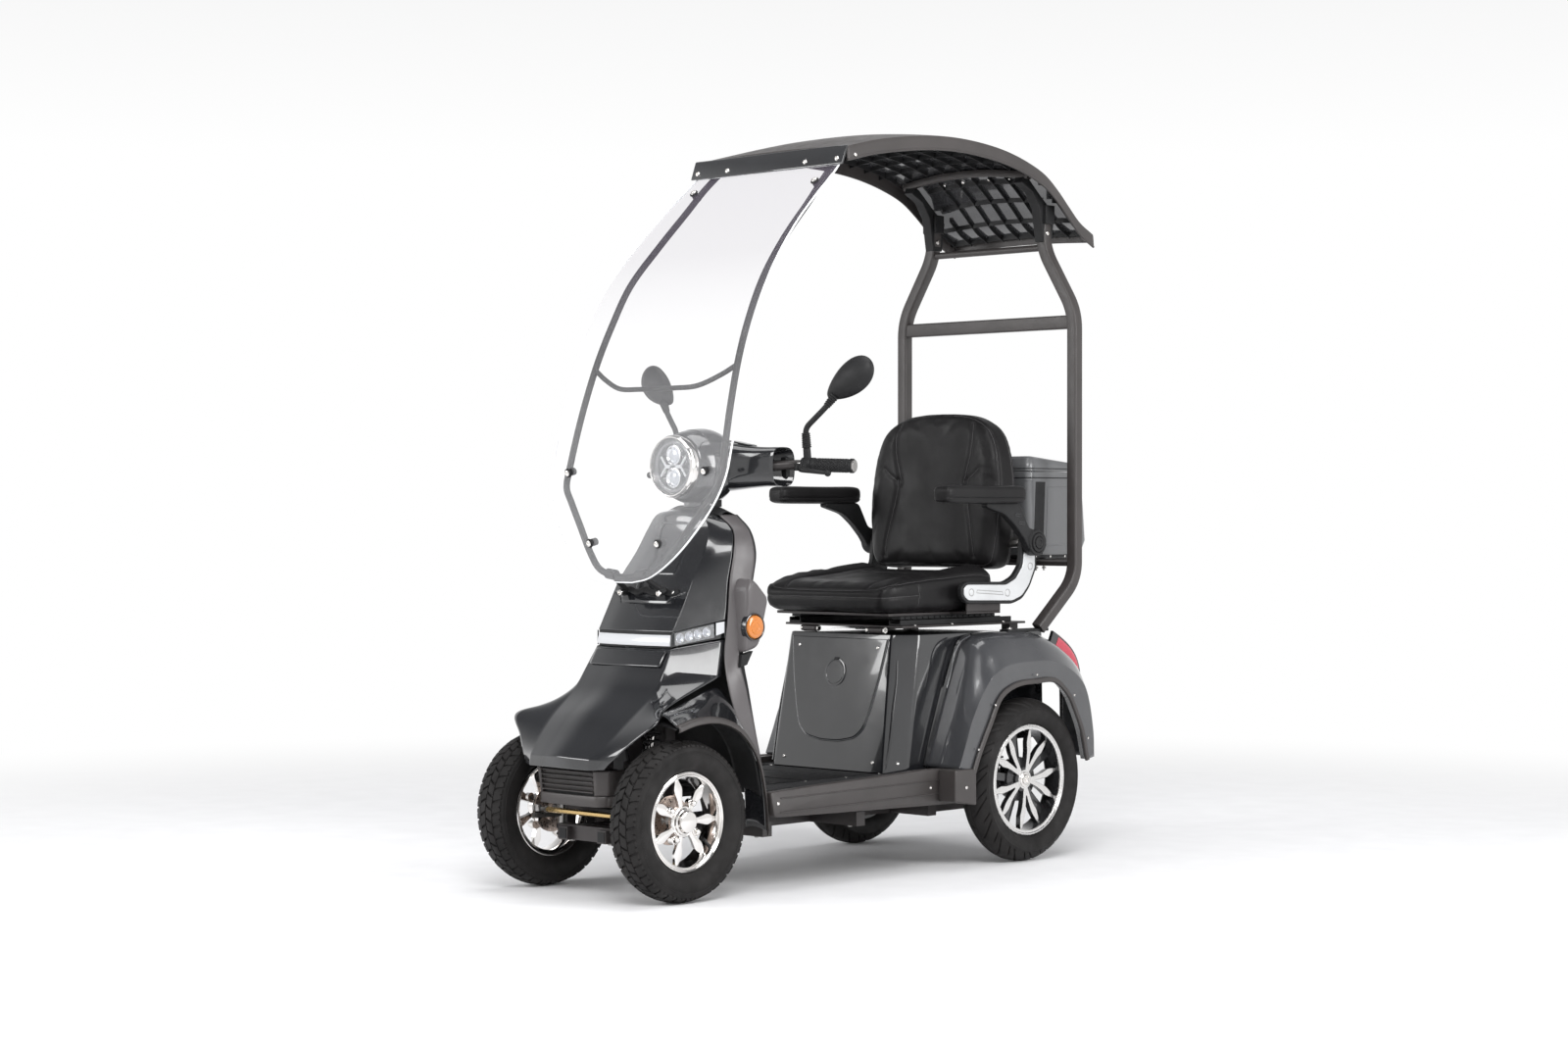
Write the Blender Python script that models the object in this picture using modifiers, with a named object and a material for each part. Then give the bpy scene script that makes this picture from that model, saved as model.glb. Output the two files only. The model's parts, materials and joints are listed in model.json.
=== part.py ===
"""Mobility scooter with four wheels, a roof and a windscreen.

Metres, +Z up. The scooter drives towards -Y and its left side is +X.
The origin is on the ground, under the middle of the outer box.
"""
import math

import bmesh
import bpy
from mathutils import Matrix, Vector

# Wheels and stance
WHEELBASE = 1.144
REAR_AXLE_Y = 0.466
FRONT_TRACK = 0.454
REAR_TRACK = 0.562
FRONT_TYRE_DIAMETER = 0.366
FRONT_TYRE_WIDTH = 0.090
FRONT_RIM_DIAMETER = 0.226
REAR_TYRE_DIAMETER = 0.410
REAR_TYRE_WIDTH = 0.085
REAR_RIM_DIAMETER = 0.280
FRONT_AXLE_Y = REAR_AXLE_Y - WHEELBASE
FRONT_AXLE_Z = FRONT_TYRE_DIAMETER / 2
REAR_AXLE_Z = REAR_TYRE_DIAMETER / 2

WHEEL_STEPS = 24

# Fits between neighbours
SEAM = 0.0003
PANEL = 0.004
COWL_STEP = 0.0014

# Chassis
TUBE = 0.030
RAIL_X = 0.065
RAIL_Z = 0.141
RAIL_FRONT_Y = -0.765
RAIL_REAR_Y = 0.340
KINGPIN_X = 0.165
KNUCKLE_LENGTH = 0.066
STUB_RADIUS = 0.011
HEAD_TOP = 0.298
COLUMN_RADIUS = 0.017
TIE_ROD_Y = FRONT_AXLE_Y - 0.077
TIE_ROD_Z = 0.190
TIE_ROD_RADIUS = 0.006
FRONT_ARM_END_Y = -0.5854
GRILLE_REAR_Y = -0.730
REAR_ARM_X = 0.150
FRAME_TOP = 0.540

# Floor, sills and rear body
DECK_TOP = 0.238
DECK_LOW = 0.230
DECK_FRONT_Y = -0.440
DECK_HALF_WIDTH = 0.262
MAT_HALF_WIDTH = 0.180
MAT_FRONT_Y = -0.350
MAT_REAR_Y = 0.040
MAT_TOP = DECK_TOP + 0.002
CROSS_REACH = DECK_HALF_WIDTH - 0.027
SILL_THICKNESS = 0.020
BODY_BOTTOM = DECK_TOP + SEAM
BODY_TOP = 0.576
BODY_HALF_WIDTH = REAR_TRACK / 2 - REAR_TYRE_WIDTH / 2 - 0.0205
BODY_REAR_Y = 0.640
FENDER_X = REAR_TRACK / 2 + REAR_TYRE_WIDTH / 2 + 0.0065
TAIL_LAMP_DEPTH = 0.016

# Steering
STEER_POINT = Vector((0, -0.405, 0.897))
STEER_RAKE = math.radians(13.6)
BAR_RADIUS = 0.011
BAR_POINT = Vector((0, -0.384, 0.985))
GRIP_END = Vector((0.330, -0.209, 0.986))
GRIP_ALONG = Vector((0.945, 0.325, -0.030)).normalized()
GRIP_LENGTH = 0.105
MIRROR_BOSS = 0.040

# Seat
SEAT_HINGE = Vector((0, 0.112, 0.5855))
SEAT_BASE_Z = 0.592
RAIL_TOP_Z = 0.612
PAN_TOP_Z = 0.6295
CUSHION_HALF_WIDTH = 0.235
CUSHION_REAR_Y = 0.446
ARM_PIVOT = Vector((0, 0.526, 0.800))
LINK_X = 0.245
LINK_THICKNESS = 0.017
ARM_X = 0.2675

# Roof, screen and frame
POST_SIDE = 0.030
POST_X = 0.291
POST_Y = 0.672
POST_BEND = 0.030
SCREEN_THICKNESS = 0.004
HOOP_RADIUS = 0.008
ROOF_THICKNESS = 0.004
RIB_THICKNESS = 0.003
RIB_DEPTH = 0.012
RIB_ROOT = 0.002
SCREEN_BOSS_HEIGHTS = (0.810, 0.955, 1.655)

# Luggage
BOX_FRONT_Y = 0.592
BOX_REAR_Y = 0.846
BOX_BOTTOM = 0.757
BOX_SPLIT = 0.982
BOX_WALL = 0.004
BOX_CORNER = 0.022

SIDES = (("left", 1), ("right", -1))

parts = bpy.data.collections.new("mobility_scooter")
cutters = bpy.data.collections.new("cutters")


def clear_scene():
    for old in list(bpy.data.objects):
        bpy.data.objects.remove(old, do_unlink=True)
    for collection in (parts, cutters):
        bpy.context.scene.collection.children.link(collection)


def material(name, colour, roughness, metallic=0.0, transmission=0.0):
    made = bpy.data.materials.new(name)
    made.use_nodes = True
    shader = made.node_tree.nodes["Principled BSDF"]
    shader.inputs["Base Color"].default_value = (*colour, 1)
    shader.inputs["Roughness"].default_value = roughness
    shader.inputs["Metallic"].default_value = metallic
    shader.inputs["Transmission Weight"].default_value = transmission
    return made


def new_object(name, bm):
    """An object from a bmesh, with its faces pointing out."""
    bmesh.ops.recalc_face_normals(bm, faces=bm.faces)
    mesh = bpy.data.meshes.new(name)
    bm.to_mesh(mesh)
    bm.free()
    made = bpy.data.objects.new(name, mesh)
    parts.objects.link(made)
    return made


def settle(made):
    """Replace an object's modifiers, or a curve's bevel, by a welded mesh that faces out."""
    bpy.context.view_layer.update()
    depsgraph = bpy.context.evaluated_depsgraph_get()
    mesh = bpy.data.meshes.new_from_object(made.evaluated_get(depsgraph))
    bm = bmesh.new()
    bm.from_mesh(mesh)
    bmesh.ops.remove_doubles(bm, verts=bm.verts, dist=1e-6)
    name = made.name
    bpy.data.objects.remove(made, do_unlink=True)
    return new_object(name, bm)


def block(name, low, high, bevel=0.0):
    """A box between two opposite corners."""
    low, high = Vector(low), Vector(high)
    middle, size = (low + high) / 2, high - low
    bm = bmesh.new()
    bmesh.ops.create_cube(bm, size=1, matrix=Matrix.Translation(middle) @ Matrix.Diagonal((*size, 1)))
    if bevel:
        bmesh.ops.bevel(bm, geom=bm.edges, offset=bevel, segments=2, profile=0.5, affect="EDGES")
    return new_object(name, bm)


def rod(name, start, end, radius, end_radius=None, sides=20):
    """A straight round bar, or a cone when its two radii differ."""
    start, end = Vector(start), Vector(end)
    along = end - start
    turn = along.to_track_quat("Z", "Y").to_matrix().to_4x4()
    bm = bmesh.new()
    bmesh.ops.create_cone(
        bm, cap_ends=True, segments=sides, radius1=radius,
        radius2=radius if end_radius is None else end_radius,
        depth=along.length, matrix=Matrix.Translation((start + end) / 2) @ turn)
    return new_object(name, bm)


def ball(name, centre, radii, turn=None, detail=12):
    """A sphere or an ellipsoid."""
    matrix = Matrix.Translation(centre) @ (turn or Matrix.Identity(4)) @ Matrix.Diagonal((*radii, 1))
    bm = bmesh.new()
    bmesh.ops.create_uvsphere(bm, u_segments=detail * 2, v_segments=detail, radius=1, matrix=matrix)
    return new_object(name, bm)


def prism(name, outline, axis, low, high, taper=None):
    """A flat outline drawn across an axis and stretched along it.

    The outline's pairs are (y, z) across X, (x, z) across Y and (x, y) across Z.
    """
    index = "XYZ".index(axis)

    def placed(pair, along):
        point = list(pair)
        point.insert(index, along)
        return point

    bm = bmesh.new()
    near = [bm.verts.new(placed(pair, low)) for pair in outline]
    far = [bm.verts.new(placed(pair, high)) for pair in (taper or outline)]
    bm.faces.new(near)
    bm.faces.new(far)
    for i in range(len(near)):
        j = (i + 1) % len(near)
        bm.faces.new((near[i], near[j], far[j], far[i]))
    return new_object(name, bm)


def turned(name, profile, centre, axis="X", steps=32, closed=True):
    """A profile of (along, radius) pairs turned round an axis through the centre."""
    mesh = bpy.data.meshes.new(name)
    points = [(along, 0, radius) if axis == "X" else (0, along, radius) for along, radius in profile]
    count = len(points)
    edges = [(i, (i + 1) % count) for i in range(count if closed else count - 1)]
    mesh.from_pydata(points, edges, [])
    made = bpy.data.objects.new(name, mesh)
    parts.objects.link(made)
    made.location = centre
    screw = made.modifiers.new("turn", "SCREW")
    screw.axis = axis
    screw.angle = math.tau
    screw.steps = screw.render_steps = steps
    screw.use_merge_vertices = True
    screw.merge_threshold = 0.00001
    return placed_mesh(made)


def placed_mesh(made):
    """Settle an object and keep its world place in its mesh."""
    bpy.context.view_layer.update()
    matrix = made.matrix_world.copy()
    made = settle(made)
    made.data.transform(matrix)
    return made


def rounded(points, radius, steps=4):
    """A path with its sharper corners replaced by arcs."""
    points = [Vector(p) for p in points]
    path = [points[0]]
    for before, corner, after in zip(points, points[1:], points[2:]):
        into, out = (before - corner).normalized(), (after - corner).normalized()
        if into.angle(-out) < math.radians(14):
            path.append(corner)
            continue
        reach = min(radius, 0.45 * (before - corner).length, 0.45 * (after - corner).length)
        for step in range(steps + 1):
            t = step / steps
            path.append(corner + into * reach * (1 - t) ** 2 + out * reach * t ** 2)
    path.append(points[-1])
    return path


def pipe(name, points, radius, square=False, resolution=2, cyclic=False):
    """A round or square bar that follows a path."""
    curve = bpy.data.curves.new(name, "CURVE")
    curve.dimensions = "3D"
    curve.use_fill_caps = True
    spline = curve.splines.new("POLY")
    spline.points.add(len(points) - 1)
    for target, point in zip(spline.points, points):
        target.co = (*point, 1)
    spline.use_cyclic_u = cyclic
    made = bpy.data.objects.new(name, curve)
    parts.objects.link(made)
    if not square:
        curve.bevel_depth = radius
        curve.bevel_resolution = resolution
        return settle(made)
    section = bpy.data.curves.new(name + "_section", "CURVE")
    section.dimensions = "2D"
    outline = section.splines.new("POLY")
    outline.points.add(3)
    outline.use_cyclic_u = True
    for target, (u, v) in zip(outline.points, ((-1, -1), (1, -1), (1, 1), (-1, 1))):
        target.co = (u * radius, v * radius, 0, 1)
    guide = bpy.data.objects.new(name + "_section", section)
    cutters.objects.link(guide)
    curve.bevel_mode = "OBJECT"
    curve.bevel_object = guide
    made = settle(made)
    bpy.data.objects.remove(guide, do_unlink=True)
    return made


def skin(name, rows, thickness, ends=()):
    """A shell of even thickness on a grid of points. It grows inwards from them."""
    bm = bmesh.new()
    grid = [[bm.verts.new(point) for point in row] for row in rows]
    for row, following in zip(grid, grid[1:]):
        for i in range(len(row) - 1):
            bm.faces.new((row[i], row[i + 1], following[i + 1], following[i]))
    for end in ends:
        bm.faces.new(grid[end])
    made = new_object(name, bm)
    shell = made.modifiers.new("thickness", "SOLIDIFY")
    shell.thickness = thickness
    shell.offset = -1
    shell.use_even_offset = True
    return settle(made)


def loft(name, sections):
    """A closed solid through rings that all have the same number of points."""
    bm = bmesh.new()
    rings = [[bm.verts.new(point) for point in ring] for ring in sections]
    for ring, following in zip(rings, rings[1:]):
        for i in range(len(ring)):
            j = (i + 1) % len(ring)
            bm.faces.new((ring[i], ring[j], following[j], following[i]))
    bm.faces.new(rings[0])
    bm.faces.new(rings[-1])
    return new_object(name, bm)


def boolean(target, others, operation):
    for other in others:
        step = target.modifiers.new(operation.lower(), "BOOLEAN")
        step.operation = operation
        step.solver = "EXACT"
        step.object = other
    made = settle(target)
    for other in others:
        bpy.data.objects.remove(other, do_unlink=True)
    return made


def fuse(target, *others):
    return boolean(target, others, "UNION")


def cut(target, *others):
    return boolean(target, others, "DIFFERENCE")


def joined(name, solids):
    """One object of several solids that don't touch, for use as a cutter."""
    bm = bmesh.new()
    for solid in solids:
        bm.from_mesh(solid.data)
        bpy.data.objects.remove(solid, do_unlink=True)
    return new_object(name, bm)


def pivot(name, location, rotation=None):
    """An empty on a joint's axis. The pieces that turn there are its children."""
    made = bpy.data.objects.new(name, None)
    made.empty_display_size = 0.05
    parts.objects.link(made)
    made.matrix_world = Matrix.Translation(location) @ (rotation or Matrix.Identity(4))
    return made


def finish(made, look, parent=None, smooth=35):
    made.data.materials.clear()
    made.data.materials.append(look)
    made.data.shade_smooth()
    made.data.set_sharp_from_angle(angle=math.radians(smooth))
    if parent:
        made.parent = parent
        made.matrix_parent_inverse = parent.matrix_world.inverted()
    return made


def mirrored(points):
    return [Vector((-p[0], p[1], p[2])) for p in points]


def beside(path, distance):
    """A flat open path moved sideways, to its left, with its corners kept."""
    path = [Vector(p) for p in path]
    normals = []
    for start, end in zip(path, path[1:]):
        along = (end - start).normalized()
        normals.append(Vector((-along.y, along.x)))
    moved = []
    for i, point in enumerate(path):
        before = normals[max(i - 1, 0)]
        after = normals[min(i, len(normals) - 1)]
        moved.append(point + (before + after) * distance / (1 + before.dot(after)))
    return moved


def both_sides(half):
    """A row from one side to the other, from its points on the left, outer one first."""
    half = [Vector(p) for p in half]
    middle = [p for p in half if abs(p.x) < 1e-6]
    outer = [p for p in half if abs(p.x) >= 1e-6]
    return outer + middle + mirrored(reversed(outer))


def steer_axis_at(z):
    """The point of the steering axis at a height."""
    return Vector((0, STEER_POINT.y + (z - STEER_POINT.z) * math.tan(STEER_RAKE), z))


# Wheels

def tyre(name, centre, width, diameter, rim_diameter, look, parent):
    radius, flange = diameter / 2, rim_diameter / 2
    bead = 0.30 * width
    depth = radius - flange
    # One side of the section: (along, radius)
    side = (
        (bead, flange - 0.012 + SEAM), (bead, flange + SEAM * 2), (0.5 * width, flange + 0.30 * depth),
        (0.48 * width, flange + 0.70 * depth), (0.34 * width, radius - 0.006),
    )
    profile = [*side, (0, radius), *((-x, r) for x, r in reversed(side))]
    return finish(turned(name, profile, centre, steps=WHEEL_STEPS), look, parent)


def rim(name, centre, side, width, rim_diameter, hub, windows, look, parent):
    """A cast wheel turned in one piece, with windows cut between its spokes."""
    flange = rim_diameter / 2
    seat = flange - 0.012
    inner = seat - 0.004
    bead = 0.30 * width
    lip = bead + 0.004
    face, back = hub["face"], hub["face"] - hub["thickness"]
    profile = [
        (hub["out"], 0), (hub["out"], hub["cap"]), (face, hub["radius"]), (face, inner),
        (lip, inner + 0.002), (lip, flange), (bead + SEAM, flange), (bead + SEAM, seat),
        (-bead - SEAM, seat), (-bead - SEAM, flange), (-lip, flange), (-lip, inner + 0.002),
        (back, inner), (back, hub["radius"]),
    ]
    if hub["brake"]:
        disc = hub["in"] + 0.008
        profile += [(disc + 0.004, hub["radius"]), (disc + 0.004, hub["brake"]), (disc, hub["brake"]),
                    (disc, hub["radius"])]
    profile += [(hub["in"], hub["radius"]), (hub["in"], 0)]
    wheel = turned(name, [(side * x, r) for x, r in profile], centre, steps=WHEEL_STEPS, closed=False)
    cutter = joined("windows", [spoke_window(centre, side, hub, window, inner) for window in windows])
    return finish(cut(wheel, cutter), look, parent)


def spoke_window(centre, side, hub, window, inner):
    """A cutter for one opening, from its middle angle and its half widths at hub and rim."""
    angle, at_hub, at_rim = window
    low, high = hub["radius"] + 0.004, inner - 0.006
    corners = (
        (low, -at_hub), (high - 0.008, -at_rim), (high, -at_rim * 0.75), (high, at_rim * 0.75),
        (high - 0.008, at_rim), (low, at_hub),
    )
    outline = []
    for radius, spread in corners:
        turn = angle + spread
        outline.append((centre[1] + radius * math.sin(turn), centre[2] + radius * math.cos(turn)))
    ends = (hub["face"] - hub["thickness"] - 0.004, hub["face"] + 0.004)
    return prism("window", outline, "X", *sorted(centre[0] + side * x for x in ends))


def build_wheels(looks):
    seven = [(math.tau * i / 7, math.radians(17), math.radians(19)) for i in range(7)]
    pairs = []
    for i in range(5):
        pairs.append((math.tau * i / 5, math.radians(15), math.radians(7)))
        pairs.append((math.tau * (i + 0.5) / 5, math.radians(10), math.radians(20)))
    front_hub = {"out": 0.022, "cap": 0.020, "radius": 0.030, "in": -0.037, "face": 0.014,
                 "thickness": 0.010, "brake": 0.072}
    rear_hub = {"out": 0.018, "cap": 0.014, "radius": 0.024, "in": -0.042, "face": 0.012,
                "thickness": 0.010, "brake": 0}
    for label, side in SIDES:
        front = (side * FRONT_TRACK / 2, FRONT_AXLE_Y, FRONT_AXLE_Z)
        rear = (side * REAR_TRACK / 2, REAR_AXLE_Y, REAR_AXLE_Z)
        kingpin = pivot(f"kingpin_{label}", (side * KINGPIN_X, FRONT_AXLE_Y, FRONT_AXLE_Z))
        hub = pivot(f"front_hub_{label}", front)
        tyre(f"front_tyre_{label}", front, FRONT_TYRE_WIDTH, FRONT_TYRE_DIAMETER, FRONT_RIM_DIAMETER,
             looks["rubber"], hub)
        rim(f"front_rim_{label}", front, side, FRONT_TYRE_WIDTH, FRONT_RIM_DIAMETER, front_hub, seven,
            looks["chrome"], hub)
        build_knuckle(label, side, kingpin, looks)
        hub = pivot(f"rear_hub_{label}", rear)
        tyre(f"rear_tyre_{label}", rear, REAR_TYRE_WIDTH, REAR_TYRE_DIAMETER, REAR_RIM_DIAMETER,
             looks["rubber"], hub)
        rim(f"rear_rim_{label}", rear, side, REAR_TYRE_WIDTH, REAR_RIM_DIAMETER, rear_hub, pairs,
            looks["alloy"], hub)


def build_knuckle(label, side, parent, looks):
    """Kingpin barrel, stub axle and the arm that the tie rod pulls."""
    x, y, z = side * KINGPIN_X, FRONT_AXLE_Y, FRONT_AXLE_Z
    barrel = rod(f"knuckle_{label}", (x, y, z - KNUCKLE_LENGTH / 2), (x, y, z + KNUCKLE_LENGTH / 2), 0.013)
    stub_end = side * (FRONT_TRACK / 2 - 0.037 - SEAM)
    stub = rod("stub", (x, y, z), (stub_end, y, z), STUB_RADIUS, sides=16)
    arm_top = TIE_ROD_Z - TIE_ROD_RADIUS - 0.004
    arm = block("arm", (x - 0.009, TIE_ROD_Y - 0.009, arm_top - 0.012), (x + 0.009, y, arm_top))
    finish(fuse(barrel, stub, arm), looks["steel"], parent)


# Running gear

def build_main_frame(looks):
    half = TUBE / 2
    low, high = RAIL_Z - half, RAIL_Z + half
    frame = block("main_frame", (-RAIL_X - half, RAIL_FRONT_Y, low), (-RAIL_X + half, RAIL_REAR_Y, high))
    pieces = [block("rail", (RAIL_X - half, RAIL_FRONT_Y, low), (RAIL_X + half, RAIL_REAR_Y, high))]
    # Cross tubes under the floor: y, half length
    for y, reach in ((-0.735, 0.10), (-0.400, CROSS_REACH), (-0.080, CROSS_REACH), (0.215, 0.205)):
        pieces.append(block("cross", (-reach, y - half, low), (reach, y + half, high + 0.004)))
    # Uprights that carry the deck, the shocks and the steering head
    for y, x, top in ((-0.600, 0.105, 0.420), (0.325, 0.100, FRAME_TOP)):
        front, rear = y - half, y + half
        for side in (1, -1):
            pieces.append(block("upright", (side * x - half, front, low), (side * x + half, rear, top)))
        pieces.append(block("top_cross", (-x - half, front, top - TUBE), (x + half, rear, top)))
        pieces.append(block("foot_cross", (-x - half, front, low), (x + half, rear, high)))
    rail_low = FRAME_TOP - TUBE
    for side in (1, -1):
        x = side * 0.100
        pieces.append(block("top_rail", (x - half, 0.325, rail_low), (x + half, 0.610, FRAME_TOP)))
        reach = sorted((x, side * 0.180))
        pieces.append(block("shock_arm", (reach[0], 0.515, rail_low), (reach[1], 0.545, FRAME_TOP)))
        for y in (-0.400, -0.080):
            foot = side * 0.200
            pieces.append(block("deck_foot", (foot - half, y - half, high),
                                (foot + half, y + half, DECK_LOW - SEAM)))
        # Plates over the front shocks, and ears that take the front arms
        pieces.append(block("shock_plate", (x - 0.016, -0.654, 0.4045), (x + 0.016, -0.600, 0.420)))
        ear = side * RAIL_X
        pieces.append(block("ear", (ear - 0.012, FRONT_ARM_END_Y + SEAM, low), (ear + 0.012, -0.568, 0.197)))
    pieces.append(block("nose_arm", (-0.018, GRILLE_REAR_Y + SEAM, 0.238), (0.018, -0.600, 0.262)))
    pieces.append(block("head_brace", (-0.022, -0.615, 0.270), (0.022, -0.520, HEAD_TOP)))
    pieces.append(block("head_post", (-0.015, -0.615, low), (0.015, -0.585, HEAD_TOP)))
    pieces.append(block("rear_bar", (-0.115, 0.595, rail_low), (0.115, 0.625, FRAME_TOP)))
    finish(fuse(frame, *pieces), looks["frame"])


def build_front_axle(looks):
    """The beam with a yoke at each end, and the two coil-over shocks that stand on it."""
    y, z = FRONT_AXLE_Y, FRONT_AXLE_Z
    beam = block("front_axle", (-0.140, y - 0.016, z - 0.010), (0.140, y + 0.016, z + 0.014))
    pieces = []
    barrel_half = KNUCKLE_LENGTH / 2 + SEAM
    for side in (1, -1):
        web = sorted((side * 0.132, side * 0.142))
        lug = sorted((side * 0.132, side * (KINGPIN_X + 0.014)))
        pieces.append(block("web", (web[0], y - 0.014, z - 0.045), (web[1], y + 0.014, z + 0.045)))
        for low, high in ((-0.045, -barrel_half), (barrel_half, 0.045)):
            pieces.append(block("lug", (lug[0], y - 0.014, z + low), (lug[1], y + 0.014, z + high)))
        pieces.append(shock("shock", (side * 0.112, y - 0.004, z + 0.010), (side * 0.105, -0.636, 0.402)))
    for side in (1, -1):
        x = side * RAIL_X
        pieces.append(block("arm", (x - 0.010, y, z - 0.008), (x + 0.010, FRONT_ARM_END_Y, z + 0.008)))
    finish(fuse(beam, *pieces), looks["frame"])


def shock(name, low, high):
    """A spring and damper: rod, spring body with raised coils, and eyes."""
    low, high = Vector(low), Vector(high)
    along = high - low
    length = along.length
    turns = 5
    start, end = 0.16 * length, 0.84 * length
    pitch = (end - start) / turns
    profile = [(0, 0), (0, 0.009), (start, 0.009), (start, 0.019)]
    for i in range(turns):
        profile += [(start + pitch * (i + 0.35), 0.019), (start + pitch * (i + 0.7), 0.014),
                    (start + pitch * (i + 1), 0.019)]
    profile += [(end, 0.009), (length, 0.009), (length, 0)]
    made = turned(name, profile, (0, 0, 0), axis="Y", steps=8, closed=False)
    made.data.transform(Matrix.Translation(low) @ along.to_track_quat("Y", "Z").to_matrix().to_4x4())
    return made


def build_tie_rod(looks):
    y, z = TIE_ROD_Y, TIE_ROD_Z
    link = pivot("tie_rod_eye", (KINGPIN_X, y, z))
    bar = rod("tie_rod", (-KINGPIN_X, y, z), (KINGPIN_X, y, z), TIE_ROD_RADIUS, sides=12)
    foot = z - TIE_ROD_RADIUS - 0.0037
    ends = [rod("eye", (x, y, foot), (x, y, z + 0.009), 0.009, sides=16) for x in (KINGPIN_X, -KINGPIN_X)]
    finish(fuse(bar, *ends), looks["brass"], link)


def build_rear_axle(looks):
    """Motor housing, axle tubes and the two trailing arms."""
    y, z = REAR_AXLE_Y, REAR_AXLE_Z
    end = REAR_TRACK / 2 - 0.042 - SEAM
    profile = (
        (-end, 0), (-end, 0.022), (-0.080, 0.026), (-0.070, 0.060), (-0.045, 0.078), (0.045, 0.078),
        (0.070, 0.060), (0.080, 0.026), (end, 0.022), (end, 0),
    )
    axle = turned("rear_axle", profile, (0, y, z), steps=18, closed=False)
    pieces = [rod("motor", (0.085, y - 0.02, z + 0.02), (-0.03, y - 0.105, z + 0.03), 0.052)]
    for side in (1, -1):
        x = side * REAR_ARM_X
        pieces.append(block("arm", (x - 0.012, 0.2305, 0.128), (x + 0.012, y, 0.152)))
        pieces.append(block("bracket", (x - 0.012, y - 0.02, 0.128), (x + 0.012, y + 0.055, z)))
        pieces.append(block("spring_seat", (x - 0.014, y + 0.030, z - 0.02), (x + 0.016, y + 0.080, z)))
    finish(fuse(axle, *pieces), looks["frame"])
    for label, side in SIDES:
        foot = (side * REAR_ARM_X, y + 0.058, z + SEAM)
        made = shock(f"rear_shock_{label}", foot, (side * 0.155, 0.530, FRAME_TOP - TUBE - 0.001))
        finish(made, looks["red"])


def build_battery(looks):
    """The battery and controller, one plain block where they stand."""
    finish(block("battery_block", (-0.170, 0.110, BODY_BOTTOM), (0.170, 0.305, 0.430)), looks["plastic"])


# Floor and front

def build_floor(looks):
    rear = 0.240
    deck = block("foot_deck", (-DECK_HALF_WIDTH, DECK_FRONT_Y, DECK_LOW), (DECK_HALF_WIDTH, rear, DECK_TOP))
    mat = block("mat", (-MAT_HALF_WIDTH, MAT_FRONT_Y, DECK_LOW + 0.002),
                (MAT_HALF_WIDTH, MAT_REAR_Y, MAT_TOP))
    rims = []
    for side in (1, -1):
        x = sorted((side * (DECK_HALF_WIDTH - 0.012), side * DECK_HALF_WIDTH))
        rims.append(block("edge", (x[0], DECK_FRONT_Y, 0.180), (x[1], rear, DECK_TOP)))
    finish(fuse(deck, mat, *rims), looks["plastic"])
    # Side view of the sill: y, z
    sill_outline = ((-0.424, 0.175), (-0.438, 0.234), (0.10, 0.252), (0.228, 0.2495), (0.215, 0.162))
    for label, side in SIDES:
        near = side * (DECK_HALF_WIDTH + SEAM)
        sill = prism(f"side_sill_{label}", sill_outline, "X", *sorted((near, near + side * SILL_THICKNESS)))
        band = [*ARCH, *reversed(beside(ARCH, 0.012))]
        trim = prism("trim", band, "X", *sorted((side * (FENDER_X + SEAM), side * (FENDER_X + 0.008))))
        step = prism("step", ((0.150, 0.175), (0.150, 0.245), (0.228, 0.2495), (0.228, 0.162)), "X",
                     *sorted((side * (DECK_HALF_WIDTH + 0.003), side * (FENDER_X + 0.008))))
        finish(fuse(sill, step, trim), looks["trim"])


# Opening of the rear wheel arch, front foot to rear foot: y, z
ARCH = (
    (0.214, 0.235), (0.279, 0.356), (0.323, 0.424), (0.382, 0.452), (0.542, 0.457), (0.598, 0.418),
    (0.655, 0.320), (0.676, 0.245),
)


# Front cowl: height of the crease, crease x, crease y, seam x, seam y, seam height
FAIRING_SECTIONS = (
    (0.601, 0.125, -0.600, 0.166, -0.464, 0.627),
    (0.657, 0.126, -0.568, 0.164, -0.458, 0.660),
    (0.719, 0.124, -0.534, 0.160, -0.450, 0.719),
    (0.785, 0.114, -0.488, 0.155, -0.432, 0.785),
    (0.836, 0.104, -0.462, 0.136, -0.415, 0.836),
    (0.872, 0.078, -0.455, 0.095, -0.420, 0.868),
    (0.884, 0.040, -0.440, 0.050, -0.430, 0.882),
)


def build_fairing(looks):
    crown = 0.014
    rows = []
    for z, crease_x, crease_y, seam_x, seam_y, seam_z in FAIRING_SECTIONS:
        rows.append(both_sides((
            (seam_x - COWL_STEP, seam_y - COWL_STEP, seam_z), (crease_x, crease_y, z),
            (crease_x * 0.55, crease_y - crown * 0.75, z), (0, crease_y - crown, z))))
    finish(skin("front_fairing", rows, PANEL), looks["gloss"])


# Inner shield: height, seam x, seam y, rear x, rear y, back y
SHIELD_SECTIONS = (
    (DECK_TOP + 0.0012, 0.205, -0.428, 0.200, -0.372, -0.366),
    (0.302, 0.204, -0.440, 0.200, -0.385, -0.372),
    (0.375, 0.203, -0.458, 0.200, -0.405, -0.388),
    (0.463, 0.198, -0.486, 0.200, -0.432, -0.405),
    (0.545, 0.172, -0.478, 0.190, -0.447, -0.412),
    (0.628, 0.167, -0.4625, 0.186, -0.430, -0.400),
    (0.726, 0.161, -0.447, 0.172, -0.385, -0.365),
    (0.785, 0.156, -0.4305, 0.168, -0.374, -0.352),
    (0.836, 0.137, -0.4135, 0.146, -0.372, -0.350),
    (0.868, 0.096, -0.4185, 0.105, -0.372, -0.355),
)


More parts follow.
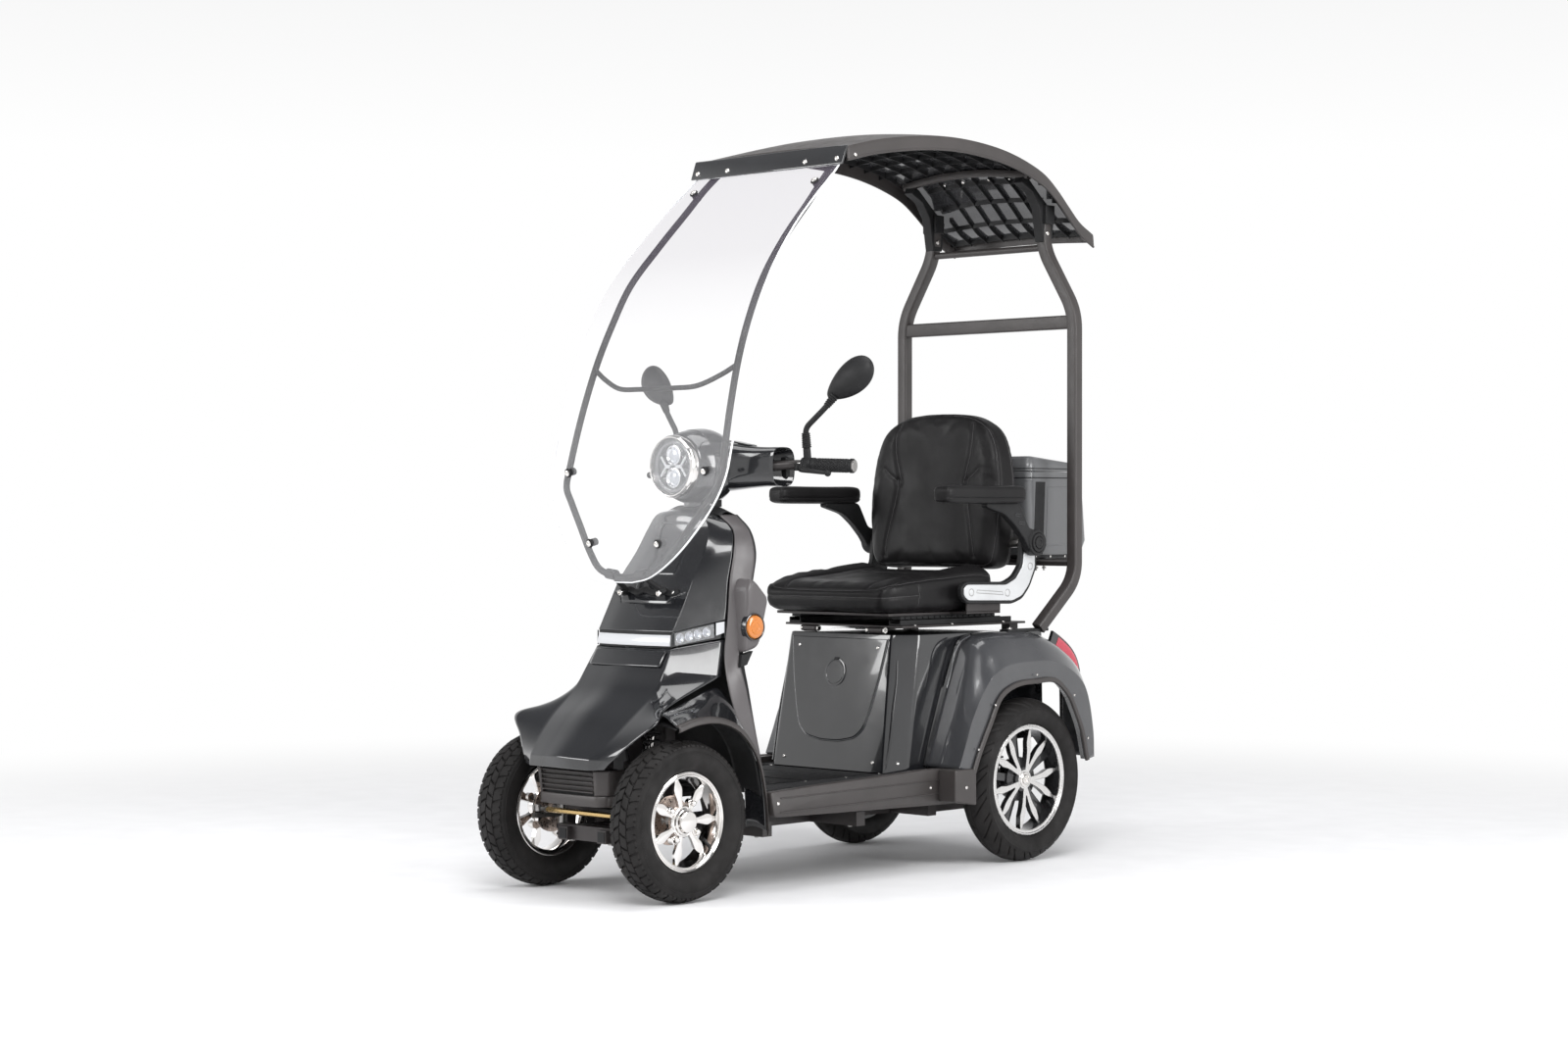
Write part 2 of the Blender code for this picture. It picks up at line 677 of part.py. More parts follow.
def build_leg_shield(looks):
    rows = []
    for z, seam_x, seam_y, rear_x, rear_y, back_y in SHIELD_SECTIONS:
        rows.append(both_sides((
            (seam_x, seam_y, z), (rear_x, rear_y, z), (rear_x * 0.85, back_y, z), (0, back_y, z))))
    shield = skin("leg_shield", rows, PANEL)
    pod_outline = ((-0.438, 0.700), (-0.424, 0.727), (-0.372, 0.682), (-0.404, 0.567), (-0.446, 0.552))
    pod_face = ((-0.452, 0.690), (-0.424, 0.715), (-0.380, 0.678), (-0.410, 0.573), (-0.463, 0.556))
    pods = []
    for side in (1, -1):
        low, high = side * 0.160, side * 0.212
        ends = (pod_outline, pod_face) if side > 0 else (pod_face, pod_outline)
        pods.append(prism("pod", ends[0], "X", min(low, high), max(low, high), taper=ends[1]))
    finish(fuse(shield, *pods), looks["grey"])
    for label, side in SIDES:
        start = Vector((side * (0.212 + SEAM), -0.424, 0.607))
        made = rod(f"indicator_{label}", start, start + Vector((side * 0.010, 0, 0)), 0.0287, 0.026)
        finish(made, looks["amber"])


def build_light_strip(looks):
    """The bar across the nose with a lamp round each corner."""
    # One side, from the lamp's rear end: x, y, bottom, top, depth inwards in x and in y
    sections = []
    for x, y, low, high, in_x, in_y in (
            (0.1650, -0.4675, 0.586, 0.6263, -0.010, -0.002), (0.1270, -0.602, 0.5675, 0.6003, -0.009, 0.009),
            (0.0700, -0.613, 0.567, 0.6003, 0, 0.012), (0, -0.616, 0.567, 0.6003, 0, 0.012)):
        outer_low, outer_high = Vector((x, y, low)), Vector((x, y, high))
        sections.append([outer_low, outer_high, outer_high + Vector((in_x, in_y, -0.005)),
                         outer_low + Vector((in_x, in_y, 0))])
    rings = sections + [mirrored(ring) for ring in reversed(sections[:-1])]
    finish(loft("light_strip", rings), looks["lamp"])


# Bonnet rows from nose to waist, each as centre, crease and edge of the wing: x, y, z
BONNET_ROWS = (
    ((0, -0.844, 0.300), (0.100, -0.836, 0.299), (0.133, -0.818, 0.301)),
    ((0, -0.846, 0.330), (0.099, -0.834, 0.325), (0.150, -0.812, 0.322)),
    ((0, -0.802, 0.366), (0.117, -0.796, 0.357), (0.190, -0.788, 0.362)),
    ((0, -0.752, 0.414), (0.129, -0.744, 0.404), (0.235, -0.760, 0.405)),
    ((0, -0.674, 0.475), (0.135, -0.667, 0.466), (0.195, -0.690, 0.432)),
    ((0, -0.644, 0.520), (0.133, -0.632, 0.516), (0.174, -0.492, 0.500)),
    ((0, -0.6165, 0.566), (0.1265, -0.602, 0.5665), (0.1655, -0.4705, 0.5845)),
)


def build_bonnet(looks):
    rows = []
    for centre, crease, edge in BONNET_ROWS:
        inner = (crease[0] * 0.5, (centre[1] + crease[1]) / 2, (centre[2] + crease[2]) / 2)
        rows.append(both_sides((edge, crease, inner, centre)))
    finish(skin("bonnet", rows, PANEL), looks["gloss"])
    # Lip of the mudguard round the wheel: y, z, height of its inner edge above it
    lip = ((-0.722, 0.396, 0.012), (-0.661, 0.410, 0.014), (-0.596, 0.410, 0.014), (-0.540, 0.392, 0.012),
           (-0.500, 0.360, 0.010), (-0.468, 0.312, 0.008), (-0.446, 0.229, 0.0), (-0.437, 0.143, 0.0))
    for label, side in SIDES:
        rows = []
        for y, z, rise in lip:
            rows.append([(side * 0.172, y + rise * 0.3, z + rise), (side * 0.230, y, z + rise * 0.5),
                         (side * 0.272, y, z), (side * 0.275, y, z - 0.008)])
        finish(skin(f"front_mudguard_{label}", rows, 0.003), looks["gloss"])


def build_grille(looks):
    """The moulded nose under the bonnet, with its slots."""
    rear = GRILLE_REAR_Y
    upper = ((-0.112, rear), (-0.121, -0.790), (-0.100, -0.812),
             (0.100, -0.812), (0.121, -0.790), (0.112, rear))
    lower = ((-0.104, rear), (-0.112, -0.786), (-0.092, -0.806),
             (0.092, -0.806), (0.112, -0.786), (0.104, rear))
    body = prism("nose_grille", lower, "Z", 0.213, 0.2965, taper=upper)
    hollow = block("hollow", (-0.090, -0.795, 0.200), (0.090, rear - 0.008, 0.288))
    heights = (0.242, 0.254, 0.266, 0.278)
    slots = [block("slot", (-0.085, -0.830, z), (0.085, -0.805, z + 0.005)) for z in heights]
    finish(cut(body, hollow, *slots), looks["trim"])


# Rear body

# Front wall of the body: y at the floor, y at the top
BOX_FACE = (0.052, 0.104)
COVER_THICKNESS = 0.005
# The cover in it, left half from the top: x, z
COVER_OUTLINE = (
    (0.160, 0.564), (0.144, 0.473), (0.125, 0.397), (0.108, 0.345), (0.082, 0.322), (0.030, 0.312),
)


def build_seat_box(looks):
    """The hollow body under the seat: front, sides, rear and a top with an opening."""
    front_low, front_top = BOX_FACE
    top_half = BODY_HALF_WIDTH - 0.006
    # Left half of the plan, from the front: x and y at the floor, x and y at the top
    half = ((0.188, front_low, 0.172, front_top), (BODY_HALF_WIDTH, 0.110, top_half, 0.160),
            (BODY_HALF_WIDTH, BODY_REAR_Y, top_half, BODY_REAR_Y))
    low = [Vector((x, y, BODY_BOTTOM)) for x, y, _, _ in half]
    top = [Vector((x, y, BODY_TOP)) for _, _, x, y in half]
    low += mirrored(reversed(low))
    top += mirrored(reversed(top))
    body = loft("seat_box", (low, top))
    wall = PANEL
    middle_y = (front_low + BODY_REAR_Y) / 2
    inner = []
    for ring, z in ((low, BODY_BOTTOM - 0.01), (top, BODY_TOP - wall)):
        inner.append([(x - math.copysign(wall, x), y + math.copysign(wall, middle_y - y), z)
                      for x, y, _ in ring])
    body = cut(body, loft("hollow", inner))
    opening = block("opening", (-0.150, 0.150, BODY_TOP - 0.02), (0.150, 0.520, BODY_TOP + 0.02))
    slot = block("floor_gap", (-0.30, 0.2405, 0.20), (0.30, 0.70, 0.300))
    body = cut(body, opening, slot)
    finish(body, looks["gloss"])
    # The cover lies on the leaning front wall. A round flap over the charging socket stands proud of it.
    outline = [*COVER_OUTLINE, *((-x, z) for x, z in reversed(COVER_OUTLINE))]
    cover = prism("battery_cover", outline, "Y", 0, COVER_THICKNESS)
    flap = rod("flap", (0, -0.0015, 0.479), (0, 0.002, 0.479), 0.036, sides=24)
    cover = fuse(cover, flap)
    lean = math.atan2(front_top - front_low, BODY_TOP - BODY_BOTTOM)
    seat = Vector((0, front_low - COVER_THICKNESS - 2 * SEAM, BODY_BOTTOM))
    cover.data.transform(Matrix.Translation(seat) @ Matrix.Rotation(-lean, 4, "X")
                         @ Matrix.Translation((0, 0, -BODY_BOTTOM)))
    finish(cover, looks["gloss"])


# Side view of the rear fender, front foot to rear foot: y and z at the body, y and z at the wheel side
FENDER_OUTLINE = (
    (0.166, 0.253, 0.172, 0.253), (0.215, 0.380, 0.226, 0.375), (0.268, 0.505, 0.290, 0.462),
    (0.300, 0.560, 0.345, 0.492), (0.350, 0.574, 0.386, 0.500), (0.520, 0.574, 0.540, 0.500),
    (0.625, 0.535, 0.614, 0.474), (0.690, 0.480, 0.668, 0.430), (0.706, 0.330, 0.700, 0.320),
    (0.712, 0.2455, 0.704, 0.2455),
)


def build_fenders(looks):
    for label, side in SIDES:
        root = BODY_HALF_WIDTH + SEAM
        # Station across: x, share of the way from the body outline to the wheel-side outline
        stations = ((root, 0.0), (0.272, 0.0), (0.304, 0.38), (0.322, 0.8), (FENDER_X, 1.0))
        rows = []
        for x, share in stations:
            rows.append([(side * x, y0 + (y1 - y0) * share, z0 + (z1 - z0) * share)
                         for y0, z0, y1, z1 in FENDER_OUTLINE])
        shell = skin(f"rear_fender_{label}", rows, PANEL, ends=(-1,))
        arch = [(0.205, 0.20), *ARCH, (0.690, 0.20)]
        opening = prism("arch", arch, "X", *sorted((side * 0.285, side * 0.40)))
        made = cut(shell, opening)
        finish(made, looks["gloss"])
        build_tail_lamp(looks, label, side)


def build_tail_lamp(looks, label, side):
    """A lens that lies round the rear top corner of the fender."""
    upper, corner, lower = (Vector(point[:2]) for point in FENDER_OUTLINE[6:9])
    path = (upper.lerp(corner, 0.3), corner, corner.lerp(lower, 0.45))
    outline = [*beside(path, 2 * SEAM), *reversed(beside(path, TAIL_LAMP_DEPTH))]
    lens = prism(f"tail_lamp_{label}", outline, "X", *sorted((side * 0.235, side * 0.285)))
    finish(lens, looks["red_lens"])


# Seat

def build_seat(looks):
    hinge = pivot("seat_hinge", SEAT_HINGE)
    base = block("seat_base", (-0.200, SEAT_HINGE.y, SEAT_BASE_Z), (0.200, 0.585, SEAT_BASE_Z + 0.006))
    pieces = []
    for side in (1, -1):
        middle = SEAT_HINGE + Vector((side * 0.112, 0, 0))
        half = Vector((0.022, 0, 0))
        pieces.append(rod("barrel", middle - half, middle + half, 0.009, sides=16))
        near, far = sorted((side * 0.150, side * 0.190))
        pieces.append(block("rail", (near, 0.115, SEAT_BASE_Z), (far, 0.540, RAIL_TOP_Z)))
        pieces.append(block("pad", (near, 0.540, BODY_TOP + SEAM), (far, 0.575, SEAT_BASE_Z + 0.003)))
    finish(fuse(base, *pieces), looks["frame"], hinge)

    slide = pivot("seat_slide", (0, 0.3, RAIL_TOP_Z))
    pan_low = PAN_TOP_Z - 0.008
    pan = block("seat_pan", (-0.190, 0.070, pan_low), (0.190, 0.490, PAN_TOP_Z))
    pieces = []
    # Side link from the pan up to the pivot of the back: y, z
    link_outline = (
        (0.262, 0.668), (0.262, 0.692), (0.280, 0.705), (0.430, 0.702), (0.466, 0.716), (0.492, 0.745),
        (0.496, 0.800), (0.506, 0.822), (0.526, 0.830), (0.546, 0.822), (0.556, 0.800), (0.556, 0.735),
        (0.530, 0.688), (0.500, 0.658), (0.460, 0.646), (0.285, 0.650))
    for side in (1, -1):
        near, far = side * LINK_X, side * (LINK_X + LINK_THICKNESS)
        pieces.append(prism("link", link_outline, "X", *sorted((near, far))))
        reach = sorted((side * 0.180, far))
        pieces.append(block("bracket", (reach[0], 0.300, pan_low), (reach[1], 0.430, PAN_TOP_Z)))
        wall = sorted((near, far))
        pieces.append(block("wall", (wall[0], 0.300, pan_low), (wall[1], 0.430, 0.660)))
        runner = sorted((side * 0.155, side * 0.185))
        pieces.append(block("runner", (runner[0], 0.120, RAIL_TOP_Z + SEAM),
                            (runner[1], 0.480, PAN_TOP_Z - 0.004)))
    finish(fuse(pan, *pieces), looks["silver"], slide)

    # Section across the cushion, from the left edge to the middle: x, z
    half = ((0.222, 0.630 + SEAM), (CUSHION_HALF_WIDTH, 0.650), (CUSHION_HALF_WIDTH, 0.700), (0.222, 0.722),
            (0.200, 0.730), (0.165, 0.716), (0.080, 0.704))
    outline = [*half, *((-x, z) for x, z in reversed(half))]
    front = [(x * 0.86, 0.632 + (z - 0.630) * 0.80) for x, z in outline]
    sections = []
    for y, share in ((0.028, 1.0), (0.050, 0.35), (0.090, 0.0), (CUSHION_REAR_Y, 0.0)):
        sections.append([(a[0] + (b[0] - a[0]) * share, y, a[1] + (b[1] - a[1]) * share)
                         for a, b in zip(outline, front)])
    finish(loft("seat_cushion", sections), looks["leather"], slide, smooth=60)
    build_back(looks)
    build_armrests(looks)


def build_back(looks):
    fold = pivot("back_fold", ARM_PIVOT)
    # Outline of the back, left half from the bottom: x, z
    half = ((0.170, 0.748), (0.205, 0.760), (0.225, 0.800), (0.235, 0.880), (0.232, 0.960), (0.216, 1.040),
            (0.188, 1.095), (0.130, 1.128), (0.060, 1.141))
    outline = [*half, *((-x, z) for x, z in reversed(half))]
    sections = []
    low, middle = 0.748, 0.945
    # Layer from front to rear: y at the bottom, lean, share of the outline
    for y, lean, share in ((0.432, 0.075, 0.90), (0.446, 0.075, 1.0), (0.520, 0.020, 1.0),
                           (0.534, 0.020, 0.92)):
        sections.append([(x * share, y + (z - low) * lean, middle + (z - middle) * share)
                         for x, z in outline])
    back = loft("seat_back", sections)
    pins = []
    pin_y = ARM_PIVOT.y - 0.012
    for side in (1, -1):
        pins.append(rod("pin", (side * 0.200, pin_y, ARM_PIVOT.z),
                        (side * (LINK_X - SEAM), pin_y, ARM_PIVOT.z), 0.014, sides=16))
    finish(fuse(back, *pins), looks["leather"], fold, smooth=60)


def build_armrests(looks):
    # Side view of the arm: y, z
    outline = ((0.330, 0.9025), (0.455, 0.9025), (0.470, 0.880), (0.500, 0.835), (0.545, 0.825),
               (0.558, 0.800), (0.545, 0.775), (0.520, 0.768), (0.498, 0.782), (0.478, 0.810),
               (0.440, 0.845), (0.400, 0.872), (0.330, 0.890))
    for label, side in SIDES:
        lift = pivot(f"armrest_pivot_{label}", ARM_PIVOT + Vector((side * ARM_X, 0, 0)))
        x = side * (LINK_X + LINK_THICKNESS + SEAM)
        arm = prism(f"armrest_{label}", outline, "X", *sorted((x, x + side * 0.024)))
        inner = ARM_PIVOT + Vector((x, 0, 0))
        boss = rod("boss", inner, inner + Vector((side * 0.034, 0, 0)), 0.034, 0.031, sides=24)
        pad_x = sorted((side * 0.252, side * 0.312))
        pad = block("pad", (pad_x[0], 0.155, 0.898), (pad_x[1], 0.462, 0.945), bevel=0.014)
        finish(fuse(arm, boss, pad), looks["plastic"], lift)


# Steering

def build_steering(looks):
    turn = Matrix.Rotation(-STEER_RAKE, 4, "X")
    steer = pivot("steering_axis", STEER_POINT, turn)
    foot = steer_axis_at(HEAD_TOP + COLUMN_RADIUS * math.sin(STEER_RAKE) + SEAM)
    column = rod("steering_column", foot, BAR_POINT, COLUMN_RADIUS)
    half = (GRIP_END, GRIP_END - GRIP_ALONG * 0.152, (0.135, -0.300, 0.986), (0.070, -0.360, 0.985))
    path = rounded([*half, BAR_POINT, *mirrored(reversed(half))], 0.016)
    bar = pipe("bar", path, BAR_RADIUS)
    finish(fuse(column, bar), looks["frame"], steer)
    build_nacelle(looks, steer, path)
    for label, side in SIDES:
        build_grip(looks, steer, label, side)
        build_mirror(looks, steer, label, side)


def build_nacelle(looks, steer, bar_path):
    z = 0.985
    housing = turned("nacelle", (
        (-0.462, 0), (-0.462, 0.070), (-0.450, 0.079), (-0.420, 0.090), (-0.375, 0.092), (-0.335, 0.078),
        (-0.318, 0.050), (-0.318, 0)), (0, 0, z), axis="Y", steps=24, closed=False)
    # Shroud over the bar, one side: x, middle y, middle z, half depth, half height
    sections = []
    for x, y, middle, deep, high in (
            (0, -0.350, 0.985, 0.055, 0.062), (0.075, -0.338, 0.985, 0.050, 0.056),
            (0.120, -0.314, 0.984, 0.044, 0.048), (0.172, -0.280, 0.985, 0.032, 0.040)):
        ring = []
        for i in range(12):
            angle = math.tau * i / 12
            ring.append(Vector((x, y + deep * math.cos(angle), middle + high * math.sin(angle))))
        sections.append(ring)
    rings = [mirrored(ring) for ring in reversed(sections[1:])] + sections
    shroud = loft("shroud", rings)
    body = fuse(housing, shroud)
    long_bar = [bar_path[0] + Vector((0.02, 0, 0)), *bar_path, bar_path[-1] - Vector((0.02, 0, 0))]
    channel = pipe("channel", long_bar, BAR_RADIUS + 0.0006)
    stem = rod("stem", steer_axis_at(0.80), steer_axis_at(0.990), COLUMN_RADIUS + 0.0006)
    finish(cut(body, fuse(channel, stem)), looks["gloss"], steer)
    lamp = turned("headlamp", (
        (-0.4623, 0), (-0.4623, 0.068), (-0.470, 0.0745), (-0.484, 0.0745), (-0.487, 0.066), (-0.480, 0.062),
        (-0.484, 0.040), (-0.488, 0)), (0, 0, z), axis="Y", steps=24, closed=False)
    finish(lamp, looks["lamp"], steer)


def on_side(point, side):
    """A point of the left side, or its mirror image on the right."""
    return Vector((side * point[0], point[1], point[2]))


def mirror_boss(side):
    """Foot and top of the boss on the brake perch that takes the mirror's stalk."""
    middle = on_side(GRIP_END - GRIP_ALONG * (GRIP_LENGTH + 0.012), side)
    return middle, middle + Vector((0, -0.004, MIRROR_BOSS))


def build_grip(looks, steer, label, side):
    """Grip sleeve, and the brake perch with its lever and the mirror's boss."""
    along = on_side(GRIP_ALONG, side)
    end = on_side(GRIP_END, side)
    inner = end - along * GRIP_LENGTH
    sleeve = rod(f"grip_{label}", inner, end + along * 0.006, 0.0165)
    bore = rod("bore", inner - along * 0.02, end + along * 0.0005, BAR_RADIUS + 0.0006)
    finish(cut(sleeve, bore), looks["plastic"], steer)
    ring = rod(f"brake_lever_{label}", inner - along * 0.026, inner - along * SEAM, 0.0165, sides=16)
    foot, top = mirror_boss(side)
    boss = rod("boss", foot, top, 0.009, sides=12)
    root = foot + Vector((0, -0.032, -0.006))
    perch = rod("perch", foot, root, 0.010, sides=10)
    tip = end - along * 0.030 + Vector((0, -0.048, -0.018))
    bend = root + on_side((0.022, -0.014, -0.006), side)
    lever = pipe("lever", rounded((root, bend, tip), 0.02, steps=2), 0.005, resolution=1)
    knob = ball("knob", tip, (0.008, 0.008, 0.008), detail=4)
    bore = rod("bore", inner - along * 0.05, end, BAR_RADIUS + 0.0006)
    finish(cut(fuse(ring, boss, perch, lever, knob), bore), looks["plastic"], steer)


def build_mirror(looks, steer, label, side):
    foot, top = mirror_boss(side)
    up = (top - foot).normalized()
    base = top + up * SEAM
    neck = base + up * 0.045
    bend = on_side((0.280, -0.240, 1.142), side)
    path = rounded((base, neck, bend, on_side((0.305, -0.226, 1.165), side)), 0.03)
    stalk = pipe(f"mirror_{label}", path, 0.0065)
    boot = rod("boot", base, base + up * 0.040, 0.011, 0.009, sides=14)
    centre = on_side((0.330, -0.214, 1.191), side)
    turn = Matrix.Rotation(-side * math.radians(28), 4, "Y") @ Matrix.Rotation(side * math.radians(8), 4, "Z")
    head = ball("head", centre, (0.068, 0.020, 0.047), turn, detail=7)
    finish(fuse(stalk, boot, head), looks["plastic"], steer)


# Roof, screen and frame

def build_roll_frame(looks):
    top_x = 0.188
    side_paths = []
    for side in (1, -1):
        top, post = side * top_x, side * POST_X
        side_paths.append([(top, POST_Y, 1.660), (top, POST_Y, 1.561), (post, POST_Y, 1.392),
                           (post, POST_Y, 0.706), (side * 0.262, 0.560, 0.580)])
    half = POST_SIDE / 2
    frame = pipe("roll_frame", rounded(side_paths[0], POST_BEND), half, square=True)
    pieces = [pipe("post", rounded(side_paths[1], POST_BEND), half, square=True)]
    pieces.append(block("crossbar", (-POST_X, POST_Y - 0.012, 1.346), (POST_X, POST_Y + 0.012, 1.384)))
    pieces.append(rod("upper_bar", (-top_x, POST_Y, 1.572), (top_x, POST_Y, 1.572), 0.009, sides=12))
    for side in (1, -1):
        foot = sorted((side * 0.232, side * 0.270))
        low = FENDER_OUTLINE[4][1] + SEAM
        pieces.append(block("foot", (foot[0], 0.440, low), (foot[1], 0.600, low + 0.006)))
        outline = ((0.655, 1.575), (0.690, 1.575), (0.705, 1.662), (0.650, 1.695), (0.600, 1.739),
                   (0.575, 1.750), (0.568, 1.722), (0.640, 1.660))
        pieces.append(prism("bracket", outline, "X", *sorted((side * 0.176, side * 0.200))))
    bow_half = 0.009
    bow_path = [(x, y, roof_under(x, y + bow_half) - bow_half - SEAM)
                for x, y in ((-0.212, 0.585), (-0.070, 0.577), (0.070, 0.577), (0.212, 0.585))]
    bow = pipe("bow", bow_path, bow_half, square=True)
    finish(fuse(frame, *pieces, bow), looks["frame"])


# Roof from front to rear along its edge: y, height of the edge, crown in the middle, half width
ROOF_STATIONS = (
    (-0.146, 1.747, 0.006, 0.250), (-0.050, 1.770, 0.014, 0.250), (0.045, 1.786, 0.018, 0.250),
    (0.145, 1.798, 0.020, 0.250), (0.243, 1.803, 0.022, 0.250), (0.350, 1.799, 0.022, 0.250),
    (0.450, 1.787, 0.022, 0.249), (0.540, 1.766, 0.021, 0.247), (0.611, 1.740, 0.020, 0.245),
    (0.665, 1.705, 0.018, 0.243), (0.711, 1.668, 0.016, 0.241), (0.760, 1.630, 0.012, 0.239),
    (0.818, 1.603, 0.008, 0.236),
)


# Rise of the roof across: share of the half width, share of the crown
ROOF_CROWN = ((1.0, 0.0), (0.92, 0.15), (0.6, 0.62), (0.3, 0.92), (0.0, 1.0))
ROOF_SKIRT = 0.033
# Ribs underneath. Those along the roof stop on both sides of the frame's bow: x, then y from and to
RIB_LINES = (0.040, 0.120, 0.214)
RIB_STRETCHES = ((-0.130, 0.556), (0.606, 0.805))
# Those across it: y, and how far they reach, or 0 for the full width
RIB_CROSSINGS = (
    (-0.085, 0), (-0.010, 0), (0.065, 0), (0.140, 0), (0.215, 0), (0.290, 0), (0.365, 0), (0.440, 0),
    (0.515, 0), (0.635, 0.168), (0.717, 0), (0.770, 0),
)


def between(table, index, value):
    """The two rows of a table that a value lies between, and its share of the way from one to the other."""
    for row, following in zip(table, table[1:]):
        low, high = sorted((row[index], following[index]))
        if low <= value <= high:
            return row, following, (value - row[index]) / (following[index] - row[index])
    raise ValueError(f"{value} lies outside the table")


def roof_under(x, y):
    """Height of the roof shell's underside."""
    before, after, share = between(ROOF_STATIONS, 0, y)
    _, edge, crown, half = (a + (b - a) * share for a, b in zip(before, after))
    outer, inner, part_way = between(ROOF_CROWN, 0, abs(x) / half)
    rise = outer[1] + (inner[1] - outer[1]) * part_way
    slope = math.atan2(after[1] - before[1], after[0] - before[0])
    return edge + crown * rise - ROOF_THICKNESS / math.cos(slope)


def roof_half_width(y):
    before, after, share = between(ROOF_STATIONS, 0, y)
    return before[3] + (after[3] - before[3]) * share


def rib(name, axis, place, positions, depth):
    """A thin wall under the roof. It follows the underside through positions along the other level axis."""
    def height(along):
        return roof_under(place, along) if axis == "X" else roof_under(along, place)

    top = [(along, height(along) + RIB_ROOT) for along in positions]
    foot = [(along, height(along) - depth) for along in reversed(positions)]
    return prism(name, [*top, *foot], axis, place - RIB_THICKNESS / 2, place + RIB_THICKNESS / 2)


def roof_ribs():
    """The grid that stiffens the moulding. Ribs along it are a millimetre deeper than those across."""
    ribs = []
    for low, high in RIB_STRETCHES:
        stations = [low, *(row[0] for row in ROOF_STATIONS if low < row[0] < high), high]
        for x in RIB_LINES:
            ribs += [rib("rib_along", "X", side * x, stations, RIB_DEPTH + 0.001) for side in (1, -1)]
    for y, reach in RIB_CROSSINGS:
        width = roof_half_width(y)
        edge = reach or width - 0.0015
        half = [edge, *(share * width for share, _ in ROOF_CROWN if share * width < edge)]
        across = [*half, *(-x for x in reversed(half) if x > 0)]
        ribs.append(rib("rib_across", "Y", y, across, RIB_DEPTH))
    return ribs


def build_roof(looks):
    rows = []
    for y, z, crown, half in ROOF_STATIONS:
        across = [(half * width, y, z + crown * rise) for width, rise in ROOF_CROWN]
        rows.append(both_sides([(half + 0.004, y, z - ROOF_SKIRT), *across]))
    shell = skin("roof_shell", rows, ROOF_THICKNESS)
    # The ribs are fused into one grid before they meet the shell
    finish(fuse(shell, fuse(*roof_ribs())), looks["trim"])
    lip = ((-0.1505, 1.748), (-0.168, 1.704), (-0.1635, 1.7025), (-0.1467, 1.7425))
    finish(prism("roof_lip", lip, "X", -0.256, 0.256), looks["gloss"])


# Screen from top to bottom: y, z, half width
SCREEN_ROWS = (
    (-0.1547, 1.7223, 0.240), (-0.1627, 1.7024, 0.241), (-0.184, 1.683, 0.243), (-0.254, 1.623, 0.249),
    (-0.334, 1.545, 0.256), (-0.425, 1.439, 0.271),
    (-0.482, 1.345, 0.283), (-0.525, 1.225, 0.292), (-0.558, 1.115, 0.297), (-0.580, 1.030, 0.298),
    (-0.597, 0.959, 0.295), (-0.612, 0.900, 0.275), (-0.632, 0.819, 0.219), (-0.643, 0.762, 0.158),
    (-0.649, 0.727, 0.098), (-0.651, 0.716, 0.045),
)

# Tube behind the screen, left side from the top down to the middle: x, y, z
HOOP_PATH = (
    (0.197, -0.118, 1.724), (0.208, -0.232, 1.612), (0.214, -0.320, 1.522), (0.226, -0.404, 1.423),
    (0.232, -0.456, 1.330), (0.240, -0.498, 1.235), (0.250, -0.537, 1.115), (0.260, -0.580, 0.945),
    (0.185, -0.602, 0.842), (0.118, -0.6185, 0.757), (0, -0.627, 0.727),
)


def screen_boss(side, z):
    """A spacer that stands on the hoop and ends at the screen's inner face."""
    above, below, share = between(HOOP_PATH, 2, z)
    start = Vector(above).lerp(Vector(below), share)
    start.x *= side
    above, below, share = between(SCREEN_ROWS, 1, z)
    across = Vector((0, below[0] - above[0], below[1] - above[1])).normalized()
    out = Vector((0, across.z, -across.y))
    reach = (Vector((0, above[0] - start.y, above[1] - start.z))).dot(out) - SCREEN_THICKNESS - 2 * SEAM
    return rod("boss", start, start + out * reach, 0.009, sides=12)


def build_screen(looks):
    rows = [[(half, y, z), (half * 0.5, y, z), (0, y, z), (-half * 0.5, y, z), (-half, y, z)]
            for y, z, half in SCREEN_ROWS]
    finish(skin("windscreen", rows, SCREEN_THICKNESS), looks["clear"])
    path = [Vector(p) for p in HOOP_PATH]
    path = rounded([*path, *mirrored(reversed(path[:-1]))], 0.02, steps=2)
    hoop = pipe("screen_hoop", path, HOOP_RADIUS, resolution=1)
    stay_half = ((0.2405, -0.502, 1.217), (0.132, -0.526, 1.170))
    stay_path = rounded([*stay_half, (0, -0.5305, 1.167), *mirrored(reversed(stay_half))], 0.04)
    pieces = [pipe("stay", stay_path, 0.006)]
    for side in (1, -1):
        clamp_path = ((side * 0.050, -0.624, 0.7395), (side * 0.055, -0.600, 0.715),
                      (side * 0.058, -0.5635, 0.697))
        pieces.append(pipe("clamp", clamp_path, 0.007, resolution=1))
        pieces += [screen_boss(side, z) for z in SCREEN_BOSS_HEIGHTS]
        # Post from the tube's upper end to the roof
        x, y, z = HOOP_PATH[0]
        post = 0.010
        top = roof_under(x + post, y - post) - 2 * SEAM
        pieces.append(rod("roof_post", (side * x, y, z - HOOP_RADIUS), (side * x, y, top), post, sides=12))
    finish(fuse(hoop, *pieces), looks["frame"])


# Luggage

